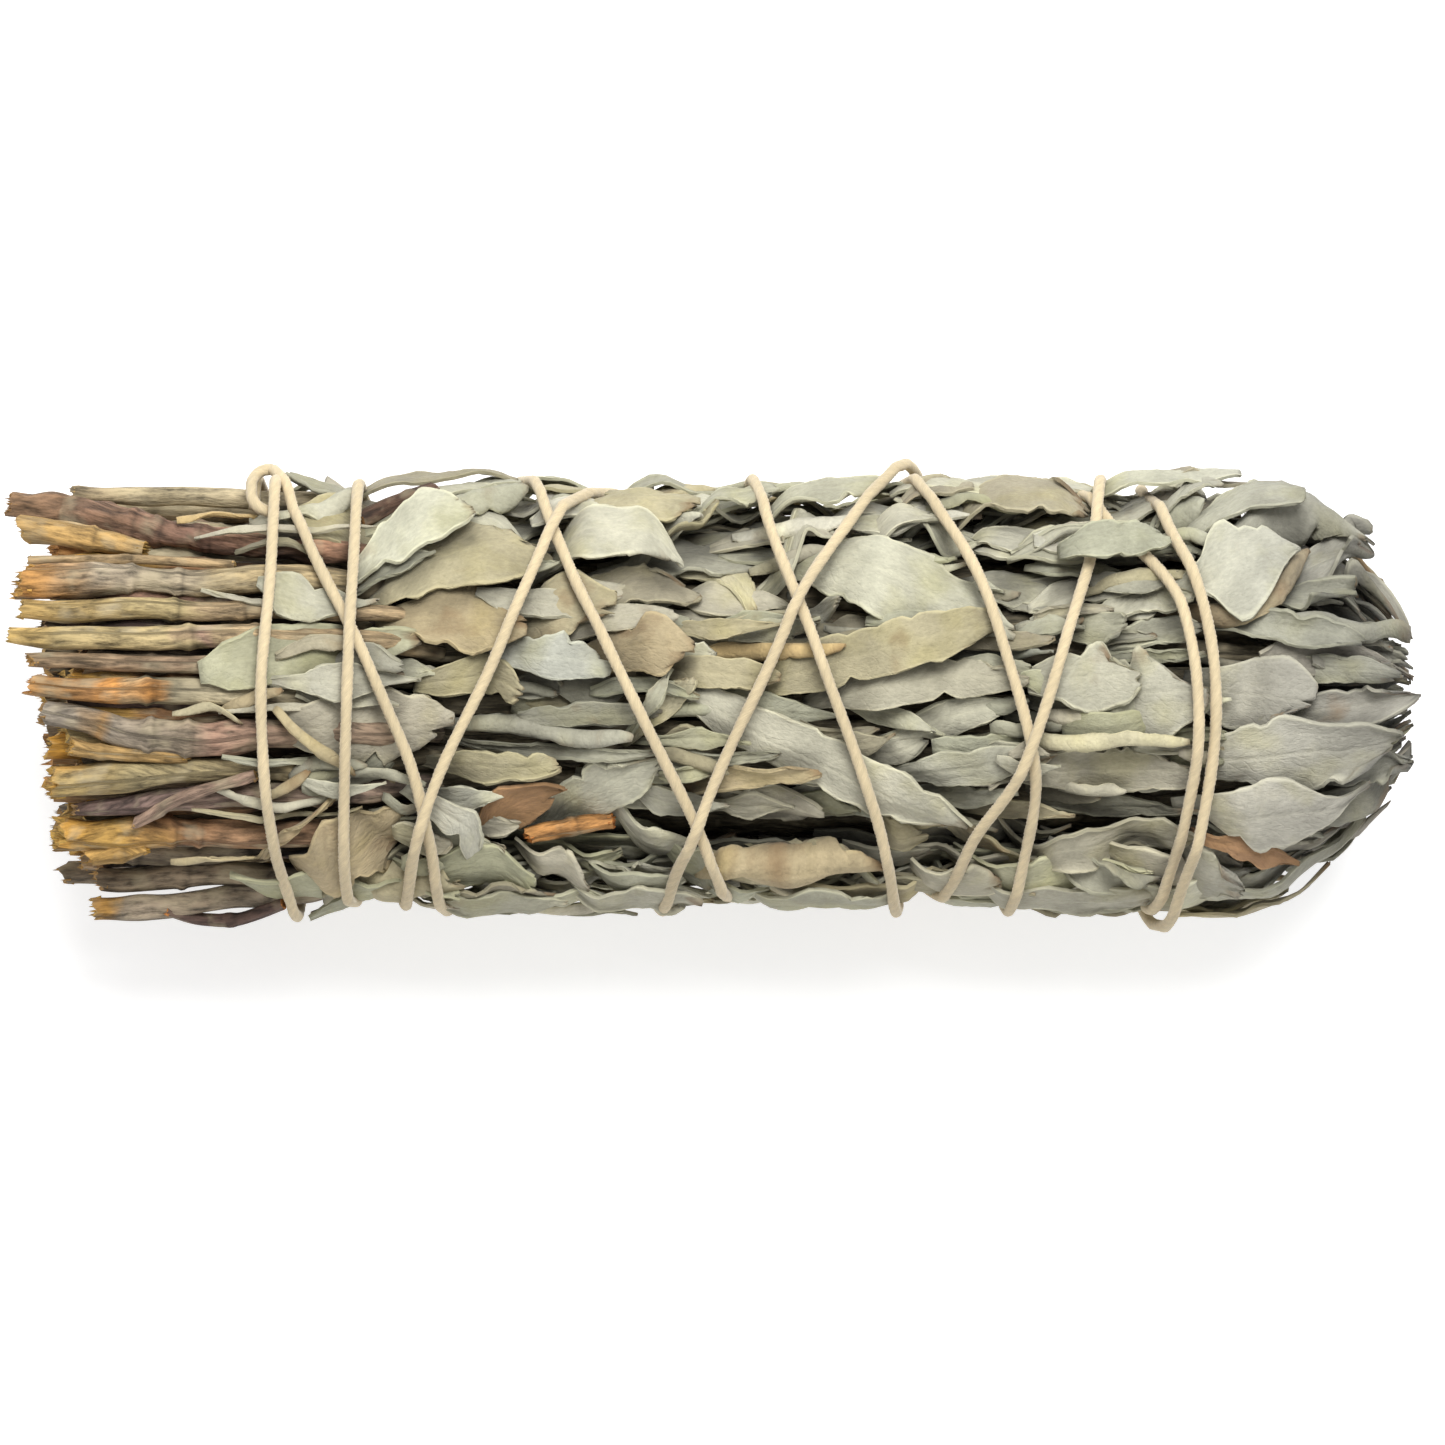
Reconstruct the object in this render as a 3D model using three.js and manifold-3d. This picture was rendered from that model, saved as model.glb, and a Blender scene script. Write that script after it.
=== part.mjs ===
// A dried bundle of white sage, bound with one length of cotton twine and lying on its side.
// The bundle lies along X: cut stem ends at -X, leaf tips at +X. It rests on three pressed
// leaves and on the twine, on the plane z = 0. Lengths are millimetres, and +Z is up.
//
// Every leafy stem is one solid: a cut round stem that swells into the packed middle of its
// shoot, with its leaves sunk into it. Places in the bundle are given as x along it, an angle
// round it (0 at the top, turning toward +Y) and a radius from its axis.
import * as THREE from 'three';
import { mergeVertices } from 'three/addons/utils/BufferGeometryUtils.js';
import Module from 'manifold-3d';

const wasm = await Module();
wasm.setup();

// ---------------------------------------------------------------- driving dimensions, mm
const AXIS_HEIGHT = 18.3; // bundle axis above the surface it lies on
const SIDE_STRETCH = 1.045; // the bundle is pressed a little wider than it is high
const BLADE = 0.62; // thickness of a leaf
const GAP = 0.32; // least space between two leaves
const MARGIN = 0.3; // that space again, past a leaf's edge
const TWINE_RADIUS = 0.6;
const TWINE_SIDES = 5;
const TWINE_VIEW_RADIUS = 19; // half the bundle's width over its twine
const TWINE_GAP = 0.3; // between the twine and what lies below it
const TWINE_SELF_GAP = 0.25; // between two turns where they cross
const TWINE_LEAST_RADIUS = 16.4; // where it lies over nothing
const TWINE_ON_FLOOR = 17; // degrees each side of the lowest line where it lies on the floor
const TWINE_STEP = 1.0; // spacing of the points that the twine is laid with
const KNOT_POINTS = 9; // points of the twine that lie under the knot
const OVER_TWINE = 2.5; // how much higher than its limit a leaf over the twine may reach
const TWINE_ROOM = 1.6; // kept free for the twine between the lowest leaves and the floor
const FRONT_SHOOT = { inner: 9.7, outer: 12.4, stemRadius: 15.8, end: 50 };
const BACK_SHOOT = { inner: 9.7, outer: 14.4, stemRadius: 15.8, end: 50 };
const INNER_SHOOT = { inner: 5.0, outer: 9.5, stemRadius: 11.0, end: 51.5 };
const CORE_SHOOT = { inner: 0.7, outer: 4.5, stemRadius: 5.2, end: 53.5 };
const SHOOT_GAP = 0.5; // between the middles of neighbouring shoots
const STEM_TO_SHOOT = [-37, -26]; // where a round stem swells into its shoot
const STEMS_END = -20; // the stems still hold the leaves up before this x
const DOME_START = 42; // where the tip end begins to round off
const DOME_LENGTH = 21.5;
const VIEW_RADIUS = 19.3; // half the bundle's width over its leaves
const REST_RADIUS = { front: 13.1, back: 15.0 }; // where a leaf's face lies when nothing lifts it
const OFF_RIDGE = 0.17; // shift of a root off its shoot's ridge, in half widths
const ROOT_REACH = 2.4; // how far before a leaf's blade its root is sunk
const LEAF_LIMIT = { top: 18.6, side: 17.9, overStems: 19.0, crossing: 17.7 }; // largest radii
const UNROLLED_RADIUS = 17; // radius at which arcs round the bundle are measured
const BACK_LEAVES = 48;
const SHORTER = [1, 0.82, 0.66, 0.52, 0.4]; // shares of a leaf's length that are tried in turn

// ---------------------------------------------------------------- lists chosen by hand
// The stems seen from above, from +Y to -Y: the angle of the shoot each one leads into, and its
// route as [x, y, radius].
const FRONT_STEMS = [
  { shoot: 80, route: [[-56.5, 17.9, 0.55], [-50, 17.5, 0.75], [-42, 17.1, 0.8], [-35, 17.0, 0.8]] },
  {
    shoot: 62,
    route: [
      [-62.3, 16.9, 0.9], [-58, 16.2, 1.2], [-53, 15.0, 1.4],
      [-45, 13.5, 0.95], [-33, 12.4, 0.9],
    ],
  },
  {
    shoot: 43,
    route: [
      [-60.4, 9.8, 1.4], [-55, 9.8, 1.4], [-50, 9.9, 1.0],
      [-43, 9.7, 1.1], [-37, 9.8, 1.2],
    ],
  },
  { shoot: 30, route: [[-60.4, 7.2, 0.75], [-54, 7.2, 0.9], [-47, 7.2, 0.8], [-31, 7.0, 0.65]] },
  {
    shoot: 17.5,
    route: [
      [-61.4, 5.2, 0.6], [-57, 4.8, 0.95], [-50, 4.7, 0.95],
      [-42, 4.9, 1.0], [-31, 4.5, 0.9],
    ],
  },
  { shoot: 6, route: [[-59.8, 2.8, 0.6], [-52, 2.6, 0.65], [-45, 2.5, 0.7], [-36, 2.1, 0.75]] },
  { shoot: -5, route: [[-59.6, 0.7, 0.8], [-54, 0.3, 0.9], [-48, 0.2, 1.1], [-38, -0.1, 1.0]] },
  {
    shoot: -16,
    route: [
      [-58.6, -1.7, 0.9], [-55, -2.4, 1.1], [-51, -3.4, 1.2],
      [-45, -4.1, 1.35], [-34, -3.4, 1.1],
    ],
  },
  { shoot: -28, route: [[-57.9, -7.8, 1.3], [-52, -7.3, 1.3], [-47, -6.9, 1.0], [-41, -6.7, 0.8]] },
  { shoot: -40, route: [[-56, -10.2, 0.5], [-51, -9.8, 0.75], [-46, -9.2, 1.0], [-38, -8.7, 1.0]] },
  { shoot: -54, route: [[-57.5, -12.1, 1.1], [-52, -12.3, 1.3], [-45, -12.3, 1.1], [-37, -12.3, 1.1]] },
  { shoot: -70, route: [[-54.4, -16.4, 1.0], [-46, -16.2, 1.0], [-37, -15.9, 0.95]] },
  {
    shoot: -86,
    route: [
      [-54.6, -19.2, 0.95], [-50, -19.0, 1.05],
      [-45, -18.4, 0.95], [-36, -17.6, 0.9],
    ],
  },
];
const BACK_SHOOTS = 11; // stems on the side it lies on, spread evenly between the two edges
const INNER_SHOOTS = 9;
const CORE_SHOOTS = 3;

// The leaves seen from above: [root x, root y, tip x, tip y, width, bend, cup, form].
// bend moves the middle of the leaf sideways, cup lifts (+) or lowers (-) its edges, and form
// is l for a lance-shaped leaf, b for a broad or broken one and r for a rolled or folded strip.
const FRONT_LEAVES = [
  // tips, at the right end
  [52.5, -8.2, 62.2, -5.2, 2.4, 0.4, 0.3, 'b'],
  [50.8, -1.8, 62.3, 0.0, 3.0, -0.2, 0.3, 'b'],
  [51.0, -11.4, 59.6, -10.2, 2.6, 0.3, 0.3, 'b'],
  [49.5, 12.9, 58.3, 12.3, 3.4, 0.6, 0.3, 'b'],
  [49.0, 2.4, 60.3, 1.5, 2.4, 0.2, 0.3, 'b'],
  [48.5, 9.2, 56.4, 9.0, 2.6, 0.0, 0.5, 'b'],
  [48.0, 6.6, 61.5, 6.0, 1.6, -0.3, 0.3, 'r'],
  [46.0, 16.2, 58.3, 13.9, 1.9, 1.4, 0.3, 'r'],
  [45.5, -15.3, 53.6, -13.0, 2.0, 0.0, 0.2, 'l'],
  [44.3, -13.2, 51.4, -14.3, 2.2, 0.0, 0.0, 'l'],
  [43.8, 6.2, 59.8, 3.5, 2.4, 0.8, -0.4, 'r'],
  [43.6, 0.5, 52.4, -1.0, 6.8, 0.0, -0.2, 'b'],
  [43.6, -6.1, 60.4, -3.6, 5.2, -0.4, -0.2, 'b'],
  [43.0, 7.0, 52.4, 12.9, 2.0, -1.8, 0.3, 'r'],
  [42.8, -10.6, 57.5, -7.7, 4.6, -1.2, -0.3, 'l'],
  [42.6, 10.2, 51.4, 12.6, 7.0, 0.4, -0.2, 'l'],
  // past the last turns of twine
  [40.4, -15.7, 46.6, -16.4, 3.6, 0.2, -0.2, 'b'],
  [40.8, 17.7, 48.6, 18.2, 1.5, 0.4, -0.2, 'l'],
  [39.8, 15.9, 48.4, 16.8, 1.8, -0.2, 0.3, 'r'],
  [41.6, 16.1, 52.0, 16.2, 1.9, 0.6, -0.3, 'b'],
  [35.6, 4.9, 42.6, 5.9, 2.9, 0.5, -0.3, 'b'],
  [35.5, 3.1, 43.0, 3.6, 1.1, 0.0, 0.0, 'r'],
  [35.4, -6.0, 44.5, -5.0, 2.6, 0.4, -0.1, 'l'],
  [35.0, 7.7, 41.8, 8.6, 3.4, 1.0, -0.3, 'b'],
  [32.0, -16.4, 39.5, -17.1, 1.7, 0.0, 0.2, 'r'],
  [31.0, 5.6, 36.0, 6.2, 3.0, 0.0, 0.0, 'b'],
  [30.6, -10.4, 42.5, -10.6, 2.6, -0.3, -0.1, 'l'],
  [30.2, -0.4, 43.0, 0.3, 7.0, 0.0, -0.2, 'b'],
  [30.0, 1.2, 37.2, 1.6, 5.6, 0.0, -0.1, 'b'],
  [28.4, -7.3, 42.4, -7.2, 4.6, 0.3, -0.2, 'b'],
  [28.0, -2.6, 31.5, -2.6, 1.6, 0.0, 0.4, 'r'],
  [27.6, -4.4, 41.5, -4.3, 1.2, 0.0, 0.0, 'r'],
  [27.0, -14.0, 42.2, -12.9, 3.4, 0.4, -0.2, 'b'],
  [26.0, -18.2, 42.0, -18.4, 1.4, 0.0, -0.2, 'b'],
  [24.6, 10.3, 33.6, 9.4, 3.8, 0.2, -0.2, 'b'],
  [24.2, 16.0, 33.8, 14.6, 2.2, 0.2, -0.2, 'b'],
  [24.2, 13.2, 31.0, 12.8, 2.2, 0.0, -0.2, 'b'],
  [24.0, 17.7, 33.0, 16.9, 2.4, 0.6, -0.4, 'b'],
  [23.8, -11.2, 31.5, -10.8, 2.2, 0.2, 0.2, 'l'],
  [20.0, -17.4, 33.0, -16.9, 2.0, 0.0, -0.1, 'b'],
  [18.8, 3.2, 29.6, 3.6, 2.8, 0.3, -0.1, 'l'],
  [18.6, -9.4, 26.6, -9.0, 2.6, -0.3, -0.2, 'l'],
  [19.0, 16.4, 23.2, 13.6, 1.3, 0.4, 0.0, 'r'],
  [17.6, -7.4, 27.8, -5.5, 3.0, -0.3, -0.2, 'b'],
  [16.8, -3.7, 27.4, -1.0, 3.8, 0.4, -0.3, 'l'],
  [16.0, -14.8, 28.0, -14.3, 2.8, 0.6, -0.2, 'b'],
  [18.6, 18.0, 22.8, 18.3, 1.2, 0.0, 0.0, 'b'],
  [14.0, 9.6, 23.6, 7.0, 2.4, -0.4, 0.0, 'l'],
  [13.6, -13.2, 18.8, -13.3, 2.8, 0.0, 0.2, 'b'],
  [11.8, -1.0, 20.2, -4.0, 2.2, 0.2, 0.2, 'l'],
  [11.6, -0.4, 27.4, 1.5, 3.6, 0.7, -0.2, 'b'],
  [11.3, 14.0, 20.8, 14.6, 2.4, 1.0, -0.2, 'l'],
  [11.2, 12.1, 29.7, 4.0, 6.0, 0.8, -0.2, 'b'],
  [9.6, -9.6, 14.4, -11.6, 2.8, 0.0, 0.3, 'l'],
  [7.8, 7.5, 15.8, 8.8, 2.1, -0.3, 0.3, 'b'],
  [7.5, 17.7, 15.0, 18.2, 1.4, 0.0, 0.0, 'b'],
  [5.8, 13.7, 13.8, 17.0, 2.8, 0.3, -0.2, 'b'],
  [5.0, -18.4, 15.8, -18.4, 1.3, 0.0, 0.0, 'b'],
  [3.8, 0.7, 25.0, 6.2, 4.4, 0.3, -0.2, 'b'],
  [3.0, -17.0, 14.0, -16.6, 1.5, 0.3, 0.0, 'r'],
  [2.6, -5.0, 9.6, -6.4, 2.2, 0.3, 0.3, 'l'],
  [1.0, -15.7, 15.0, -15.2, 1.8, 0.0, 0.0, 'r'],
  [2.0, -13.2, 9.6, -11.4, 3.4, -0.8, -0.3, 'b'],
  [0.6, 17.6, 8.4, 18.2, 1.4, 0.0, 0.0, 'b'],
  [0.6, -10.6, 7.0, -10.4, 3.2, 0.0, 0.3, 'l'],
  // middle
  [-0.8, -0.9, 22.3, -12.0, 4.6, -0.6, -0.2, 'b'],
  [-2.4, 3.4, 11.5, 4.0, 1.5, 0.3, 0.0, 'r'],
  [-2.5, -16.3, 4.0, -17.6, 2.2, 0.0, 0.4, 'b'],
  [-2.6, 11.8, 3.8, 7.6, 2.6, 1.8, 0.6, 'b'],
  [-3.0, 16.3, 5.4, 16.5, 1.5, 0.0, 0.0, 'r'],
  [-3.3, 6.3, 7.0, 6.4, 1.9, -0.5, 0.0, 'l'],
  [-4.6, 2.1, 5.8, 1.2, 2.8, 0.2, -0.1, 'b'],
  [-4.6, -4.4, 3.2, -4.6, 2.2, 0.4, -0.3, 'l'],
  [-5.0, -3.0, -1.8, 1.4, 2.2, 0.0, 0.2, 'b'],
  [-6.4, -2.2, -3.6, 2.2, 1.6, 0.0, 0.2, 'l'],
  [-8.4, -9.5, 9.4, -7.2, 2.4, 0.6, -0.2, 'r'],
  [-9.3, -13.6, -1.6, -13.6, 2.9, 0.0, -0.2, 'b'],
  [-9.3, 7.8, -2.8, 9.4, 2.8, 0.0, -0.2, 'b'],
  [-9.5, 17.1, -1.2, 16.9, 2.0, 0.5, -0.2, 'b'],
  [-10.0, -18.2, 1.0, -18.0, 1.4, 0.0, 0.0, 'b'],
  [-10.4, 14.2, 1.0, 15.5, 1.8, 0.2, 0.0, 'r'],
  [-11.3, 3.2, -1.7, 3.6, 4.2, 0.8, -0.2, 'b'],
  [-12.0, 11.9, 5.8, 11.2, 3.8, 2.6, -0.4, 'b'],
  [-14.6, 15.4, -5.8, 16.8, 2.3, 0.2, -0.1, 'b'],
  [-15.0, -16.6, -5.0, -17.0, 2.4, 0.0, -0.1, 'b'],
  [-16.2, -13.1, -4.8, -6.0, 4.4, 0.5, -0.3, 'b'],
  [-16.5, -14.7, -9.0, -14.0, 1.5, 0.0, 0.0, 'r'],
  [-17.0, 7.2, -8.6, 7.2, 5.4, 0.6, -0.2, 'b'],
  [-17.5, 3.6, -9.0, 2.6, 3.6, 0.0, 0.0, 'b'],
  [-20.3, -4.9, -4.6, -5.3, 1.2, -0.5, 0.0, 'r'],
  [-20.8, -12.8, -12.8, -8.8, 3.6, 0.9, 0.4, 'b'],
  [-21.0, -3.2, -7.0, -4.1, 1.7, -0.2, 0.0, 'r'],
  [-23.8, -6.6, -13.4, -6.6, 2.9, 0.0, -0.2, 'b'],
  [-22.6, 17.0, -15.4, 14.8, 2.4, 0.5, -0.3, 'l'],
  [-24.0, -9.7, -18.0, -9.5, 2.6, -0.3, 0.3, 'l'],
  [-23.6, 1.1, -6.2, -1.5, 4.2, 0.8, -0.2, 'b'],
  [-24.8, -10.0, -20.4, -14.2, 2.8, 0.9, -0.5, 'b'],
  [-26.0, -17.2, -13.5, -16.4, 2.6, 0.4, -0.1, 'b'],
  [-23.4, 17.2, -16.4, 18.0, 1.2, 0.3, 0.0, 'r'],
  [-27.0, 6.8, -16.4, 6.6, 6.6, 0.0, -0.2, 'b'],
  [-28.0, 9.9, -14.4, 12.5, 4.8, 1.4, -0.3, 'b'],
  // over the stems, at the left
  [-29.2, 10.6, -24.4, 12.6, 2.0, 0.3, 0.0, 'l'],
  [-29.8, 12.0, -21.0, 15.6, 3.4, 1.0, 0.3, 'b'],
  [-31.5, 17.0, -24.8, 18.6, 1.6, 0.3, 0.2, 'r'],
  [-32.0, -17.6, -22.0, -17.4, 1.7, 0.0, 0.0, 'r'],
  [-32.3, -15.6, -25.6, -10.0, 5.2, 0.0, -0.2, 'b'],
  [-35.0, -3.0, -22.8, -3.3, 7.0, 0.0, -0.2, 'b'],
  [-36.2, -3.2, -31.4, -7.4, 1.4, 0.0, 0.0, 'r'],
  [-36.5, 1.0, -25.6, 1.2, 2.8, 0.0, 0.0, 'l'],
  [-37.0, -13.2, -32.6, -9.0, 1.2, 0.0, 0.0, 'r'],
  [-38.2, -8.8, -33.8, -5.8, 1.1, 0.0, 0.0, 'r'],
  [-38.3, 15.3, -31.0, 16.8, 1.8, 0.0, 0.0, 'r'],
  [-39.6, -0.6, -35.6, 1.2, 1.5, 0.3, 0.0, 'r'],
];

// Leaves that lie over the twine, in the same form as FRONT_LEAVES.
const OVER_LEAVES = [
  [33.2, 12.4, 40.0, 13.4, 2.2, 0.3, -0.2, 'b'],
];

// Leaves pressed flat against the surface below: [root x, tip x, y, width].
const PRESSED_LEAVES = [
  [-16.5, -8.4, 3.0, 6.4],
  [6.6, 14.6, -3.6, 6.6],
  [21.2, 26.8, 2.4, 5.4],
];

// The twine's front runs in winding order, each from the +Y edge to the -Y edge as [x, y].
const TWINE_RUNS = [
  [[-38.6, 18], [-35.6, 13], [-32.2, 7], [-29, 0], [-26.2, -7], [-24.6, -14], [-23.9, -19]],
  [
    [-17.1, 19], [-14.8, 16], [-12.3, 10], [-8.8, 3],
    [-5.5, -3.5], [-2.4, -10], [0.2, -15], [2.2, -19],
  ],
  [[2.7, 19], [4.6, 15.5], [6.8, 10], [9, 3.5], [11.5, -3], [14, -10], [15.4, -15], [16.4, -19]],
  [[16.2, 19], [18.6, 17], [23, 11.3], [25.3, 4], [27.4, -3], [28.4, -8], [27.4, -14], [25.6, -19]],
  [[31, 19], [34.6, 16], [38.6, 12.2], [41, 8], [42.2, 1], [42.3, -5], [41, -12], [38.2, -19]],
  [
    [37.8, 19], [40, 14.5], [42.3, 9.6], [43.7, 3],
    [43.8, -4], [42.8, -10.5], [41, -15.8], [39.4, -19],
  ],
  [[34.6, 19], [33.2, 12.5], [31, 5.5], [28.8, -1.5], [26.4, -7.5], [22.6, -13], [18.9, -19]],
  [
    [18.2, 19], [13, 16.4], [8.2, 9.4], [4.9, 2.5],
    [1.8, -4], [-1.2, -10.4], [-3.4, -15], [-5, -19],
  ],
  [[-8.7, 19], [-13.6, 14.6], [-17, 8], [-20.2, 0.5], [-23.6, -6.2], [-26.2, -11.8], [-27.7, -19]],
  [[-31.2, 19], [-31.5, 10], [-31.9, 0], [-32.3, -10], [-32.4, -15], [-31.6, -19]],
  [[-38.4, 19], [-38.7, 10], [-39.5, 0], [-39.1, -9], [-38.2, -15], [-36.6, -19]],
];
const TWINE_END = [-40.6, 18]; // where the last turn comes up to the knot
// Where each turn passes the lowest line of the bundle, as x.
const TWINE_BACKS = [-20.6, 2.5, 15.9, 28.3, 40.2, 35.4, 18.9, -6.8, -29.7, -35.4, -38.8];

// The loop of the knot, as [x, y, height over the twine's first turn].
const KNOT_LOOP = [
  [-38.2, 17.0, 0.2], [-38.9, 18.0, 0.7], [-39.9, 18.3, 0.9], [-40.8, 17.6, 0.8], [-41.1, 16.7, 0.5],
  [-40.6, 15.9, 0.4], [-39.7, 15.6, 0.4], [-38.7, 15.9, 0.4],
];

const COLORS = {
  sage: 0xa5a896,
  olive: 0xa39c78,
  grey: 0x8e8f80,
  tan: 0xb08d66,
  stem: 0x94805f,
  twine: 0xe3cfa4,
};

// ---------------------------------------------------------------- small helpers
// A stream of repeatable numbers from 0 to 1.
function numbers(seed) {
  let state = seed >>> 0;
  return () => {
    state = (state + 0x6d2b79f5) >>> 0;
    let mixed = Math.imul(state ^ (state >>> 15), state | 1);
    mixed ^= mixed + Math.imul(mixed ^ (mixed >>> 7), mixed | 61);
    return ((mixed ^ (mixed >>> 14)) >>> 0) / 4294967296;
  };
}

const radians = THREE.MathUtils.degToRad;
const clamp = THREE.MathUtils.clamp;
const mix = THREE.MathUtils.lerp;
const smoothstep = THREE.MathUtils.smoothstep;

function place(x, angle, r) {
  return [x, SIDE_STRETCH * r * Math.sin(angle), AXIS_HEIGHT + r * Math.cos(angle)];
}

// How much of the full radius is left at x, where the tips round off.
function dome(x) {
  const past = clamp((x - DOME_START) / DOME_LENGTH, 0, 0.97);
  return Math.sqrt(1 - past * past);
}

// The angle whose surface point is seen at y from above.
function angleSeenAt(x, y) {
  return Math.asin(clamp(y / (VIEW_RADIUS * dome(x)), -EDGE_ON, EDGE_ON));
}

// Where a leaf rests when nothing below lifts it.
function restRadius(x, angle) {
  const rest = mix(REST_RADIUS.front, REST_RADIUS.back, smoothstep(-Math.cos(angle), -0.15, 0.3));
  return Math.min(rest, (VIEW_RADIUS * dome(x)) / SIDE_STRETCH - 1.0);
}

// The radius at which the surface below lies, seen from the axis.
function floorRadius(angle, height) {
  const down = -Math.cos(angle);
  return down > 0.3 ? height / down : Infinity;
}

// ---------------------------------------------------------------- the surface map
// For every cell of the unrolled bundle: the highest surface so far, and whose it is.
const BLOCKED = 30; // a radius that no leaf can be laid over
const MAP_START = -66;
const CELL = 0.5;
const COLUMNS = 266;
const ROWS = 216;

class SurfaceMap {
  constructor() {
    this.top = new Float64Array(COLUMNS * ROWS);
    this.owner = new Int16Array(COLUMNS * ROWS).fill(-1);
  }

  cell(x, angle) {
    const column = clamp(Math.floor((x - MAP_START) / CELL), 0, COLUMNS - 1);
    const turn = angle / (2 * Math.PI);
    const row = Math.floor((turn - Math.floor(turn)) * ROWS) % ROWS;
    return column * ROWS + row;
  }

  raise(x, angle, r, owner) {
    const cell = this.cell(x, angle);
    if (r > this.top[cell]) {
      this.top[cell] = r;
      this.owner[cell] = owner;
    }
  }
}

const stemMap = new SurfaceMap();
const leafMap = new SurfaceMap();
const ghostMap = new SurfaceMap(); // kept free for the roots of leaves that are laid last
const crossingMap = new SurfaceMap(); // where the twine crosses itself, so leaves stay low

// ---------------------------------------------------------------- stems and shoots
// One shoot of a ring: its kind, its angle and the two angles halfway to its neighbours.
function shoot(kind, angle, low, high, route) {
  return { kind, angle, low, high, route, sides: kind === FRONT_SHOOT ? 8 : 6, leaves: [] };
}

function frontRoute(route) {
  return route.map(([x, y, radius]) => {
    const r = Math.max(FRONT_SHOOT.stemRadius, Math.abs(y) / SIDE_STRETCH + 0.25);
    return { x, angle: Math.asin(y / (SIDE_STRETCH * r)), r, radius };
  });
}

function hiddenRoute(kind, angle, random) {
  const end = -60.5 + 5.5 * random();
  const radius = (kind === BACK_SHOOT ? 0.85 : 1.25) + 0.35 * random();
  const turned = angle + 0.8 * (random() - 0.5) / kind.stemRadius;
  return [
    { x: end, angle: turned, r: kind.stemRadius - 0.2, radius: 0.92 * radius },
    { x: end + 9, angle: angle + 0.6 * (random() - 0.5) / kind.stemRadius, r: kind.stemRadius - 0.2, radius },
    { x: -38, angle, r: kind.stemRadius - 0.2, radius: 0.95 * radius },
  ];
}

function ringOfShoots(kinds, angles, routes) {
  return angles.map((angle, i) => {
    const count = angles.length;
    const before = i === 0 ? angles[count - 1] + 2 * Math.PI : angles[i - 1];
    const after = i === count - 1 ? angles[0] - 2 * Math.PI : angles[i + 1];
    return shoot(kinds[i], angle, (angle + after) / 2, (angle + before) / 2, routes[i]);
  });
}

function evenAngles(count, first) {
  return Array.from({ length: count }, (_, i) => first - (i * 2 * Math.PI) / count);
}

function hiddenRing(kind, angles, random) {
  const routes = angles.map((angle) => hiddenRoute(kind, angle, random));
  return ringOfShoots(angles.map(() => kind), angles, routes);
}

function allShoots() {
  const random = numbers(11);
  const front = FRONT_STEMS.map((stem) => radians(stem.shoot));
  const firstBack = front[front.length - 1];
  const lastBack = front[0] - 2 * Math.PI;
  const back = Array.from({ length: BACK_SHOOTS }, (_, i) => {
    return mix(firstBack, lastBack, (i + 1) / (BACK_SHOOTS + 1));
  });
  const frontRoutes = FRONT_STEMS.map((stem) => frontRoute(stem.route));
  const backRoutes = back.map((angle) => hiddenRoute(BACK_SHOOT, angle, random));
  return [
    ...ringOfShoots(
      [...front.map(() => FRONT_SHOOT), ...back.map(() => BACK_SHOOT)],
      [...front, ...back],
      [...frontRoutes, ...backRoutes],
    ),
    ...hiddenRing(INNER_SHOOT, evenAngles(INNER_SHOOTS, 0.35), random),
    ...hiddenRing(CORE_SHOOT, evenAngles(CORE_SHOOTS, 0.9), random),
  ];
}

function isOuter(one) {
  return one.kind === FRONT_SHOOT || one.kind === BACK_SHOOT;
}

// The round stem at x, between the points of its route.
function stemAt(one, x) {
  const route = one.route;
  let i = 0;
  while (i < route.length - 2 && x > route[i + 1].x) i += 1;
  const from = route[i];
  const to = route[i + 1];
  const t = clamp((x - from.x) / (to.x - from.x), 0, 1);
  return {
    angle: mix(from.angle, to.angle, t),
    r: mix(from.r, to.r, t),
    radius: mix(from.radius, to.radius, t),
  };
}

// The closed outline of a shoot at x, as [angle, r] points: a round stem that turns into a
// rounded piece of a ring, and closes to a bud at the tip end.
function outlineAt(one, x) {
  const { kind, sides } = one;
  const swell = smoothstep(x, STEM_TO_SHOOT[0], STEM_TO_SHOOT[1]);
  const stem = stemAt(one, x);
  const bud = 1 - 0.45 * smoothstep(x, kind.end - 9, kind.end);
  const lean = mix(1, dome(x), 0.8);
  const middle = lean * (kind.inner + kind.outer) / 2;
  const deep = bud * (kind.outer - kind.inner) / 2;
  return Array.from({ length: sides }, (_, k) => {
    const phase = (2 * Math.PI * k) / sides;
    const across = Math.sin(phase);
    const out = Math.cos(phase);
    const r = middle + deep * clamp(1.35 * out, -1, 1);
    const side = across > 0 ? one.high - one.angle : one.angle - one.low;
    const reach = Math.max(side - SHOOT_GAP / 2 / r, 0.02) * bud;
    const inShoot = one.angle + reach * clamp(1.35 * across, -1, 1);
    const inStem = stem.angle + (stem.radius * across) / stem.r;
    return [mix(inStem, inShoot, swell), mix(stem.r + stem.radius * out, r, swell)];
  });
}

// The middle of a shoot at x, with its reach sideways and outward.
function centreAt(one, x) {
  const outline = outlineAt(one, x);
  const angles = outline.map((point) => point[0]);
  const radii = outline.map((point) => point[1]);
  const outer = Math.max(...radii);
  const inner = Math.min(...radii);
  return {
    angle: (Math.max(...angles) + Math.min(...angles)) / 2,
    halfAngle: (Math.max(...angles) - Math.min(...angles)) / 2,
    r: (outer + inner) / 2,
    deep: (outer - inner) / 2,
  };
}

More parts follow.
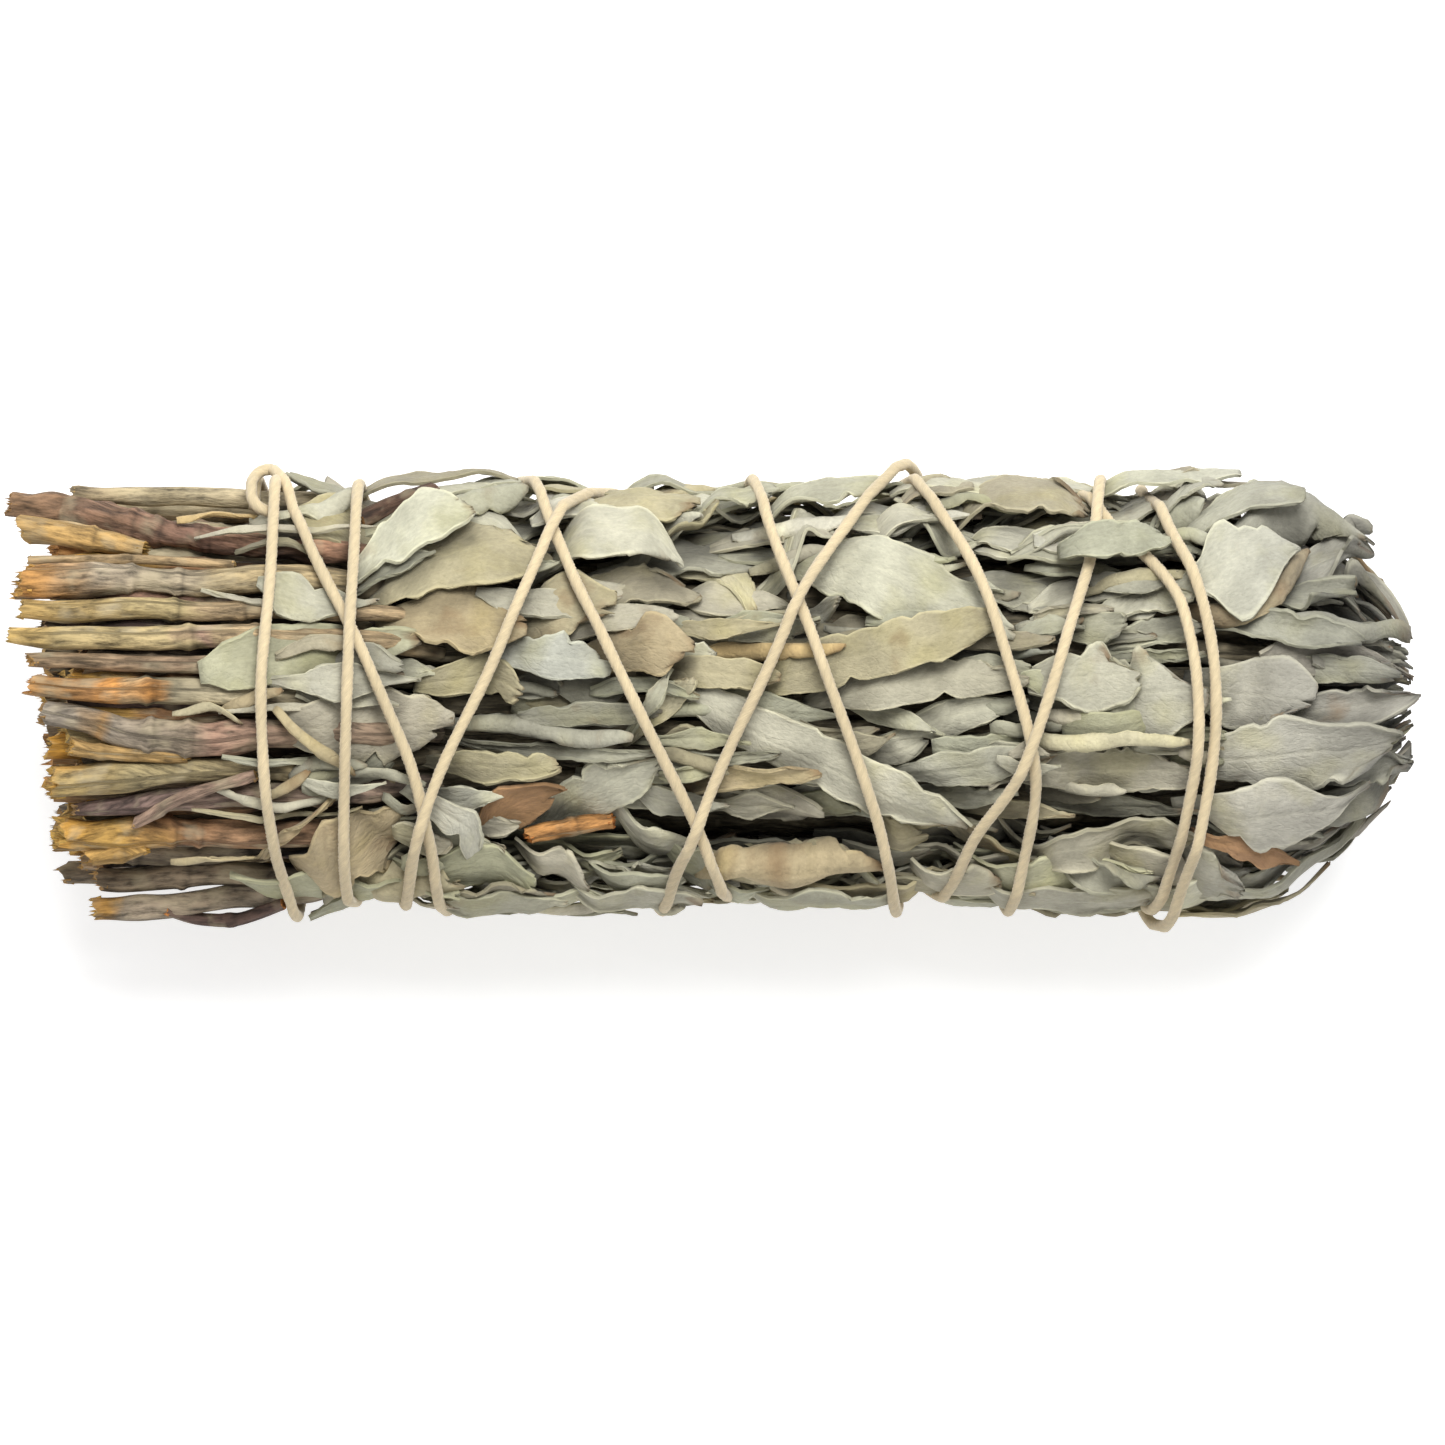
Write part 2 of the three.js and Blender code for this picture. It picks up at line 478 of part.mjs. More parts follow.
function ringPlaces(one) {
  const stops = one.route.map((point) => point.x).filter((x) => x < STEM_TO_SHOOT[0] - 1);
  const shares = isOuter(one) ? [0, 0.35, 0.65, 1] : [0, 1];
  const swelling = shares.map((t) => mix(STEM_TO_SHOOT[0], STEM_TO_SHOOT[1], t));
  const end = one.kind.end;
  return [...stops, ...swelling, end - 10, end];
}

function shootBody(one) {
  const rings = ringPlaces(one).map((x) => outlineAt(one, x).map(([angle, r]) => place(x, angle, r)));
  return solidFromRings(rings);
}

function mapShoot(one, index) {
  const start = one.route[0].x;
  for (let x = start; x < one.kind.end; x += CELL / 2) {
    const outline = outlineAt(one, x);
    outline.forEach((from, k) => {
      const to = outline[(k + 1) % outline.length];
      for (let t = 0; t < 1; t += 0.1) {
        stemMap.raise(x, mix(from[0], to[0], t), mix(from[1], to[1], t), index);
      }
    });
  }
}

// ---------------------------------------------------------------- leaves
// Where the stations of a blade lie along it, and its share of the full width there in each form.
const LONG_BLADE = {
  at: [0, 0.3, 0.66, 1],
  l: [0.4, 1, 0.78, 0.12],
  b: [0.62, 1, 0.94, 0.5],
  r: [0.8, 1, 0.85, 0.4],
};
const SHORT_BLADE = {
  at: [0, 0.45, 1],
  l: [0.4, 1, 0.2],
  b: [0.66, 1, 0.6],
  r: [0.8, 1, 0.5],
};
const SHORT = 8.7; // a blade up to this long has one station less
const NARROW = 3; // a blade up to this wide has no point on its midrib
const EDGE_WAVE = 0.3; // how unevenly a blade's edges rise and fall
const EDGE_JITTER = 0.16; // how unevenly wide a blade is, as a share of its width
const EDGE_ON = 0.985; // sine of the steepest angle that a leaf seen from above can lie at

// Points across a blade at one station, from its low side to its high side.
function acrossPoints(narrow) {
  return narrow ? [-1, 1] : [-1, 0, 1];
}

// A blade from its row in a list. toAngle turns the row's sideways measure into an angle.
function bladeFrom(row, toAngle, random, shift = 0) {
  const [rootX, rootY, tipX, tipY, width, bend, cup, form] = row;
  const startX = rootX - shift;
  const length = Math.hypot(tipX - startX, tipY - rootY);
  const along = [(tipX - startX) / length, (tipY - rootY) / length];
  const narrow = form === 'r' || width < NARROW;
  const shape = length < SHORT ? SHORT_BLADE : LONG_BLADE;
  const stations = shape.at.map((t, i) => {
    const sway = 4 * t * (1 - t) * bend;
    const half = (width / 2) * shape[form][i];
    const centre = [startX + along[0] * length * t, rootY + along[1] * length * t];
    const points = acrossPoints(narrow).map((side) => {
      const edge = side * half * (1 + EDGE_JITTER * (random() - 0.5)) + sway;
      const x = centre[0] - along[1] * edge;
      const y = centre[1] + along[0] * edge;
      const wave = side === 0 ? 0 : cup + EDGE_WAVE * (random() - 0.5);
      return { x, angle: toAngle(x, y), offset: wave };
    });
    const off = toAngle === angleSeenAt ? Math.abs(centre[1] + along[0] * sway) : 0;
    const seen = Math.min(off / (EDGE_ON * SIDE_STRETCH), LEAF_LIMIT.side - 0.3);
    return { points, r: Math.max(restRadius(centre[0], toAngle(...centre)), seen), fixed: false };
  });
  return { stations, narrow };
}

// The root strip that joins a blade to its shoot.
function addRoot(blade, one, index, reach = ROOT_REACH) {
  const first = blade.stations[0];
  const firstX = Math.min(...first.points.map((point) => point.x));
  const x = Math.min(firstX - reach, one.kind.end - 1);
  const centre = centreAt(one, x);
  const turns = Math.round((first.points[0].angle - centre.angle) / (2 * Math.PI));
  const half = Math.min(0.55 * centre.halfAngle, 1.1 / centre.r);
  const points = first.points.map((_, i) => {
    const side = mix(-1, 1, i / (first.points.length - 1));
    return { x, angle: centre.angle + turns * 2 * Math.PI + (side + OFF_RIDGE) * half, offset: 0 };
  });
  const r = centre.r + 0.4 * centre.deep;
  return { stem: index, narrow: blade.narrow, stations: [{ points, r, fixed: true }, ...blade.stations] };
}

// A point of a blade: u from station i to the next, v across from -1 to 1.
function bladePoint(leaf, i, u, v) {
  const from = leaf.stations[i];
  const to = leaf.stations[i + 1];
  const count = from.points.length - 1;
  const across = ((clamp(v, -1, 1) + 1) / 2) * count;
  const k = Math.min(Math.floor(across), count - 1);
  const t = across - k;
  const past = v - clamp(v, -1, 1);
  const blend = (name) => {
    const a = mix(from.points[k][name], from.points[k + 1][name], t);
    const b = mix(to.points[k][name], to.points[k + 1][name], t);
    return mix(a, b, u);
  };
  const spread = (name) => {
    const a = from.points[count][name] - from.points[0][name];
    const b = to.points[count][name] - to.points[0][name];
    return (past * mix(a, b, u)) / 2;
  };
  return {
    x: blend('x') + spread('x'),
    angle: blend('angle') + spread('angle'),
    r: mix(from.r, to.r, u) + blend('offset'),
  };
}

// Runs visit(i, u, v) over a blade and MARGIN past its edges.
function overBlade(leaf, visit) {
  for (let i = 0; i < leaf.stations.length - 1; i += 1) {
    const a = bladePoint(leaf, i, 0, 0);
    const b = bladePoint(leaf, i, 1, 0);
    const low = bladePoint(leaf, i, 0.5, -1);
    const high = bladePoint(leaf, i, 0.5, 1);
    const long = Math.hypot(b.x - a.x, UNROLLED_RADIUS * (b.angle - a.angle));
    const wide = Math.hypot(high.x - low.x, UNROLLED_RADIUS * (high.angle - low.angle));
    const reach = 1 + (2 * MARGIN) / Math.max(wide, 0.5);
    const stepsU = Math.max(2, Math.ceil(long / 0.3));
    const stepsV = Math.max(4, Math.ceil((wide * reach) / 0.3));
    const last = i === leaf.stations.length - 2 ? Math.ceil(MARGIN / 0.3) : 0;
    for (let n = 0; n <= stepsU + last; n += 1) {
      for (let m = 0; m <= stepsV; m += 1) visit(i, n / stepsU, reach * ((2 * m) / stepsV - 1));
    }
  }
}

// The surface that a leaf of this stem must stay above.
function surfaceUnder(x, angle, stem, inRoot) {
  const cell = stemMap.cell(x, angle);
  const ownStem = inRoot && stemMap.owner[cell] === stem;
  const ownLeaf = inRoot && leafMap.owner[cell] === stem;
  return Math.max(ownStem ? 0 : stemMap.top[cell], ownLeaf ? 0 : leafMap.top[cell]);
}

// What the stations must hold: per segment, a share u along it and the least radius there.
function demands(leaf, ghosts) {
  const wanted = leaf.stations.slice(1).map(() => []);
  overBlade(leaf, (i, u, v) => {
    const share = Math.min(u, 1.05);
    const at = bladePoint(leaf, i, share, v);
    const ghost = ghosts ? ghostMap.top[ghostMap.cell(at.x, at.angle)] : 0;
    const under = Math.max(ghost, surfaceUnder(at.x, at.angle, leaf.stem, i === 0));
    if (under === 0) return;
    const held = mix(leaf.stations[i].r, leaf.stations[i + 1].r, share);
    wanted[i].push([share, under + GAP + BLADE / 2 - (at.r - held)]);
  });
  return wanted;
}

// Lifts the stations until the leaf clears everything below, then lets each one down again as
// far as it can go. Returns how far the leaf's root is blocked.
function settle(leaf, ghosts = false) {
  const wanted = demands(leaf, ghosts);
  const { stations } = leaf;
  const rest = stations.map((station) => station.r);
  let blocked = 0;
  for (let pass = 0; pass < 60; pass += 1) {
    let worst = 0;
    blocked = 0;
    wanted.forEach((segment, i) => {
      let most = 0;
      let share = 0;
      segment.forEach(([u, need]) => {
        const short = need - mix(stations[i].r, stations[i + 1].r, u);
        if (stations[i].fixed && u < 0.2) blocked = Math.max(blocked, short);
        else if (short > most) [most, share] = [short, u];
      });
      if (most < 0.005) return;
      const a = stations[i].fixed ? 0 : 1 - share;
      const weight = a * a + share * share;
      stations[i].r += (most * a) / weight;
      stations[i + 1].r += (most * share) / weight;
      worst = Math.max(worst, most);
    });
    if (worst < 0.01) break;
  }
  for (let pass = 0; pass < 3; pass += 1) {
    stations.forEach((station, j) => {
      if (station.fixed) return;
      let low = rest[j];
      wanted[j - 1].forEach(([u, need]) => {
        if (u > 0.2) low = Math.max(low, (need - (1 - u) * stations[j - 1].r) / u);
      });
      (wanted[j] || []).forEach(([u, need]) => {
        if (u < 0.8) low = Math.max(low, (need - u * stations[j + 1].r) / (1 - u));
      });
      station.r = Math.min(station.r, low);
    });
  }
  return blocked;
}

// How far the highest point of a leaf passes its limit.
function tallest(leaf) {
  return Math.max(...leaf.stations.map((station) => {
    const { x, angle } = station.points[0];
    const overShoots = mix(LEAF_LIMIT.top, LEAF_LIMIT.side, smoothstep(Math.abs(Math.sin(angle)), 0.7, 0.9));
    const limit = x < STEMS_END ? LEAF_LIMIT.overStems : overShoots;
    return Math.max(...station.points.map((point) => station.r + point.offset)) - limit;
  }));
}

// How far a leaf rises into the places where the twine crosses itself.
function pastCrossing(leaf) {
  let past = -Infinity;
  overBlade(leaf, (i, u, v) => {
    const at = bladePoint(leaf, i, u, v);
    if (crossingMap.top[crossingMap.cell(at.x, at.angle)] > 0) past = Math.max(past, at.r);
  });
  return past - LEAF_LIMIT.crossing;
}

// How far a leaf passes the room left above the floor.
function pastFloor(leaf) {
  let past = -Infinity;
  leaf.stations.forEach((station) => {
    station.points.forEach((point) => {
      const room = floorRadius(point.angle, AXIS_HEIGHT - TWINE_ROOM);
      past = Math.max(past, station.r + point.offset + BLADE / 2 - room);
    });
  });
  return past;
}

function mapLeaf(leaf) {
  overBlade(leaf, (i, u, v) => {
    const at = bladePoint(leaf, i, Math.min(u, 1.05), v);
    leafMap.raise(at.x, at.angle, at.r + BLADE / 2, leaf.stem);
  });
}

// The outer shoots whose middle is nearest to an angle.
function nearestShoots(shoots, angle, x, count) {
  const turn = (a) => Math.abs(Math.atan2(Math.sin(a), Math.cos(a)));
  return shoots
    .map((one, index) => ({ one, index, off: turn(centreAt(one, x).angle - angle) }))
    .filter((entry) => isOuter(entry.one))
    .sort((a, b) => a.off - b.off)
    .slice(0, count);
}

// Lays one leaf: tries the nearest shoots, a root a little further back and then a shorter tip,
// and keeps the way that lifts the leaf least. A leaf that finds no room is left out.
function layLeaf(shoots, row, toAngle, seed, extra = 0, ghosts = true) {
  for (const share of SHORTER) {
    const cut = [...row];
    cut[2] = mix(row[0], row[2], share);
    cut[3] = mix(row[1], row[3], share);
    let best = null;
    [0, 1.2, 2.4].forEach((shift) => {
      const blade = () => bladeFrom(cut, toAngle, numbers(seed), shift);
      const first = blade().stations[0];
      const angle = (first.points[0].angle + first.points[first.points.length - 1].angle) / 2;
      nearestShoots(shoots, angle, first.points[0].x - ROOT_REACH, 2).forEach(({ one, index, off }) => {
        const leaf = addRoot(blade(), one, index);
        const blocked = settle(leaf, ghosts);
        const cost = 20 * blocked + tallest(leaf) + 0.15 * shift + 1.5 * off;
        if (best === null || cost < best.cost) best = { leaf, cost, blocked };
      });
    });
    const fits = pastFloor(best.leaf) < 0 && pastCrossing(best.leaf) < extra;
    if (best.blocked < 0.02 && tallest(best.leaf) < extra && fits) {
      mapLeaf(best.leaf);
      shoots[best.leaf.stem].leaves.push(best.leaf);
      return;
    }
  }
}

// Leaves pressed flat against the surface below, so their outer faces lie in the plane z = 0.
function layPressedLeaves(shoots) {
  PRESSED_LEAVES.forEach(([rootX, tipX, y, width], n) => {
    const toAngle = (x, s) => Math.atan(s / (SIDE_STRETCH * AXIS_HEIGHT)) - Math.PI;
    const blade = bladeFrom([rootX, -y, tipX, -y, width, 0, 0, 'b'], toAngle, numbers(700 + n));
    const [{ one, index }] = nearestShoots(shoots, toAngle(rootX, -y), rootX - ROOT_REACH, 1);
    const leaf = addRoot(blade, one, index, 1.4 * ROOT_REACH);
    leaf.stations.forEach((station) => {
      if (station.fixed) return;
      station.r = 0;
      station.points.forEach((point) => {
        point.offset = floorRadius(point.angle, AXIS_HEIGHT) - BLADE / 2;
      });
    });
    mapLeaf(leaf);
    shoots[index].leaves.push(leaf);
  });
}

// Leaves on the side that the bundle lies on, spread by a rule.
function backRows() {
  const random = numbers(5);
  const start = -Math.PI / 2 * UNROLLED_RADIUS;
  const arc = -Math.PI * UNROLLED_RADIUS;
  const rows = [];
  for (let n = 0; n < BACK_LEAVES; n += 1) {
    const around = (n * 0.618034) % 1;
    const s = start + arc * mix(0.02, 0.98, around);
    const x = mix(46, -33, (n + random()) / BACK_LEAVES);
    const length = mix(13, 21, random());
    const turn = mix(-0.3, 0.3, random());
    const form = random() < 0.3 ? 'b' : 'l';
    const width = mix(4.8, 8.0, random());
    const tipX = Math.min(x + length * Math.cos(turn), 61 - 3 * random());
    rows.push([x, s, tipX, s + length * Math.sin(turn), width, mix(-0.8, 0.8, random()), -0.15, form]);
  }
  return rows;
}

// Leaves at the tip of every inner shoot, one over the other, which fill the round end.
function layTips(shoots, kind, layers, seed) {
  const random = numbers(seed);
  shoots.forEach((one, index) => {
    if (one.kind !== kind) return;
    layers.forEach((radius, n) => {
      const toAngle = (x, side) => side / radius;
      const x = kind.end + 0.8 - 1.2 * n;
      const tip = mix(59, 61.8, random());
      const s = one.angle * radius;
      const width = 0.9 * (one.high - one.low) * radius * mix(0.75, 0.95, random());
      const bend = mix(-0.3, 0.3, random());
      const blade = bladeFrom([x, s, tip, s, Math.min(width, 4.2), bend, 0.15, 'l'], toAngle, random);
      const last = blade.stations.length - 1;
      blade.stations.forEach((station, i) => {
        station.r = mix(radius, 0.62 * radius, i / last);
      });
      const leaf = addRoot(blade, one, index);
      mapLeaf(leaf);
      one.leaves.push(leaf);
    });
  });
}

// Marks the places where the twine will cross itself.
function keepCrossingsLow() {
  const way = twineWay();
  twineCrossings(way).forEach(([i]) => {
    for (let dx = -1; dx <= 1; dx += CELL / 2) {
      for (let ds = -1; ds <= 1; ds += CELL / 2) {
        crossingMap.raise(way[i][0] + dx, way[i][1] + ds / UNROLLED_RADIUS, 1, 0);
      }
    }
  });
}

// Marks the places where the leaves over the twine will reach down to their stems.
function keepRootsFree() {
  OVER_LEAVES.forEach(([rootX, rootY, , , width]) => {
    for (let x = rootX - ROOT_REACH - 1; x < rootX + 2; x += CELL / 2) {
      for (let y = rootY - width / 3; y < rootY + width / 3; y += CELL / 2) {
        ghostMap.raise(x, angleSeenAt(x, y), BLOCKED, -1);
      }
    }
  });
}

function layFrontAndBack(shoots) {
  const front = FRONT_LEAVES.map((row, n) => ({ row, toAngle: angleSeenAt, seed: 100 + n }));
  const toAngle = (x, s) => s / UNROLLED_RADIUS;
  const back = backRows().map((row, n) => ({ row, toAngle, seed: 400 + n }));
  [...front, ...back]
    .sort((a, b) => b.row[0] - a.row[0])
    .forEach((leaf) => layLeaf(shoots, leaf.row, leaf.toAngle, leaf.seed));
}

// ---------------------------------------------------------------- twine
// The twine's way as [x, angle] points a step apart: each front run, then round the back.
function twineWay() {
  const knots = [];
  TWINE_RUNS.forEach((run, turn) => {
    run.forEach(([x, y]) => {
      knots.push([x, Math.asin(y / TWINE_VIEW_RADIUS) - 2 * Math.PI * turn]);
    });
    knots.push([TWINE_BACKS[turn], -Math.PI * (2 * turn + 1)]);
  });
  const [endX, endY] = TWINE_END;
  knots.push([endX, Math.asin(endY / TWINE_VIEW_RADIUS) - 2 * Math.PI * TWINE_RUNS.length]);
  const way = [];
  for (let i = 0; i < knots.length - 1; i += 1) {
    const [from, to] = [knots[i], knots[i + 1]];
    const long = Math.hypot(to[0] - from[0], UNROLLED_RADIUS * (to[1] - from[1]));
    const steps = Math.max(1, Math.round(long / TWINE_STEP));
    for (let n = 0; n < steps; n += 1) {
      way.push([mix(from[0], to[0], n / steps), mix(from[1], to[1], n / steps)]);
    }
  }
  way.push(knots[knots.length - 1]);
  for (let pass = 0; pass < 8; pass += 1) {
    for (let i = 1; i < way.length - 1; i += 1) {
      way[i] = [0, 1].map((k) => (way[i - 1][k] + 2 * way[i][k] + way[i + 1][k]) / 4);
    }
  }
  return way;
}

// The least radius of the twine's middle at each point, over the leaves and stems below it.
function twineNeeds(way) {
  return way.map(([x, angle]) => {
    let top = 0;
    for (let dx = -0.8; dx <= 0.81; dx += 0.4) {
      for (let ds = -0.8; ds <= 0.81; ds += 0.4) {
        const cell = leafMap.cell(x + dx, angle + ds / UNROLLED_RADIUS);
        top = Math.max(top, leafMap.top[cell], stemMap.top[cell]);
      }
    }
    const need = Math.max(top + TWINE_GAP + TWINE_RADIUS, TWINE_LEAST_RADIUS);
    const ground = floorRadius(angle, AXIS_HEIGHT - TWINE_RADIUS);
    const onFloor = -Math.cos(angle) > Math.cos(radians(TWINE_ON_FLOOR));
    return onFloor ? ground : Math.min(need, ground);
  });
}

// Pairs of points where a later stretch of twine passes over an earlier one.
function twineCrossings(way) {
  const pairs = [];
  const reach = 2 * TWINE_RADIUS + TWINE_SELF_GAP / 2;
  for (let j = 0; j < way.length; j += 1) {
    for (let i = 0; i < j - 20; i += 1) {
      const dx = way[j][0] - way[i][0];
      if (Math.abs(dx) > reach) continue;
      const turns = Math.round((way[i][1] - way[j][1]) / (2 * Math.PI));
      const ds = UNROLLED_RADIUS * (way[j][1] + turns * 2 * Math.PI - way[i][1]);
      if (Math.hypot(dx, ds) < reach) pairs.push([i, j]);
    }
  }
  return pairs;
}

// Pulls the twine tight: straight between the places where something holds it up.
function tighten(way, radii, needs) {
  for (let pass = 0; pass < 60; pass += 1) {
    for (let i = 1; i < way.length - 1; i += 1) {
      const a = place(way[i - 1][0], way[i - 1][1], radii[i - 1]);
      const b = place(way[i + 1][0], way[i + 1][1], radii[i + 1]);
      const y = (a[1] + b[1]) / 2 / SIDE_STRETCH;
      const z = (a[2] + b[2]) / 2 - AXIS_HEIGHT;
      radii[i] = Math.max(needs[i], Math.hypot(y, z));
    }
  }
}

function twinePoints() {
  const way = twineWay();
  const base = twineNeeds(way);
  const crossings = twineCrossings(way);
  const radii = [...base];
  for (let round = 0; round < 4; round += 1) {
    const needs = [...base];
    crossings.forEach(([i, j]) => {
      needs[j] = Math.max(needs[j], radii[i] + 2 * TWINE_RADIUS + TWINE_SELF_GAP);
    });
    radii.forEach((_, i) => {
      radii[i] = needs[i];
    });
    tighten(way, radii, needs);
  }
  return way.map(([x, angle], i) => ({ x, angle, r: radii[i] }));
}

// Keeps only the points that the twine's shape needs.
function thinned(points, tolerance) {
  const places = points.map((point) => new THREE.Vector3(...place(point.x, point.angle, point.r)));
  const keep = new Set([0, places.length - 1]);
  const line = new THREE.Line3();
  const nearest = new THREE.Vector3();
  const split = (from, to) => {
    line.set(places[from], places[to]);
    let worst = 0;
    let at = -1;
    for (let i = from + 1; i < to; i += 1) {
      const off = line.closestPointToPoint(places[i], true, nearest).distanceTo(places[i]);
      if (off > worst) {
        worst = off;
        at = i;
      }
    }
    if (worst <= tolerance) return;
    keep.add(at);
    split(from, at);
    split(at, to);
  };
  for (let i = 0; i < places.length - 1; i += 40) split(i, Math.min(i + 40, places.length - 1));
  for (let i = 0; i < places.length; i += 40) keep.add(i);
  return places.filter((_, i) => keep.has(i));
}

// A curve that passes through its points in straight steps.
class StepCurve extends THREE.Curve {
  constructor(points) {
    super();
    this.points = points;
  }

  getPoint(t, target = new THREE.Vector3()) {
    const last = this.points.length - 1;
    const at = clamp(t, 0, 1) * last;
    const i = Math.min(Math.floor(at), last - 1);
    return target.copy(this.points[i]).lerp(this.points[i + 1], at - i);
  }

  getPointAt(t, target) {
    return this.getPoint(t, target);
  }

  getTangentAt(t, target = new THREE.Vector3()) {
    const step = 0.5 / (this.points.length - 1);
    const before = this.getPoint(t - step);
    return target.copy(this.getPoint(t + step)).sub(before).normalize();
  }
}

function tubeSolid(points, radius, sides) {
  const outline = new THREE.Shape();
  for (let k = 0; k < sides; k += 1) {
    const phase = (2 * Math.PI * k) / sides;
    const corner = [radius * Math.cos(phase), radius * Math.sin(phase)];
    if (k === 0) outline.moveTo(...corner);
    else outline.lineTo(...corner);
  }
  outline.closePath();
  const extrudePath = new StepCurve(points);
  const steps = points.length - 1;
  const geometry = new THREE.ExtrudeGeometry(outline, { steps, extrudePath, bevelEnabled: false });
  return solidFromGeometry(geometry);
}

// The loop that closes the knot, round the place where the first turn leaves it.
function knotLoop(twine) {
  const radius = Math.max(...twine.slice(0, KNOT_POINTS).map((point) => point.r));
  const points = KNOT_LOOP.map(([x, y, height]) => {
    return new THREE.Vector3(...place(x, Math.asin(y / TWINE_VIEW_RADIUS), radius + height));
  });
  return tubeSolid(points, TWINE_RADIUS, TWINE_SIDES);
}

// ---------------------------------------------------------------- solids
function solidFrom(vertices, triangles) {
  const mesh = new wasm.Mesh({
    numProp: 3,
    vertProperties: Float32Array.from(vertices.flat()),
    triVerts: Uint32Array.from(triangles.flat()),
  });
  return new wasm.Manifold(mesh);
}

function solidFromGeometry(source) {
  const bare = source.clone();
  bare.deleteAttribute('normal');
  bare.deleteAttribute('uv');
  const merged = mergeVertices(bare, 1e-4);
  return new wasm.Manifold(new wasm.Mesh({
    numProp: 3,
    vertProperties: Float32Array.from(merged.attributes.position.array),
    triVerts: Uint32Array.from(merged.index.array),
  }));
}

// A closed skin over rings of points that run along +X, each turning the same way.
function solidFromRings(rings) {
  const sides = rings[0].length;
  const triangles = [];
  for (let i = 0; i < rings.length - 1; i += 1) {
    for (let k = 0; k < sides; k += 1) {
      const a = i * sides + k;
      const b = i * sides + ((k + 1) % sides);
      triangles.push([a, b, a + sides], [b, b + sides, a + sides]);
    }
  }
  const last = (rings.length - 1) * sides;
  for (let k = 1; k < sides - 1; k += 1) {
    triangles.push([0, k + 1, k], [last, last + k, last + k + 1]);
  }
  return outward(rings.flat(), triangles);
}

// Turns the triangles over if the solid would be inside out.
function outward(vertices, triangles) {
  let volume = 0;
  triangles.forEach(([a, b, c]) => {
    const [p, q, r] = [vertices[a], vertices[b], vertices[c]];
    volume += p[0] * (q[1] * r[2] - q[2] * r[1]) - p[1] * (q[0] * r[2] - q[2] * r[0])
      + p[2] * (q[0] * r[1] - q[1] * r[0]);
  });
  return solidFrom(vertices, volume > 0 ? triangles : triangles.map(([a, b, c]) => [a, c, b]));
}

// A leaf's outer and inner faces, split alike, with a rim between them.
function leafBody(leaf) {
  const count = leaf.stations[0].points.length;
  const last = leaf.stations.length - 1;
  const faces = [1, -1].map((side) => leaf.stations.map((station, i) => {
    const before = leaf.stations[Math.max(i - 1, 0)];
    const after = leaf.stations[Math.min(i + 1, last)];
    const run = Math.max(after.points[0].x - before.points[0].x, 0.5);
    const slope = station.fixed || station.r === 0 ? 0 : (after.r - before.r) / run;
    const half = (BLADE / 2) * Math.min(Math.hypot(1, slope), 1.25);
    return station.points.map((point) => place(point.x, point.angle, station.r + point.offset + side * half));
  }));
  const vertices = faces.flat(2);
  const inner = (last + 1) * count;
  const triangles = [];
  for (let i = 0; i < last; i += 1) {
    for (let k = 0; k < count - 1; k += 1) {
      const a = i * count + k;
      const corners = [a, a + 1, a + count + 1, a + count];
      triangles.push([corners[0], corners[1], corners[2]], [corners[0], corners[2], corners[3]]);
      triangles.push([corners[2] + inner, corners[1] + inner, corners[0] + inner]);
      triangles.push([corners[3] + inner, corners[2] + inner, corners[0] + inner]);
    }
  }
  const rim = [];
  for (let k = 0; k < count; k += 1) rim.push(k);
  for (let i = 1; i <= last; i += 1) rim.push(i * count + count - 1);
  for (let k = count - 2; k >= 0; k -= 1) rim.push(last * count + k);
  for (let i = last - 1; i >= 1; i -= 1) rim.push(i * count);
  rim.forEach((a, n) => {
    const b = rim[(n + 1) % rim.length];
    triangles.push([b, a, a + inner], [b, a + inner, b + inner]);
  });
  return outward(vertices, triangles);
}

function joined(solids) {
  const whole = solids.reduce((sum, solid) => sum.add(solid));
  const bodies = whole.decompose().sort((a, b) => b.volume() - a.volume());
  return bodies[0];
}

function meshOf(solid, name, color, roughness) {
  const { vertProperties, triVerts } = solid.getMesh();
  const geometry = new THREE.BufferGeometry();
  geometry.setAttribute('position', new THREE.BufferAttribute(Float32Array.from(vertProperties), 3));
  geometry.setIndex(new THREE.BufferAttribute(Uint32Array.from(triVerts), 1));
  geometry.computeVertexNormals();
  const material = new THREE.MeshStandardMaterial({ color, roughness, metalness: 0 });
  const mesh = new THREE.Mesh(geometry, material);
  mesh.name = name;
  return mesh;
}

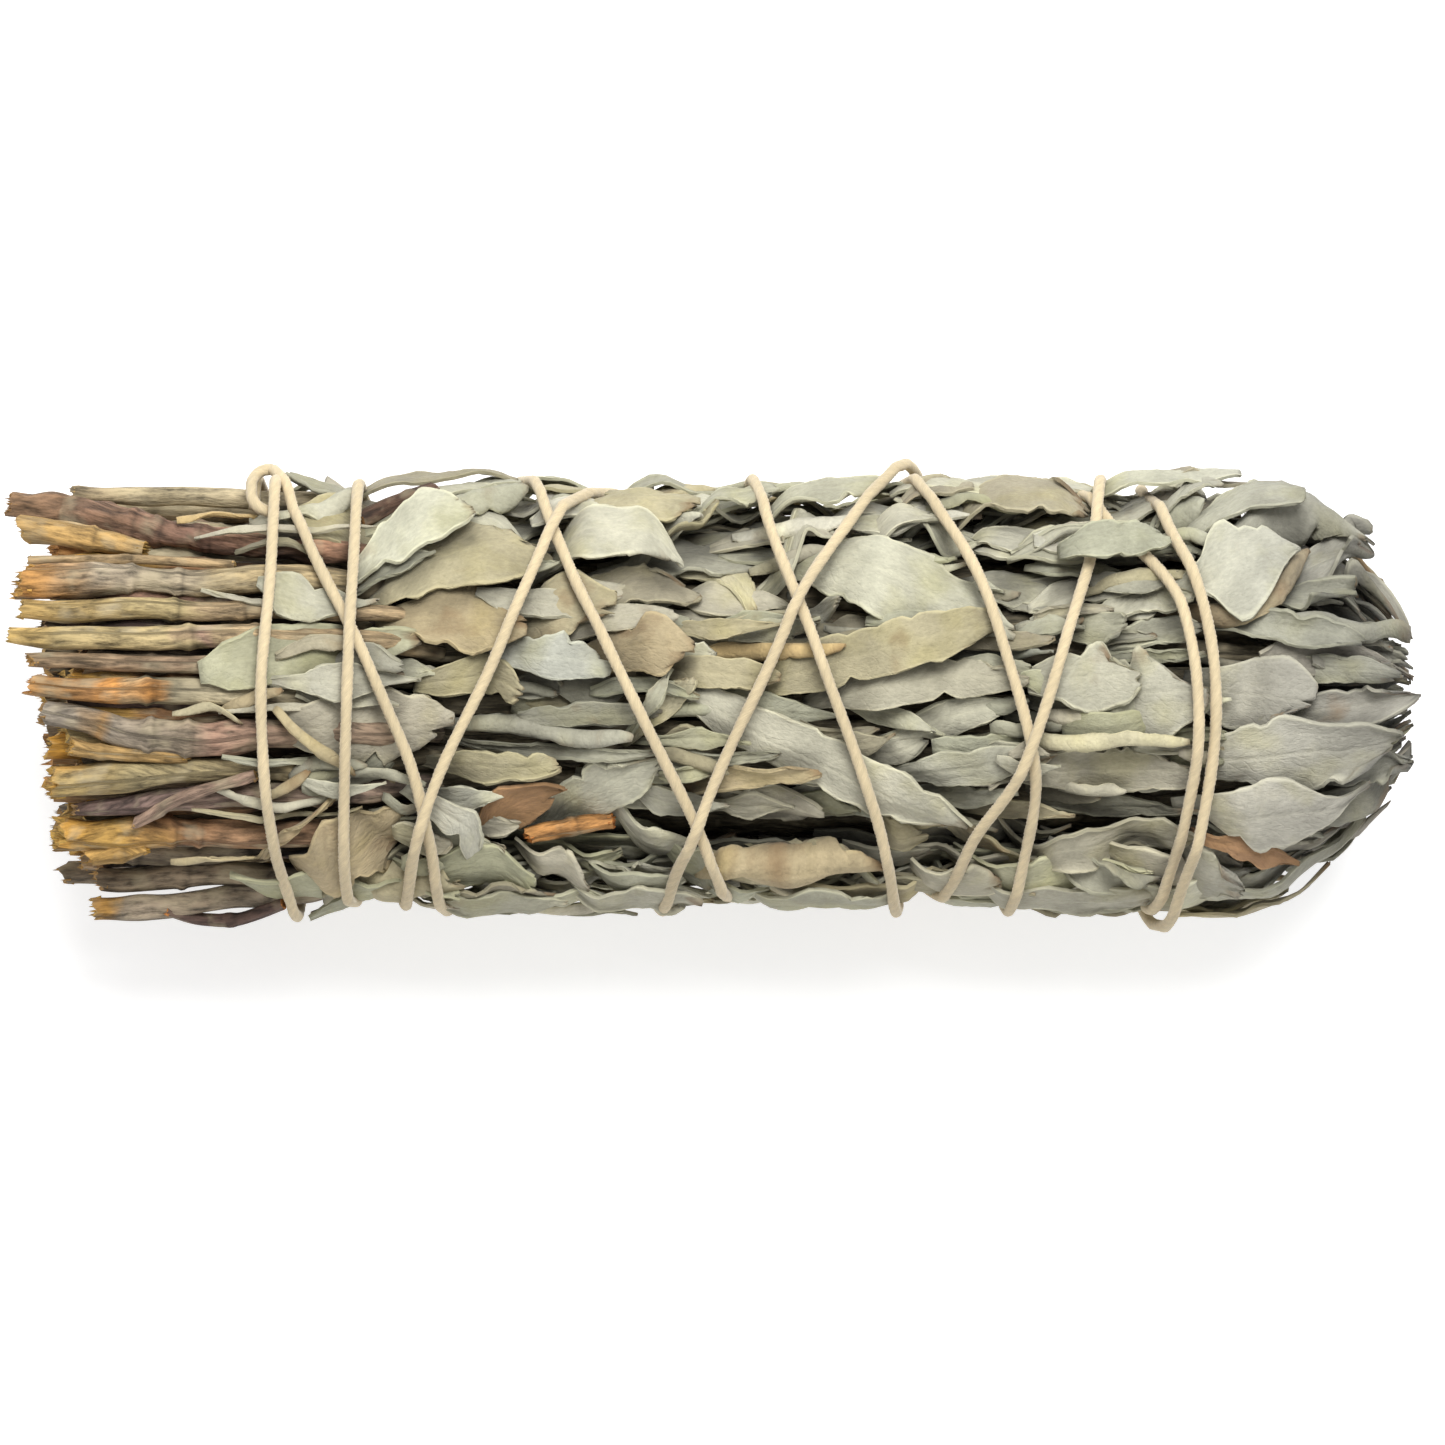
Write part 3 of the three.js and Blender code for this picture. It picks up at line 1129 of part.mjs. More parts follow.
// ---------------------------------------------------------------- the bundle
function sageBundle() {
  const shoots = allShoots();
  shoots.forEach(mapShoot);
  layTips(shoots, CORE_SHOOT, [3.4], 31);
  layTips(shoots, INNER_SHOOT, [8.6, 6.8], 32);
  layPressedLeaves(shoots);
  keepRootsFree();
  keepCrossingsLow();
  layFrontAndBack(shoots);
  const twine = twinePoints();
  twine.forEach(({ x, angle, r }) => {
    for (let off = -0.9; off <= 0.91; off += 0.3) {
      leafMap.raise(x + off, angle, r + TWINE_RADIUS, -1);
      leafMap.raise(x, angle + off / UNROLLED_RADIUS, r + TWINE_RADIUS, -1);
    }
  });
  OVER_LEAVES.forEach((row, n) => {
    layLeaf(shoots, row, angleSeenAt, 600 + n, OVER_TWINE, false);
  });

  const bundle = new THREE.Group();
  const tones = [COLORS.sage, COLORS.olive, COLORS.grey, COLORS.sage, COLORS.tan];
  shoots.forEach((one, index) => {
    const solid = joined([shootBody(one), ...one.leaves.map(leafBody)]);
    const name = `leafy_stem_${String(index + 1).padStart(2, '0')}`;
    bundle.add(meshOf(solid, name, tones[index % tones.length], 0.9));
  });
  const route = thinned(twine, 0.22);
  const cord = joined([tubeSolid(route, TWINE_RADIUS, TWINE_SIDES), knotLoop(twine)]);
  bundle.add(meshOf(cord, 'binding_twine', COLORS.twine, 0.8));
  return bundle;
}

export default sageBundle();
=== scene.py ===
"""A dried bundle of white sage, bound with cotton twine and lying on its side."""

import math
from functools import partial

import bpy
import numpy as np
from bpy.props import FloatProperty, FloatVectorProperty, PointerProperty
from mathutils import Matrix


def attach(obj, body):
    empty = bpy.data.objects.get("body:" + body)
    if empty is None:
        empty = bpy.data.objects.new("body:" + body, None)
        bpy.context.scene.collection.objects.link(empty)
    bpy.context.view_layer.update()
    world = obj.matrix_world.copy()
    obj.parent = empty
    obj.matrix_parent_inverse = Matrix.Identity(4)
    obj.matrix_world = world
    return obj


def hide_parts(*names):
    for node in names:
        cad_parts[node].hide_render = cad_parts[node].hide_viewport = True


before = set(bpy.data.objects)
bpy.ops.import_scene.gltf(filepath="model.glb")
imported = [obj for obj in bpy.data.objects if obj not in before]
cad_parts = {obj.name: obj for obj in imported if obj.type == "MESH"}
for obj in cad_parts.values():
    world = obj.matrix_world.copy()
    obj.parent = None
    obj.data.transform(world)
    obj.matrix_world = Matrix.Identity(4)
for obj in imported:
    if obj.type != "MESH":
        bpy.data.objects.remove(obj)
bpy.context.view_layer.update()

bl_info = {
    "name": "Sage bundle",
    "version": (1, 0, 0),
    "blender": (4, 5, 0),
    "location": "3D View > Sidebar > Sage",
    "description": "Dresses a dried sage bundle with leaves, stems and twine",
    "category": "Add Mesh",
}

# ---------------- given lists
# The stems seen from above, from +Y to -Y: the angle of the shoot each one leads into, and its
# route as (x, y, radius).
FRONT_STEMS = [
    (80, [(-56.5, 17.9, 0.55), (-50, 17.5, 0.75), (-42, 17.1, 0.8), (-35, 17, 0.8)]),
    (62, [(-62.3, 16.9, 0.9), (-58, 16.2, 1.2), (-53, 15, 1.4), (-45, 13.5, 0.95),
          (-33, 12.4, 0.9)]),
    (43, [(-60.4, 9.8, 1.4), (-55, 9.8, 1.4), (-50, 9.9, 1), (-43, 9.7, 1.1), (-37, 9.8, 1.2)]),
    (30, [(-60.4, 7.2, 0.75), (-54, 7.2, 0.9), (-47, 7.2, 0.8), (-31, 7, 0.65)]),
    (17.5, [(-61.4, 5.2, 0.6), (-57, 4.8, 0.95), (-50, 4.7, 0.95), (-42, 4.9, 1), (-31, 4.5, 0.9)]),
    (6, [(-59.8, 2.8, 0.6), (-52, 2.6, 0.65), (-45, 2.5, 0.7), (-36, 2.1, 0.75)]),
    (-5, [(-59.6, 0.7, 0.8), (-54, 0.3, 0.9), (-48, 0.2, 1.1), (-38, -0.1, 1)]),
    (-16, [(-58.6, -1.7, 0.9), (-55, -2.4, 1.1), (-51, -3.4, 1.2), (-45, -4.1, 1.35),
           (-34, -3.4, 1.1)]),
    (-28, [(-57.9, -7.8, 1.3), (-52, -7.3, 1.3), (-47, -6.9, 1), (-41, -6.7, 0.8)]),
    (-40, [(-56, -10.2, 0.5), (-51, -9.8, 0.75), (-46, -9.2, 1), (-38, -8.7, 1)]),
    (-54, [(-57.5, -12.1, 1.1), (-52, -12.3, 1.3), (-45, -12.3, 1.1), (-37, -12.3, 1.1)]),
    (-70, [(-54.4, -16.4, 1), (-46, -16.2, 1), (-37, -15.9, 0.95)]),
    (-86, [(-54.6, -19.2, 0.95), (-50, -19, 1.05), (-45, -18.4, 0.95), (-36, -17.6, 0.9)]),
]

# The leaves seen from above: (root x, root y, tip x, tip y, width, bend, cup, form, tone).
# bend moves the middle of the leaf sideways, cup lifts (+) or lowers (-) its edges, and form
# is l for a lance-shaped leaf, b for a broad or broken one and r for a rolled or folded strip.
FRONT_LEAVES = [
    (52.5, -8.2, 62.2, -5.2, 2.4, 0.4, 0.3, "b", "sage"),
    (50.8, -1.8, 62.3, 0, 3, -0.2, 0.3, "b", "pale"),
    (51, -11.4, 59.6, -10.2, 2.6, 0.3, 0.3, "b", "sage"),
    (49.5, 12.9, 58.3, 12.3, 3.4, 0.6, 0.3, "b", "pale"),
    (49, 2.4, 60.3, 1.5, 2.4, 0.2, 0.3, "b", "sage"),
    (48.5, 9.2, 56.4, 9, 2.6, 0, 0.5, "b", "sage"),
    (48, 6.6, 61.5, 6, 1.6, -0.3, 0.3, "r", "sage"),
    (46, 16.2, 58.3, 13.9, 1.9, 1.4, 0.3, "r", "sage"),
    (45.5, -15.3, 53.6, -13, 2, 0, 0.2, "l", "sage"),
    (44.3, -13.2, 51.4, -14.3, 2.2, 0, 0, "l", "brown"),
    (43.8, 6.2, 59.8, 3.5, 2.4, 0.8, -0.4, "r", "sage"),
    (43.6, 0.5, 52.4, -1, 6.8, 0, -0.2, "b", "pale"),
    (43.6, -6.1, 60.4, -3.6, 5.2, -0.4, -0.2, "b", "pale"),
    (43, 7, 52.4, 12.9, 2, -1.8, 0.3, "r", "tan"),
    (42.8, -10.6, 57.5, -7.7, 4.6, -1.2, -0.3, "l", "pale"),
    (42.6, 10.2, 51.4, 12.6, 7, 0.4, -0.2, "l", "pale"),
    (40.4, -15.7, 46.6, -16.4, 3.6, 0.2, -0.2, "b", "grey"),
    (40.8, 17.7, 48.6, 18.2, 1.5, 0.4, -0.2, "l", "grey"),
    (39.8, 15.9, 48.4, 16.8, 1.8, -0.2, 0.3, "r", "sage"),
    (41.6, 16.1, 52, 16.2, 1.9, 0.6, -0.3, "b", "sage"),
    (35.6, 4.9, 42.6, 5.9, 2.9, 0.5, -0.3, "b", "pale"),
    (35.5, 3.1, 43, 3.6, 1.1, 0, 0, "r", "sage"),
    (35.4, -6, 44.5, -5, 2.6, 0.4, -0.1, "l", "cream"),
    (35, 7.7, 41.8, 8.6, 3.4, 1, -0.3, "b", "pale"),
    (32, -16.4, 39.5, -17.1, 1.7, 0, 0.2, "r", "grey"),
    (31, 5.6, 36, 6.2, 3, 0, 0, "b", "sage"),
    (30.6, -10.4, 42.5, -10.6, 2.6, -0.3, -0.1, "l", "pale"),
    (30.2, -0.4, 43, 0.3, 7, 0, -0.2, "b", "pale"),
    (30, 1.2, 37.2, 1.6, 5.6, 0, -0.1, "b", "pale"),
    (28.4, -7.3, 42.4, -7.2, 4.6, 0.3, -0.2, "b", "warm"),
    (28, -2.6, 31.5, -2.6, 1.6, 0, 0.4, "r", "sage"),
    (27.6, -4.4, 41.5, -4.3, 1.2, 0, 0, "r", "cream"),
    (27, -14, 42.2, -12.9, 3.4, 0.4, -0.2, "b", "warm"),
    (26, -18.2, 42, -18.4, 1.4, 0, -0.2, "b", "grey"),
    (24.6, 10.3, 33.6, 9.4, 3.8, 0.2, -0.2, "b", "grey"),
    (24.2, 16, 33.8, 14.6, 2.2, 0.2, -0.2, "b", "pale"),
    (24.2, 13.2, 31, 12.8, 2.2, 0, -0.2, "b", "pale"),
    (24, 17.7, 33, 16.9, 2.4, 0.6, -0.4, "b", "shade"),
    (23.8, -11.2, 31.5, -10.8, 2.2, 0.2, 0.2, "l", "olive"),
    (20, -17.4, 33, -16.9, 2, 0, -0.1, "b", "warm"),
    (18.8, 3.2, 29.6, 3.6, 2.8, 0.3, -0.1, "l", "blue"),
    (18.6, -9.4, 26.6, -9, 2.6, -0.3, -0.2, "l", "grey"),
    (19, 16.4, 23.2, 13.6, 1.3, 0.4, 0, "r", "sage"),
    (17.6, -7.4, 27.8, -5.5, 3, -0.3, -0.2, "b", "grey"),
    (16.8, -3.7, 27.4, -1, 3.8, 0.4, -0.3, "l", "pale"),
    (16, -14.8, 28, -14.3, 2.8, 0.6, -0.2, "b", "olive"),
    (18.6, 18, 22.8, 18.3, 1.2, 0, 0, "b", "shade"),
    (14, 9.6, 23.6, 7, 2.4, -0.4, 0, "l", "pale"),
    (13.6, -13.2, 18.8, -13.3, 2.8, 0, 0.2, "b", "olive"),
    (11.8, -1, 20.2, -4, 2.2, 0.2, 0.2, "l", "pale"),
    (11.6, -0.4, 27.4, 1.5, 3.6, 0.7, -0.2, "b", "warm"),
    (11.3, 14, 20.8, 14.6, 2.4, 1, -0.2, "l", "pale"),
    (11.2, 12.1, 29.7, 4, 6, 0.8, -0.2, "b", "pale"),
    (9.6, -9.6, 14.4, -11.6, 2.8, 0, 0.3, "l", "blue"),
    (7.8, 7.5, 15.8, 8.8, 2.1, -0.3, 0.3, "b", "pale"),
    (7.5, 17.7, 15, 18.2, 1.4, 0, 0, "b", "sage"),
    (5.8, 13.7, 13.8, 17, 2.8, 0.3, -0.2, "b", "pale"),
    (5, -18.4, 15.8, -18.4, 1.3, 0, 0, "b", "grey"),
    (3.8, 0.7, 25, 6.2, 4.4, 0.3, -0.2, "b", "olive"),
    (3, -17, 14, -16.6, 1.5, 0.3, 0, "r", "olive"),
    (2.6, -5, 9.6, -6.4, 2.2, 0.3, 0.3, "l", "green"),
    (1, -15.7, 15, -15.2, 1.8, 0, 0, "r", "tan"),
    (2, -13.2, 9.6, -11.4, 3.4, -0.8, -0.3, "b", "warm"),
    (0.6, 17.6, 8.4, 18.2, 1.4, 0, 0, "b", "sage"),
    (0.6, -10.6, 7, -10.4, 3.2, 0, 0.3, "l", "warm"),
    (-0.8, -0.9, 22.3, -12, 4.6, -0.6, -0.2, "b", "pale"),
    (-2.4, 3.4, 11.5, 4, 1.5, 0.3, 0, "r", "straw"),
    (-2.5, -16.3, 4, -17.6, 2.2, 0, 0.4, "b", "sage"),
    (-2.6, 11.8, 3.8, 7.6, 2.6, 1.8, 0.6, "b", "cream"),
    (-3, 16.3, 5.4, 16.5, 1.5, 0, 0, "r", "olive"),
    (-3.3, 6.3, 7, 6.4, 1.9, -0.5, 0, "l", "olive"),
    (-4.6, 2.1, 5.8, 1.2, 2.8, 0.2, -0.1, "b", "olive"),
    (-4.6, -4.4, 3.2, -4.6, 2.2, 0.4, -0.3, "l", "green"),
    (-5, -3, -1.8, 1.4, 2.2, 0, 0.2, "b", "cream"),
    (-6.4, -2.2, -3.6, 2.2, 1.6, 0, 0.2, "l", "sage"),
    (-8.4, -9.5, 9.4, -7.2, 2.4, 0.6, -0.2, "r", "tan"),
    (-9.3, -13.6, -1.6, -13.6, 2.9, 0, -0.2, "b", "pale"),
    (-9.3, 7.8, -2.8, 9.4, 2.8, 0, -0.2, "b", "grey"),
    (-9.5, 17.1, -1.2, 16.9, 2, 0.5, -0.2, "b", "olive"),
    (-10, -18.2, 1, -18, 1.4, 0, 0, "b", "grey"),
    (-10.4, 14.2, 1, 15.5, 1.8, 0.2, 0, "r", "pale"),
    (-11.3, 3.2, -1.7, 3.6, 4.2, 0.8, -0.2, "b", "tan"),
    (-12, 11.9, 5.8, 11.2, 3.8, 2.6, -0.4, "b", "pale"),
    (-14.6, 15.4, -5.8, 16.8, 2.3, 0.2, -0.1, "b", "green"),
    (-15, -16.6, -5, -17, 2.4, 0, -0.1, "b", "warm"),
    (-16.2, -13.1, -4.8, -6, 4.4, 0.5, -0.3, "b", "pale"),
    (-16.5, -14.7, -9, -14, 1.5, 0, 0, "r", "splinter"),
    (-17, 7.2, -8.6, 7.2, 5.4, 0.6, -0.2, "b", "olive"),
    (-17.5, 3.6, -9, 2.6, 3.6, 0, 0, "b", "blue"),
    (-20.3, -4.9, -4.6, -5.3, 1.2, -0.5, 0, "r", "grey"),
    (-20.8, -12.8, -12.8, -8.8, 3.6, 0.9, 0.4, "b", "brown"),
    (-21, -3.2, -7, -4.1, 1.7, -0.2, 0, "r", "grey"),
    (-23.8, -6.6, -13.4, -6.6, 2.9, 0, -0.2, "b", "olive"),
    (-22.6, 17, -15.4, 14.8, 2.4, 0.5, -0.3, "l", "pale"),
    (-24, -9.7, -18, -9.5, 2.6, -0.3, 0.3, "l", "white"),
    (-23.6, 1.1, -6.2, -1.5, 4.2, 0.8, -0.2, "b", "olive"),
    (-24.8, -10, -20.4, -14.2, 2.8, 0.9, -0.5, "b", "white"),
    (-26, -17.2, -13.5, -16.4, 2.6, 0.4, -0.1, "b", "green"),
    (-23.4, 17.2, -16.4, 18, 1.2, 0.3, 0, "r", "sage"),
    (-27, 6.8, -16.4, 6.6, 6.6, 0, -0.2, "b", "tan"),
    (-28, 9.9, -14.4, 12.5, 4.8, 1.4, -0.3, "b", "olive"),
    (-29.2, 10.6, -24.4, 12.6, 2, 0.3, 0, "l", "sage"),
    (-29.8, 12, -21, 15.6, 3.4, 1, 0.3, "b", "pale"),
    (-31.5, 17, -24.8, 18.6, 1.6, 0.3, 0.2, "r", "twig"),
    (-32, -17.6, -22, -17.4, 1.7, 0, 0, "r", "olive"),
    (-32.3, -15.6, -25.6, -10, 5.2, 0, -0.2, "b", "tan"),
    (-35, -3, -22.8, -3.3, 7, 0, -0.2, "b", "warm"),
    (-36.2, -3.2, -31.4, -7.4, 1.4, 0, 0, "r", "tan"),
    (-36.5, 1, -25.6, 1.2, 2.8, 0, 0, "l", "pale"),
    (-37, -13.2, -32.6, -9, 1.2, 0, 0, "r", "tan"),
    (-38.2, -8.8, -33.8, -5.8, 1.1, 0, 0, "r", "tan"),
    (-38.3, 15.3, -31, 16.8, 1.8, 0, 0, "r", "pale"),
    (-39.6, -0.6, -35.6, 1.2, 1.5, 0.3, 0, "r", "tan"),
]

# Leaves that lie over the twine, in the same form without a tone.
OVER_LEAVES = [
    (33.2, 12.4, 40, 13.4, 2.2, 0.3, -0.2, "b"),
]

# Leaves pressed flat against the surface below: (root x, tip x, y, width).
PRESSED_LEAVES = [(-16.5, -8.4, 3, 6.4), (6.6, 14.6, -3.6, 6.6), (21.2, 26.8, 2.4, 5.4)]

# The twine's front runs in winding order, each from the +Y edge to the -Y edge as (x, y).
TWINE_RUNS = [
    [(-38.6, 18), (-35.6, 13), (-32.2, 7), (-29, 0), (-26.2, -7), (-24.6, -14), (-23.9, -19)],
    [(-17.1, 19), (-14.8, 16), (-12.3, 10), (-8.8, 3), (-5.5, -3.5), (-2.4, -10), (0.2, -15),
     (2.2, -19)],
    [(2.7, 19), (4.6, 15.5), (6.8, 10), (9, 3.5), (11.5, -3), (14, -10), (15.4, -15), (16.4, -19)],
    [(16.2, 19), (18.6, 17), (23, 11.3), (25.3, 4), (27.4, -3), (28.4, -8), (27.4, -14),
     (25.6, -19)],
    [(31, 19), (34.6, 16), (38.6, 12.2), (41, 8), (42.2, 1), (42.3, -5), (41, -12), (38.2, -19)],
    [(37.8, 19), (40, 14.5), (42.3, 9.6), (43.7, 3), (43.8, -4), (42.8, -10.5), (41, -15.8),
     (39.4, -19)],
    [(34.6, 19), (33.2, 12.5), (31, 5.5), (28.8, -1.5), (26.4, -7.5), (22.6, -13), (18.9, -19)],
    [(18.2, 19), (13, 16.4), (8.2, 9.4), (4.9, 2.5), (1.8, -4), (-1.2, -10.4), (-3.4, -15),
     (-5, -19)],
    [(-8.7, 19), (-13.6, 14.6), (-17, 8), (-20.2, 0.5), (-23.6, -6.2), (-26.2, -11.8),
     (-27.7, -19)],
    [(-31.2, 19), (-31.5, 10), (-31.9, 0), (-32.3, -10), (-32.4, -15), (-31.6, -19)],
    [(-38.4, 19), (-38.7, 10), (-39.5, 0), (-39.1, -9), (-38.2, -15), (-36.6, -19)],
]
TWINE_END = (-40.6, 18)  # where the last turn comes up to the knot
# Where each turn passes the lowest line of the bundle, as x.
TWINE_BACKS = (-20.6, 2.5, 15.9, 28.3, 40.2, 35.4, 18.9, -6.8, -29.7, -35.4, -38.8)

# ---------------- driving dimensions, mm
AXIS_HEIGHT = 18.3  # bundle axis above the surface it lies on
SIDE_STRETCH = 1.045  # the bundle is pressed a little wider than it is high
BLADE = 0.62  # thickness that the layout keeps for a leaf
GAP = 0.32  # least space between two leaves
MARGIN = 0.3  # that space again, past a leaf's edge
TWINE_RADIUS = 0.6
TWINE_VIEW_RADIUS = 19  # half the bundle's width over its twine
TWINE_GAP = 0.3  # between the twine and what lies below it
TWINE_SELF_GAP = 0.25  # between two turns where they cross
TWINE_LEAST_RADIUS = 16.4  # where it lies over nothing
TWINE_ON_FLOOR = 17  # degrees each side of the lowest line where it lies on the floor
TWINE_STEP = 1.0  # spacing of the points that the twine is laid with
KNOT_POINTS = 9  # points of the twine that lie under the knot
OVER_TWINE = 2.5  # how much higher than its limit a leaf over the twine may reach
TWINE_ROOM = 1.6  # kept free for the twine between the lowest leaves and the floor
FRONT_SHOOT = {"inner": 9.7, "outer": 12.4, "stem": 15.8, "end": 50}
BACK_SHOOT = {"inner": 9.7, "outer": 14.4, "stem": 15.8, "end": 50}
INNER_SHOOT = {"inner": 5.0, "outer": 9.5, "stem": 11.0, "end": 51.5}
CORE_SHOOT = {"inner": 0.7, "outer": 4.5, "stem": 5.2, "end": 53.5}
SHOOT_GAP = 0.5  # between the middles of neighbouring shoots
STEM_TO_SHOOT = (-37, -26)  # where a round stem swells into its shoot
STEMS_END = -20  # the stems still hold the leaves up before this x
DOME_START = 42  # where the tip end begins to round off
DOME_LENGTH = 21.5
VIEW_RADIUS = 19.3  # half the bundle's width over its leaves
REST_FRONT, REST_BACK = 13.1, 15.0  # where a leaf's face lies when nothing lifts it
OFF_RIDGE = 0.17  # shift of a root off its shoot's ridge, in half widths
ROOT_REACH = 2.4  # how far before a leaf's blade its root is sunk
LIMIT_TOP, LIMIT_SIDE, LIMIT_STEMS, LIMIT_CROSSING = 18.6, 17.9, 19.0, 17.7  # largest radii
UNROLLED_RADIUS = 17  # radius at which arcs round the bundle are measured
BACK_LEAVES = 48
ROOT_SHIFTS = (0, 1.2, 2.4)  # how much further back a root is tried, mm
BLOCKED_COST, SHIFT_COST, TURN_COST = 20, 0.15, 1.5  # what each counts for beside its height
LEAST_LIFT = 0.005  # a leaf that lies lower than it needs by less than this is left, mm
MOST_BEND = 1.8  # between a finer leaf's stations, mm
SHORTER = (1, 0.82, 0.66, 0.52, 0.4)  # shares of a leaf's length that are tried in turn
BACK_SHOOTS = 11  # stems on the side it lies on
INNER_SHOOTS = 9
CORE_SHOOTS = 3
LONG_BLADE = {
    "at": (0, 0.3, 0.66, 1),
    "l": (0.4, 1, 0.78, 0.12),
    "b": (0.62, 1, 0.94, 0.5),
    "r": (0.8, 1, 0.85, 0.4),
}
SHORT_BLADE = {"at": (0, 0.45, 1), "l": (0.4, 1, 0.2), "b": (0.66, 1, 0.6), "r": (0.8, 1, 0.5)}
SHORT = 8.7  # a blade up to this long has one station less
NARROW = 3  # a blade up to this wide has no point on its midrib
EDGE_WAVE = 0.3  # how unevenly a blade's edges rise and fall
EDGE_JITTER = 0.16  # how unevenly wide a blade is, as a share of its width
EDGE_ON = 0.985  # sine of the steepest angle that a leaf seen from above can lie at
BLOCKED = 30  # a radius that no leaf can be laid over
SHEET = 0.17  # room each side of a finer leaf's middle
PRESS = 0.35  # how far a finer leaf may press into the ones it touches
STALK = 2.6  # length of the end of a leaf that is sunk between its neighbours, mm
SHORT_STALK = 0.6  # of a leaf that lies over the twine
TIPS_FROM = 49  # past this x the leaves are broad and stand apart
STRANDS_END = -35  # before this x only narrow leaf stalks lie over the stems
HOLLOW_TRIES = 700
FILL_X = (-45, 59)  # where finer leaves may lie, and where they may begin and end
FILL_ENDS = (-48, 61.8)
FILL_DEPTH = 1.1  # least depth of a gap that takes one
TIPS_WIDTH = 2.4  # least width of one past TIPS_FROM
STRAND_WIDTHS = (0.7, 1.3)  # of the stalks over the stems
STRAND_LIFT = 1.6  # how far over the core they may lie
STRAND_SIDE = 0.9  # sine of the steepest angle that they lie at
HOLLOW_ANGLES = (66, 112)  # of the leaves in the hollows, in degrees from the top
HOLLOW_X = (-32, 54)
HOLLOW_DEPTH = 2.2  # least depth of a hollow
FILL_DROPS = (0.5, 1.3, 2.1, 3.0)  # how far below its level a finer leaf is tried, in turn
HOLLOW_DROPS = (0, 0.9, 1.8)
FILL_ROOT = (1.3, 0.4)  # how deep its first two stations are sunk under its neighbours
FILL_TIP = (0.3, 1.0)  # and its last two, where its tip is tucked in
FILL_CUP = -0.05
FILL_COVERS = 0.2  # most of a finer leaf's area that may lie over a larger leaf
FILL_SHOWS = 0.16  # least of its area that has to close a gap
# rounds of finer leaves in the gaps: how many places are tried, their lengths, widths and form
FILL_ROUNDS = (
    (500, (15, 27), (4.6, 7.6), "b"),
    (500, (12, 22), (3.4, 6.0), "l"),
    (600, (9, 18), (2.4, 4.2), "b"),
    (600, (6, 14), (1.0, 1.8), "r"),
    (400, (5, 12), (1.8, 3.4), "l"),
)
MAP_START = -66
CELL = 0.5
COLUMNS = 266
ROWS = 216
FULL_TURN = 2 * math.pi


# ---------------- small helpers
def numbers(seed):
    """A stream of repeatable numbers from 0 to 1."""
    state = seed & 0xFFFFFFFF

    def draw():
        nonlocal state
        state = (state + 0x6D2B79F5) & 0xFFFFFFFF
        mixed = ((state ^ (state >> 15)) * (state | 1)) & 0xFFFFFFFF
        folded = ((mixed ^ (mixed >> 7)) * (mixed | 61)) & 0xFFFFFFFF
        mixed ^= (mixed + folded) & 0xFFFFFFFF
        return (mixed ^ (mixed >> 14)) / 4294967296

    return draw


def mix(a, b, t):
    return a + (b - a) * t


def clamp(value, low, high):
    return min(max(value, low), high)


def smoothstep(value, low, high):
    t = np.clip((value - low) / (high - low), 0, 1)
    return t * t * (3 - 2 * t)


def stacked(*parts):
    """Arrays of matching shapes, joined along a new last axis."""
    return np.stack(np.broadcast_arrays(*parts), axis=-1)


def place(x, angle, r):
    """Millimetres in the shared frame, from a place along, round and out from the axis."""
    y = SIDE_STRETCH * r * np.sin(angle)
    z = AXIS_HEIGHT + r * np.cos(angle)
    return stacked(x, y, z)


def dome(x):
    """How much of the full radius is left at x, where the tips round off."""
    past = np.clip((x - DOME_START) / DOME_LENGTH, 0, 0.97)
    return np.sqrt(1 - past * past)


def angle_seen_at(x, y):
    """The angle whose surface point is seen at y from above."""
    return math.asin(clamp(y / (VIEW_RADIUS * float(dome(x))), -EDGE_ON, EDGE_ON))


def rest_radius(x, angle):
    """Where a leaf rests when nothing below lifts it."""
    rest = mix(REST_FRONT, REST_BACK, smoothstep(-math.cos(angle), -0.15, 0.3))
    return min(float(rest), VIEW_RADIUS * float(dome(x)) / SIDE_STRETCH - 1.0)


def floor_radius(angle, height):
    """The radius at which the surface below lies, seen from the axis."""
    down = -math.cos(angle)
    return height / down if down > 0.3 else math.inf


class SurfaceMap:
    """The unrolled bundle in cells: the highest surface so far, and whose it is."""

    def __init__(self):
        self.top = np.zeros(COLUMNS * ROWS)
        self.owner = np.full(COLUMNS * ROWS, -1)

    @staticmethod
    def cell(x, angle):
        column = np.clip(np.floor((x - MAP_START) / CELL), 0, COLUMNS - 1).astype(int)
        turn = angle / FULL_TURN
        row = np.floor((turn - np.floor(turn)) * ROWS).astype(int) % ROWS
        return column * ROWS + row

    def raise_to(self, x, angle, r, owner):
        cells = self.cell(np.asarray(x, float), np.asarray(angle, float))
        new = np.zeros(COLUMNS * ROWS)
        np.maximum.at(new, cells.ravel(), np.broadcast_to(r, cells.shape).ravel())
        higher = new > self.top
        self.top[higher] = new[higher]
        self.owner[higher] = owner


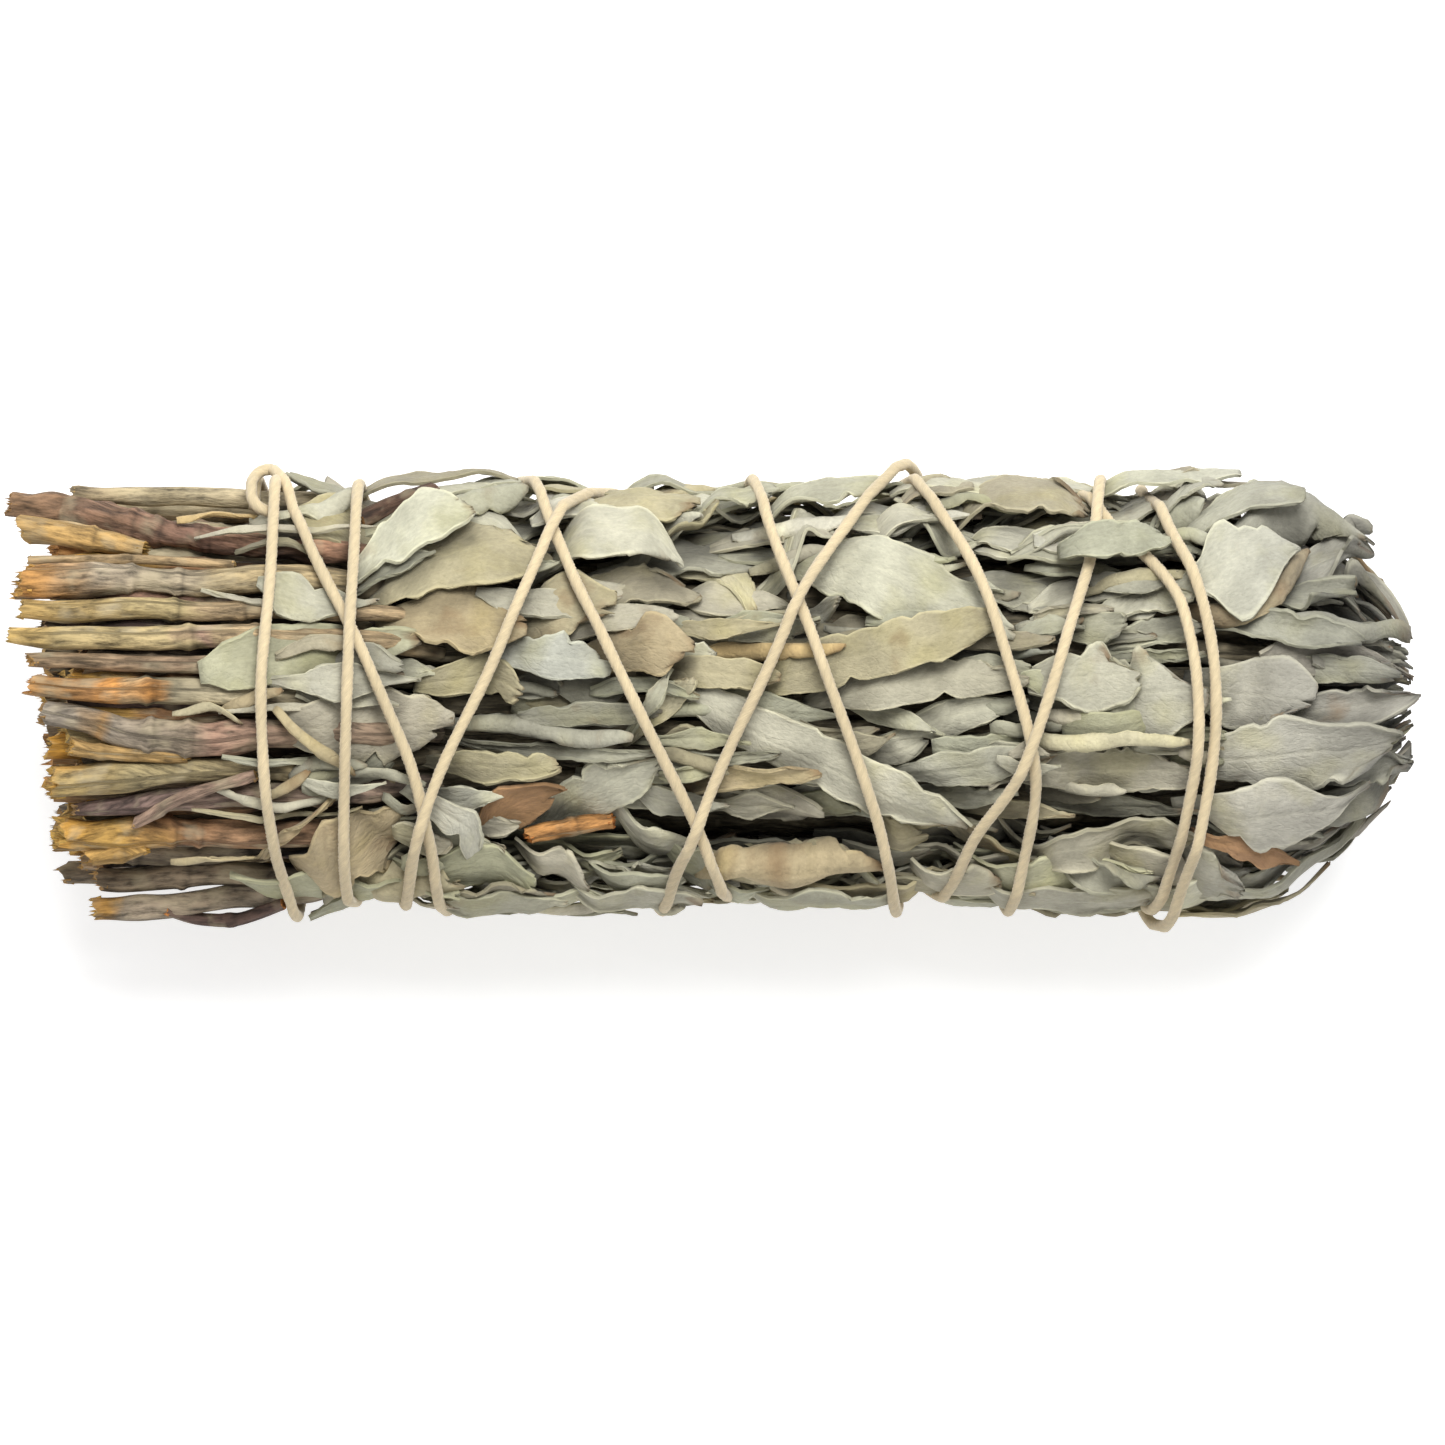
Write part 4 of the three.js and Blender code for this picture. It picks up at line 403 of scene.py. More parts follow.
# ---------------- stems and shoots
class Shoot:
    """One shoot of a ring: its kind, its angle and the angles halfway to its neighbours."""

    def __init__(self, kind, angle, low, high, route):
        self.kind, self.angle, self.low, self.high, self.route = kind, angle, low, high, route
        self.sides = 8 if kind is FRONT_SHOOT else 6
        self.leaves, self.fill = [], []
        self.outer = kind is FRONT_SHOOT or kind is BACK_SHOOT

    def stem_at(self, x):
        """Angle, radius and thickness of the round stem at x."""
        xs = [point[0] for point in self.route]
        return [float(np.interp(x, xs, [point[k] for point in self.route])) for k in (1, 2, 3)]

    def outline_at(self, x, sides=None, deeper=0.0):
        """The closed outline at x, as [angle, r] rows: a round stem that turns into a rounded
        piece of a ring, and closes to a bud at the tip end."""
        kind = self.kind
        swell = smoothstep(x, *STEM_TO_SHOOT)
        stem_angle, stem_r, stem_radius = self.stem_at(x)
        bud = 1 - 0.45 * smoothstep(x, kind["end"] - 9, kind["end"])
        lean = mix(1, dome(x), 0.8)
        middle = lean * (kind["inner"] + kind["outer"]) / 2
        deep = bud * ((kind["outer"] - kind["inner"]) / 2 - deeper)
        sides = sides or self.sides
        phase = FULL_TURN * np.arange(sides) / sides
        across, out = np.sin(phase), np.cos(phase)
        r = middle + deep * np.clip(1.35 * out, -1, 1)
        side = np.where(across > 0, self.high - self.angle, self.angle - self.low)
        reach = np.maximum(side - SHOOT_GAP / 2 / r, 0.02) * bud
        in_shoot = self.angle + reach * np.clip(1.35 * across, -1, 1)
        in_stem = stem_angle + stem_radius * across / stem_r
        return np.stack(
            [mix(in_stem, in_shoot, swell), mix(stem_r + stem_radius * out, r, swell)], axis=1
        )

    def centre_at(self, x):
        """Angle, half angle, radius and half depth of the shoot at x."""
        outline = self.outline_at(x)
        low, high = outline.min(0), outline.max(0)
        (angle, r), (half_angle, deep) = (high + low) / 2, (high - low) / 2
        return angle, half_angle, r, deep


def front_route(route):
    made = []
    for x, y, radius in route:
        r = max(FRONT_SHOOT["stem"], abs(y) / SIDE_STRETCH + 0.25)
        made.append((x, math.asin(y / (SIDE_STRETCH * r)), r, radius))
    return made


def hidden_route(kind, angle, random):
    end = -60.5 + 5.5 * random()
    radius = (0.85 if kind is BACK_SHOOT else 1.25) + 0.35 * random()
    r = kind["stem"] - 0.2
    turned = angle + 0.8 * (random() - 0.5) / kind["stem"]
    bent = angle + 0.6 * (random() - 0.5) / kind["stem"]
    return [
        (end, turned, r, 0.92 * radius),
        (end + 9, bent, r, radius),
        (-38, angle, r, 0.95 * radius),
    ]


def ring_of_shoots(kinds, angles, routes):
    made = []
    for i, angle in enumerate(angles):
        before = angles[-1] + FULL_TURN if i == 0 else angles[i - 1]
        after = angles[0] - FULL_TURN if i == len(angles) - 1 else angles[i + 1]
        made.append(Shoot(kinds[i], angle, (angle + after) / 2, (angle + before) / 2, routes[i]))
    return made


def hidden_ring(kind, count, first, random):
    angles = [first - i * FULL_TURN / count for i in range(count)]
    routes = [hidden_route(kind, angle, random) for angle in angles]
    return ring_of_shoots([kind] * count, angles, routes)


def all_shoots():
    random = numbers(11)
    front = [math.radians(angle) for angle, _ in FRONT_STEMS]
    last = front[0] - FULL_TURN
    back = [mix(front[-1], last, (i + 1) / (BACK_SHOOTS + 1)) for i in range(BACK_SHOOTS)]
    routes = [front_route(route) for _, route in FRONT_STEMS]
    routes += [hidden_route(BACK_SHOOT, angle, random) for angle in back]
    kinds = [FRONT_SHOOT] * len(front) + [BACK_SHOOT] * len(back)
    return [
        *ring_of_shoots(kinds, front + back, routes),
        *hidden_ring(INNER_SHOOT, INNER_SHOOTS, 0.35, random),
        *hidden_ring(CORE_SHOOT, CORE_SHOOTS, 0.9, random),
    ]


# ---------------- leaves, laid one by one
class Leaf:
    """A blade as stations along it. Every station has a radius and 2 or 3 points across."""

    def __init__(self, x, angle, offset, r, form):
        self.x, self.angle, self.offset, self.r, self.form = x, angle, offset, r, form
        self.stem, self.seed, self.tone, self.stalk = -1, 0, "sage", 0.0
        self.root_fixed = self.seen = False

    def at(self, i, u, v):
        """Points of the blade: u from station i to the next, v across from -1 to 1."""
        count = self.x.shape[1] - 1
        held = np.clip(v, -1, 1)
        across = (held + 1) / 2 * count
        k = np.minimum(np.floor(across).astype(int), count - 1)
        t = across - k
        past = (v - held) / 2

        def blend(values, spread):
            a = mix(values[i][k], values[i][k + 1], t)
            b = mix(values[i + 1][k], values[i + 1][k + 1], t)
            if not spread:
                return mix(a, b, u)
            wide = mix(values[i][count] - values[i][0], values[i + 1][count] - values[i + 1][0], u)
            return mix(a, b, u) + past * wide

        offset = blend(self.offset, False)
        return blend(self.x, True), blend(self.angle, True), offset

    def over(self, samples, most=1.05):
        """For every stretch that samples cover: its number, shares along it, x, angle, offset."""
        for i, u, v in samples:
            share = np.minimum(u, most)
            yield (i, share, *self.at(i, share, v))

    def samples(self, step=0.3):
        """For every stretch of the blade, the shares along and across that cover it and MARGIN
        past its edges."""
        made = []
        ends = np.array([0.0, 1.0, 0.5, 0.5])
        last = len(self.r) - 2
        for i in range(last + 1):
            x, angle, _ = self.at(i, ends, np.array([0.0, 0.0, -1.0, 1.0]))
            s = UNROLLED_RADIUS * angle
            length = math.hypot(x[1] - x[0], s[1] - s[0])
            wide = math.hypot(x[3] - x[2], s[3] - s[2])
            reach = 1 + 2 * MARGIN / max(wide, 0.5)
            steps_u = max(2, math.ceil(length / step))
            steps_v = max(4, math.ceil(wide * reach / step))
            extra = math.ceil(MARGIN / step) if i == last else 0
            u = np.arange(steps_u + extra + 1) / steps_u
            v = reach * (2 * np.arange(steps_v + 1) / steps_v - 1)
            grid_u, grid_v = np.meshgrid(u, v, indexing="ij")
            made.append((i, grid_u.ravel(), grid_v.ravel()))
        return made


def blade_from(row, to_angle, random, shift=0.0, seen=False, stations=None):
    """A blade from its row in a list. to_angle turns the row's sideways measure to an angle."""
    root_x, root_y, tip_x, tip_y, width, bend, cup, form = row
    start = root_x - shift
    length = math.hypot(tip_x - start, tip_y - root_y)
    along = ((tip_x - start) / length, (tip_y - root_y) / length)
    narrow = form == "r" or width < NARROW
    shape = SHORT_BLADE if length < SHORT else LONG_BLADE
    if stations:
        at = np.linspace(0, 1, stations)
        shape = {"at": at, form: np.interp(at, LONG_BLADE["at"], LONG_BLADE[form])}
    xs, angles, offsets, radii = [], [], [], []
    for i, t in enumerate(shape["at"]):
        sway = 4 * t * (1 - t) * bend
        half = width / 2 * shape[form][i]
        centre = (start + along[0] * length * t, root_y + along[1] * length * t)
        xs.append([])
        angles.append([])
        offsets.append([])
        for side in (-1, 1) if narrow else (-1, 0, 1):
            edge = side * half * (1 + EDGE_JITTER * (random() - 0.5)) + sway
            x = centre[0] - along[1] * edge
            y = centre[1] + along[0] * edge
            xs[-1].append(x)
            angles[-1].append(to_angle(x, y))
            offsets[-1].append(0 if side == 0 else cup + EDGE_WAVE * (random() - 0.5))
        off = abs(centre[1] + along[0] * sway) if seen else 0
        held = min(off / (EDGE_ON * SIDE_STRETCH), LIMIT_SIDE - 0.3)
        radii.append(max(rest_radius(centre[0], to_angle(*centre)), held))
    leaf = Leaf(np.array(xs), np.array(angles), np.array(offsets, float), np.array(radii), form)
    return leaf


def add_root(leaf, shoot, index, reach=ROOT_REACH):
    """Adds the root strip that joins a blade to its shoot."""
    x = min(leaf.x[0].min() - reach, shoot.kind["end"] - 1)
    angle, half_angle, centre_r, deep = shoot.centre_at(x)
    turns = round((leaf.angle[0][0] - angle) / FULL_TURN)
    half = min(0.55 * half_angle, 1.1 / centre_r)
    count = leaf.x.shape[1]
    side = np.linspace(-1, 1, count)
    leaf.x = np.vstack([np.full(count, x), leaf.x])
    leaf.angle = np.vstack([angle + turns * FULL_TURN + (side + OFF_RIDGE) * half, leaf.angle])
    leaf.offset = np.vstack([np.zeros(count), leaf.offset])
    leaf.r = np.concatenate([[centre_r + 0.4 * deep], leaf.r])
    leaf.stem = index
    leaf.root_fixed = True
    return leaf


class Weave:
    """The sheets that lie over every cell of the unrolled bundle, each from its lowest to its
    highest radius, and the core below them."""

    LAYERS = 9

    def __init__(self, core):
        cells = COLUMNS * ROWS
        self.low = np.full((cells, self.LAYERS), np.inf)
        self.high = np.full((cells, self.LAYERS), np.inf)
        self.count = np.zeros(cells, int)
        self.core = core
        self.top = core.copy()
        self.kept = np.zeros(cells, bool)
        angle = (np.arange(ROWS) + 0.5) / ROWS * FULL_TURN
        ground = [floor_radius(a, AXIS_HEIGHT - 0.35) for a in angle]
        x = MAP_START + CELL * (np.arange(COLUMNS) + 0.5)
        outline = VIEW_RADIUS * dome(x) / SIDE_STRETCH - 0.3
        self.ceiling = np.minimum(np.array(ground)[None, :], outline[:, None]).ravel()

    def add(self, x, angle, r, half, kept):
        """Adds a sheet. A kept one is not to be covered."""
        cells = SurfaceMap.cell(x, angle)
        low, high = np.full(len(self.top), np.inf), np.full(len(self.top), -np.inf)
        np.minimum.at(low, cells, r - half)
        np.maximum.at(high, cells, r + half)
        met = np.unique(cells)
        layer = np.minimum(self.count[met], self.LAYERS - 1)
        self.low[met, layer], self.high[met, layer] = low[met], high[met]
        self.count[met] += 1
        over = high[met] > self.top[met]
        self.kept[met[over]] = kept
        self.top[met[over]] = high[met[over]]

    def hold(self, leaf, shares, cells, offsets):
        """Bends a leaf over the sheets just below it and under the ones just above. True if it
        finds its way between them."""
        starts = np.cumsum([0] + [len(u) for u in shares])
        u, cell, offset = np.concatenate(shares), np.concatenate(cells), np.concatenate(offsets)
        stretch = np.repeat(np.arange(len(shares)), np.diff(starts))
        low, high = self.low[cell], self.high[cell]
        middle = (low + high) / 2
        core, ceiling = self.core[cell] + 0.1, self.ceiling[cell]
        for _ in range(16):
            r = mix(leaf.r[stretch], leaf.r[stretch + 1], u) + offset
            above = middle > r[:, None]
            floor = np.maximum(np.where(above, 0, high).max(1), core) + SHEET
            roof = np.minimum(np.where(above, low, np.inf).min(1), ceiling) - SHEET
            short, over = floor - r, r - roof
            worst = 0.0
            for i in range(len(shares)):
                part = slice(starts[i], starts[i + 1])
                for past, way in ((short[part], 1), (over[part], -1)):
                    j = int(past.argmax())
                    if past[j] < 0.03:
                        continue
                    b = float(u[starts[i] + j])
                    a = 1 - b
                    leaf.r[i] += 0.8 * way * past[j] * a / (a * a + b * b)
                    leaf.r[i + 1] += 0.8 * way * past[j] * b / (a * a + b * b)
                    worst = max(worst, float(past[j]))
            if worst < 0.1:
                break
        bend = np.abs(np.diff(leaf.r, 2)).max() if len(leaf.r) > 2 else 0
        return worst < PRESS and bend < MOST_BEND


class Layout:
    """Everything that is laid down before a mesh is made: shoots, their leaves and the twine."""

    def __init__(self):
        self.stem_map, self.leaf_map = SurfaceMap(), SurfaceMap()
        self.ghost_map, self.crossing_map = SurfaceMap(), SurfaceMap()
        self.shoots = all_shoots()
        for index, shoot in enumerate(self.shoots):
            self.map_shoot(shoot, index)
        self.lay_tips(CORE_SHOOT, (3.4,), 31)
        self.lay_tips(INNER_SHOOT, (8.6, 6.8), 32)
        self.lay_pressed_leaves()
        self.keep_free()
        self.lay_front_and_back()
        self.twine = self.twine_points()
        self.mark_twine()
        for n, row in enumerate(OVER_LEAVES):
            self.lay_leaf(row, angle_seen_at, 600 + n, OVER_TWINE, False)
        self.fill_gaps()

    def map_shoot(self, shoot, index):
        xs = np.arange(shoot.route[0][0], shoot.kind["end"], CELL / 2)
        t = np.arange(0, 0.95, 0.1)
        x_all, angle_all, r_all = [], [], []
        for x in xs:
            outline = shoot.outline_at(x)
            following = np.roll(outline, -1, axis=0)
            points = outline[:, None] + (following - outline)[:, None] * t[None, :, None]
            angle_all.append(points[..., 0].ravel())
            r_all.append(points[..., 1].ravel())
            x_all.append(np.full(r_all[-1].shape, x))
        self.stem_map.raise_to(*map(np.concatenate, (x_all, angle_all, r_all)), index)

    def demands(self, leaf, samples, ghosts):
        """Per stretch of the blade: shares along it and the least radius there."""
        wanted = []
        for i, share, x, angle, offset in leaf.over(samples):
            cell = SurfaceMap.cell(x, angle)
            stem, top = self.stem_map.top[cell], self.leaf_map.top[cell]
            if i == 0:
                stem = np.where(self.stem_map.owner[cell] == leaf.stem, 0, stem)
                top = np.where(self.leaf_map.owner[cell] == leaf.stem, 0, top)
            under = np.maximum(stem, top)
            if ghosts:
                under = np.maximum(under, self.ghost_map.top[cell])
            met = under > 0
            wanted.append((share[met], (under + GAP + BLADE / 2 - offset)[met]))
        return wanted

    def settle(self, leaf, samples, ghosts):
        """Lifts the stations until the leaf clears everything below, then lets each one down as
        far as it can go. Returns how far the leaf's root is blocked."""
        wanted = self.demands(leaf, samples, ghosts)
        r = leaf.r
        rest = r.copy()
        blocked = 0.0
        free = [(u >= 0.2) if i == 0 else np.ones(len(u), bool) for i, (u, _) in enumerate(wanted)]
        for _ in range(60):
            worst = 0.0
            blocked = 0.0
            for i, (u, need) in enumerate(wanted):
                if len(u) == 0:
                    continue
                short = need - mix(r[i], r[i + 1], u)
                if i == 0 and not free[0].all():
                    blocked = max(blocked, float(short[~free[0]].max()))
                    short = np.where(free[0], short, 0)
                j = int(short.argmax())
                most, share = float(short[j]), float(u[j])
                if most < LEAST_LIFT:
                    continue
                a = 0 if i == 0 else 1 - share
                weight = a * a + share * share
                r[i] += most * a / weight
                r[i + 1] += most * share / weight
                worst = max(worst, most)
            if worst < 0.01:
                break
        for _ in range(3):
            for j in range(1, len(r)):
                low = rest[j]
                for i, far in ((j - 1, j - 1), (j, j + 1)):
                    if i == len(wanted):
                        continue
                    u, need = wanted[i]
                    near, away = (u, 1 - u) if i < j else (1 - u, u)
                    held = near > 0.2
                    if held.any():
                        low = max(low, float(((need - away * r[far])[held] / near[held]).max()))
                r[j] = min(r[j], low)
        return blocked

    @staticmethod
    def tallest(leaf):
        """How far the highest point of a leaf passes its limit."""
        lean = smoothstep(np.abs(np.sin(leaf.angle[:, 0])), 0.7, 0.9)
        over_shoots = mix(LIMIT_TOP, LIMIT_SIDE, lean)
        limit = np.where(leaf.x[:, 0] < STEMS_END, LIMIT_STEMS, over_shoots)
        return float(((leaf.r[:, None] + leaf.offset).max(1) - limit).max())

    def past_crossing(self, leaf, samples):
        """How far a leaf rises into the places where the twine crosses itself."""
        past = -math.inf
        for i, u, x, angle, offset in leaf.over(samples, math.inf):
            met = self.crossing_map.top[SurfaceMap.cell(x, angle)] > 0
            if met.any():
                past = max(past, float((mix(leaf.r[i], leaf.r[i + 1], u) + offset)[met].max()))
        return past - LIMIT_CROSSING

    @staticmethod
    def past_floor(leaf):
        """How far a leaf passes the room left above the floor."""
        room = [[floor_radius(a, AXIS_HEIGHT - TWINE_ROOM) for a in row] for row in leaf.angle]
        return float((leaf.r[:, None] + leaf.offset + BLADE / 2 - np.array(room)).max())

    def keep(self, leaf, seed, samples):
        """Adds a laid leaf to its shoot and to the map."""
        leaf.seed = seed
        self.shoots[leaf.stem].leaves.append(leaf)
        for i, share, x, angle, offset in leaf.over(samples):
            top = mix(leaf.r[i], leaf.r[i + 1], share) + offset + BLADE / 2
            self.leaf_map.raise_to(x, angle, top, leaf.stem)

    def nearest_shoots(self, angle, x, count):
        """The outer shoots whose middle is nearest to an angle."""
        found = []
        for index, shoot in enumerate(self.shoots):
            if not shoot.outer:
                continue
            off = shoot.centre_at(x)[0] - angle
            found.append((abs(math.atan2(math.sin(off), math.cos(off))), index))
        found.sort(key=lambda entry: entry[0])
        return found[:count]

    def lay_leaf(self, row, to_angle, seed, extra=0.0, ghosts=True, tone="sage"):
        """Lays one leaf: tries the nearest shoots, a root a little further back and then a
        shorter tip, and keeps the way that lifts it least. One that finds no room is left out."""
        seen = to_angle is angle_seen_at
        for share in SHORTER:
            cut = list(row)
            cut[2] = mix(row[0], row[2], share)
            cut[3] = mix(row[1], row[3], share)
            best = None
            for shift in ROOT_SHIFTS:
                first = blade_from(cut, to_angle, numbers(seed), shift, seen)
                angle = (first.angle[0][0] + first.angle[0][-1]) / 2
                for off, index in self.nearest_shoots(angle, first.x[0][0] - ROOT_REACH, 2):
                    blade = blade_from(cut, to_angle, numbers(seed), shift, seen)
                    leaf = add_root(blade, self.shoots[index], index)
                    samples = leaf.samples()
                    blocked = self.settle(leaf, samples, ghosts)
                    cost = BLOCKED_COST * blocked + self.tallest(leaf)
                    cost = cost + SHIFT_COST * shift + TURN_COST * off
                    if best is None or cost < best[0]:
                        best = (cost, leaf, samples, blocked)
            _, leaf, samples, blocked = best
            fits = self.past_floor(leaf) < 0 and self.past_crossing(leaf, samples) < extra
            if blocked < 0.02 and self.tallest(leaf) < extra and fits:
                leaf.tone, leaf.seen = tone, seen
                leaf.stalk = SHORT_STALK if extra else STALK
                self.keep(leaf, seed, samples)
                return

    def lay_pressed_leaves(self):
        """Leaves pressed flat against the surface below."""

        def to_angle(_, s):
            return math.atan(s / (SIDE_STRETCH * AXIS_HEIGHT)) - math.pi

        for n, (root_x, tip_x, y, width) in enumerate(PRESSED_LEAVES):
            row = (root_x, -y, tip_x, -y, width, 0, 0, "b")
            leaf = blade_from(row, to_angle, numbers(700 + n))
            _, index = self.nearest_shoots(to_angle(0, -y), root_x - ROOT_REACH, 1)[0]
            add_root(leaf, self.shoots[index], index, 1.4 * ROOT_REACH)
            leaf.r[1:] = 0
            for i in range(1, len(leaf.r)):
                for k, angle in enumerate(leaf.angle[i]):
                    leaf.offset[i][k] = floor_radius(angle, AXIS_HEIGHT) - BLADE / 2
            self.keep(leaf, 700 + n, leaf.samples())

    def lay_tips(self, kind, layers, seed):
        """Leaves at the tip of every inner shoot, which fill the round end."""
        random = numbers(seed)
        for index, shoot in enumerate(self.shoots):
            if shoot.kind is not kind:
                continue
            for n, radius in enumerate(layers):
                x = kind["end"] + 0.8 - 1.2 * n
                tip = mix(59, 61.8, random())
                s = shoot.angle * radius
                width = 0.9 * (shoot.high - shoot.low) * radius * mix(0.75, 0.95, random())
                bend = mix(-0.3, 0.3, random())
                row = (x, s, tip, s, min(width, 4.2), bend, 0.15, "l")
                leaf = blade_from(row, lambda _, side, radius=radius: side / radius, random)
                leaf.r = mix(radius, 0.62 * radius, np.arange(len(leaf.r)) / (len(leaf.r) - 1))
                add_root(leaf, shoot, index)
                self.keep(leaf, 800 + 10 * index + n, leaf.samples())

    def keep_free(self):
        """Marks where the leaves over the twine reach down, and where the twine crosses."""
        for root_x, root_y, _, _, width, _, _, _ in OVER_LEAVES:
            xs = np.arange(root_x - ROOT_REACH - 1, root_x + 2, CELL / 2)
            ys = np.arange(root_y - width / 3, root_y + width / 3, CELL / 2)
            for x in xs:
                self.ghost_map.raise_to(
                    np.full(len(ys), x), [angle_seen_at(x, y) for y in ys], BLOCKED, -1
                )
        way = twine_way()
        spread = np.arange(-1, 1.01, CELL / 2)
        dx, ds = np.meshgrid(spread, spread)
        for i, _ in twine_crossings(way):
            self.crossing_map.raise_to(way[i][0] + dx, way[i][1] + ds / UNROLLED_RADIUS, 1, 0)

    def lay_front_and_back(self):
        def to_angle(_, s):
            return s / UNROLLED_RADIUS

        waiting = []
        for n, (*row, tone) in enumerate(FRONT_LEAVES):
            waiting.append((row, angle_seen_at, 100 + n, tone))
        for n, (row, tone) in enumerate(back_rows()):
            waiting.append((row, to_angle, 400 + n, tone))
        waiting.sort(key=lambda entry: -entry[0][0])
        for row, turn, seed, tone in waiting:
            self.lay_leaf(row, turn, seed, tone=tone)

    def twine_needs(self, way):
        """The least radius of the twine's middle at each point."""
        top = np.zeros(len(way))
        for dx in np.arange(-0.8, 0.81, 0.4):
            for ds in np.arange(-0.8, 0.81, 0.4):
                cell = SurfaceMap.cell(way[:, 0] + dx, way[:, 1] + ds / UNROLLED_RADIUS)
                top = np.maximum(top, np.maximum(self.leaf_map.top[cell], self.stem_map.top[cell]))
        need = np.maximum(top + TWINE_GAP + TWINE_RADIUS, TWINE_LEAST_RADIUS)
        down = -np.cos(way[:, 1])
        ground = np.where(down > 0.3, (AXIS_HEIGHT - TWINE_RADIUS) / np.maximum(down, 0.3), np.inf)
        on_floor = down > math.cos(math.radians(TWINE_ON_FLOOR))
        return np.where(on_floor, ground, np.minimum(need, ground))

    def twine_points(self):
        way = twine_way()
        base = self.twine_needs(way)
        crossings = twine_crossings(way)
        radii = base.copy()
        for _ in range(4):
            needs = base.copy()
            for i, j in crossings:
                needs[j] = max(needs[j], radii[i] + 2 * TWINE_RADIUS + TWINE_SELF_GAP)
            radii = needs.copy()
            tighten(way, radii, needs)
        return np.column_stack([way, radii])

    def fill_gaps(self):
        """Weaves finer leaves into the gaps that the larger ones leave, over the ones that lie
        lower and under the ones that lie higher."""
        self.skin_top = self.smooth_top(np.maximum(self.leaf_map.top, self.stem_map.top))
        self.weave = Weave(self.stem_map.top)
        for shoot in self.shoots:
            for leaf in shoot.leaves:
                self.weave.add(*self.spread(leaf, leaf.samples()), SHEET, leaf.seen)
        x, angle, r = self.twine.T
        off = np.arange(-0.75, 0.76, 0.25)
        twine_x = np.concatenate([(x[:, None] + off).ravel(), np.repeat(x, len(off))])
        beside = (angle[:, None] + off / r[:, None]).ravel()
        twine_angle = np.concatenate([np.repeat(angle, len(off)), beside])
        self.weave.add(twine_x, twine_angle, np.tile(np.repeat(r, len(off)), 2), TWINE_RADIUS, True)
        random = numbers(77)
        for count, lengths, widths, form in FILL_ROUNDS:
            gap = self.skin_top - self.weave.top
            places = np.nonzero(gap > FILL_DEPTH)[0]
            for _ in range(count):
                spot = int(places[int(random() * len(places))])
                length, width = mix(*lengths, random()), mix(*widths, random())
                turn, bend = mix(-0.2, 0.2, random()), mix(-1, 1, random())
                along, seed = mix(0.25, 0.8, random()), int(random() * 1e6)
                x = MAP_START + CELL * (spot // ROWS + 0.5)
                room = self.skin_top[spot] - self.weave.top[spot]
                if room < 1.0 or not FILL_X[0] < x < FILL_X[1]:
                    continue
                if x > TIPS_FROM and width < TIPS_WIDTH:
                    continue
                s = UNROLLED_RADIUS * FULL_TURN * ((spot % ROWS + 0.5) / ROWS)
                level = self.skin_top[spot]
                if x < STRANDS_END:
                    width = min(width, mix(*STRAND_WIDTHS, random()))
                    level = min(level, self.weave.core[spot] + STRAND_LIFT)
                    if abs(math.sin(s / UNROLLED_RADIUS)) > STRAND_SIDE:
                        continue
                for share in (1, 0.72, 0.5):
                    reach = share * length
                    root_x = x - along * reach * math.cos(turn)
                    tip_x = min(root_x + reach * math.cos(turn), FILL_ENDS[1])
                    if root_x < FILL_ENDS[0] or tip_x - root_x < 3:
                        continue
                    rise = math.sin(turn) * reach
                    row = (root_x, s - along * rise, tip_x, s + (1 - along) * rise)
                    wide = width * mix(0.7, 1, share)
                    if self.weave_leaf((*row, wide, bend, FILL_CUP, form), level, seed):
                        break
        self.fill_hollows(random)
        self.skin_top = self.smooth_top(np.maximum(self.weave.top, self.stem_map.top))

    def fill_hollows(self, random):
        """Leaves under the ones at the sides, where the eye looks in between them."""
        for n in range(HOLLOW_TRIES):
            angle = (1 if n % 2 else -1) * math.radians(mix(*HOLLOW_ANGLES, random()))
            x, length, width = mix(*HOLLOW_X, random()), mix(9, 18, random()), mix(2.5, 5, random())
            bend, share, seed = mix(-1, 1, random()), random(), int(random() * 1e6)
            spot = int(SurfaceMap.cell(np.array(x), np.array(angle)))
            core, top = self.weave.core[spot], self.weave.top[spot]
            if top - core < HOLLOW_DEPTH:
                continue
            s = angle * UNROLLED_RADIUS
            tip = (min(x + length, 60), s + mix(-2, 2, share))
            level = mix(core + 1, top - 0.8, 0.5 + 0.5 * share)
            row = (x, s, *tip, width, bend, FILL_CUP, "lb"[n // 2 % 2])
            self.weave_leaf(row, level, seed, HOLLOW_DROPS, True)

    def weave_leaf(self, row, level, seed, drops=FILL_DROPS, hidden=False):
        """Tries a leaf at lower and lower levels. True if one of them holds it."""
        for drop in drops:
            stations = max(3, int((row[2] - row[0]) / 2.6) + 1)
            leaf = blade_from(
                row, lambda _, side: side / UNROLLED_RADIUS, numbers(seed), stations=stations
            )
            samples = leaf.samples(0.55)
            shares, cells, offsets = [], [], []
            for _, share, x, angle, offset in leaf.over(samples):
                shares.append(share)
                cells.append(SurfaceMap.cell(x, angle))
                offsets.append(offset)
            leaf.r = (level - drop) * dome(leaf.x.mean(1)) / dome(leaf.x[0, 0])
            leaf.r[:2] -= FILL_ROOT
            if seed % 5 > 1:
                leaf.r[-2:] -= FILL_TIP
            if not self.weave.hold(leaf, shares, cells, offsets):
                continue
            r = np.concatenate([mix(leaf.r[i], leaf.r[i + 1], u) for i, u in enumerate(shares)])
            all_cells = np.concatenate(cells)
            above = r > self.weave.top[all_cells]
            shown = above & (self.skin_top[all_cells] - self.weave.top[all_cells] > 0.8)
            if (above & self.weave.kept[all_cells]).mean() > FILL_COVERS:
                continue
            if shown.mean() < FILL_SHOWS and not hidden:
                continue
            _, index = self.nearest_shoots(leaf.angle[0][0], leaf.x[0][0] - ROOT_REACH, 1)[0]
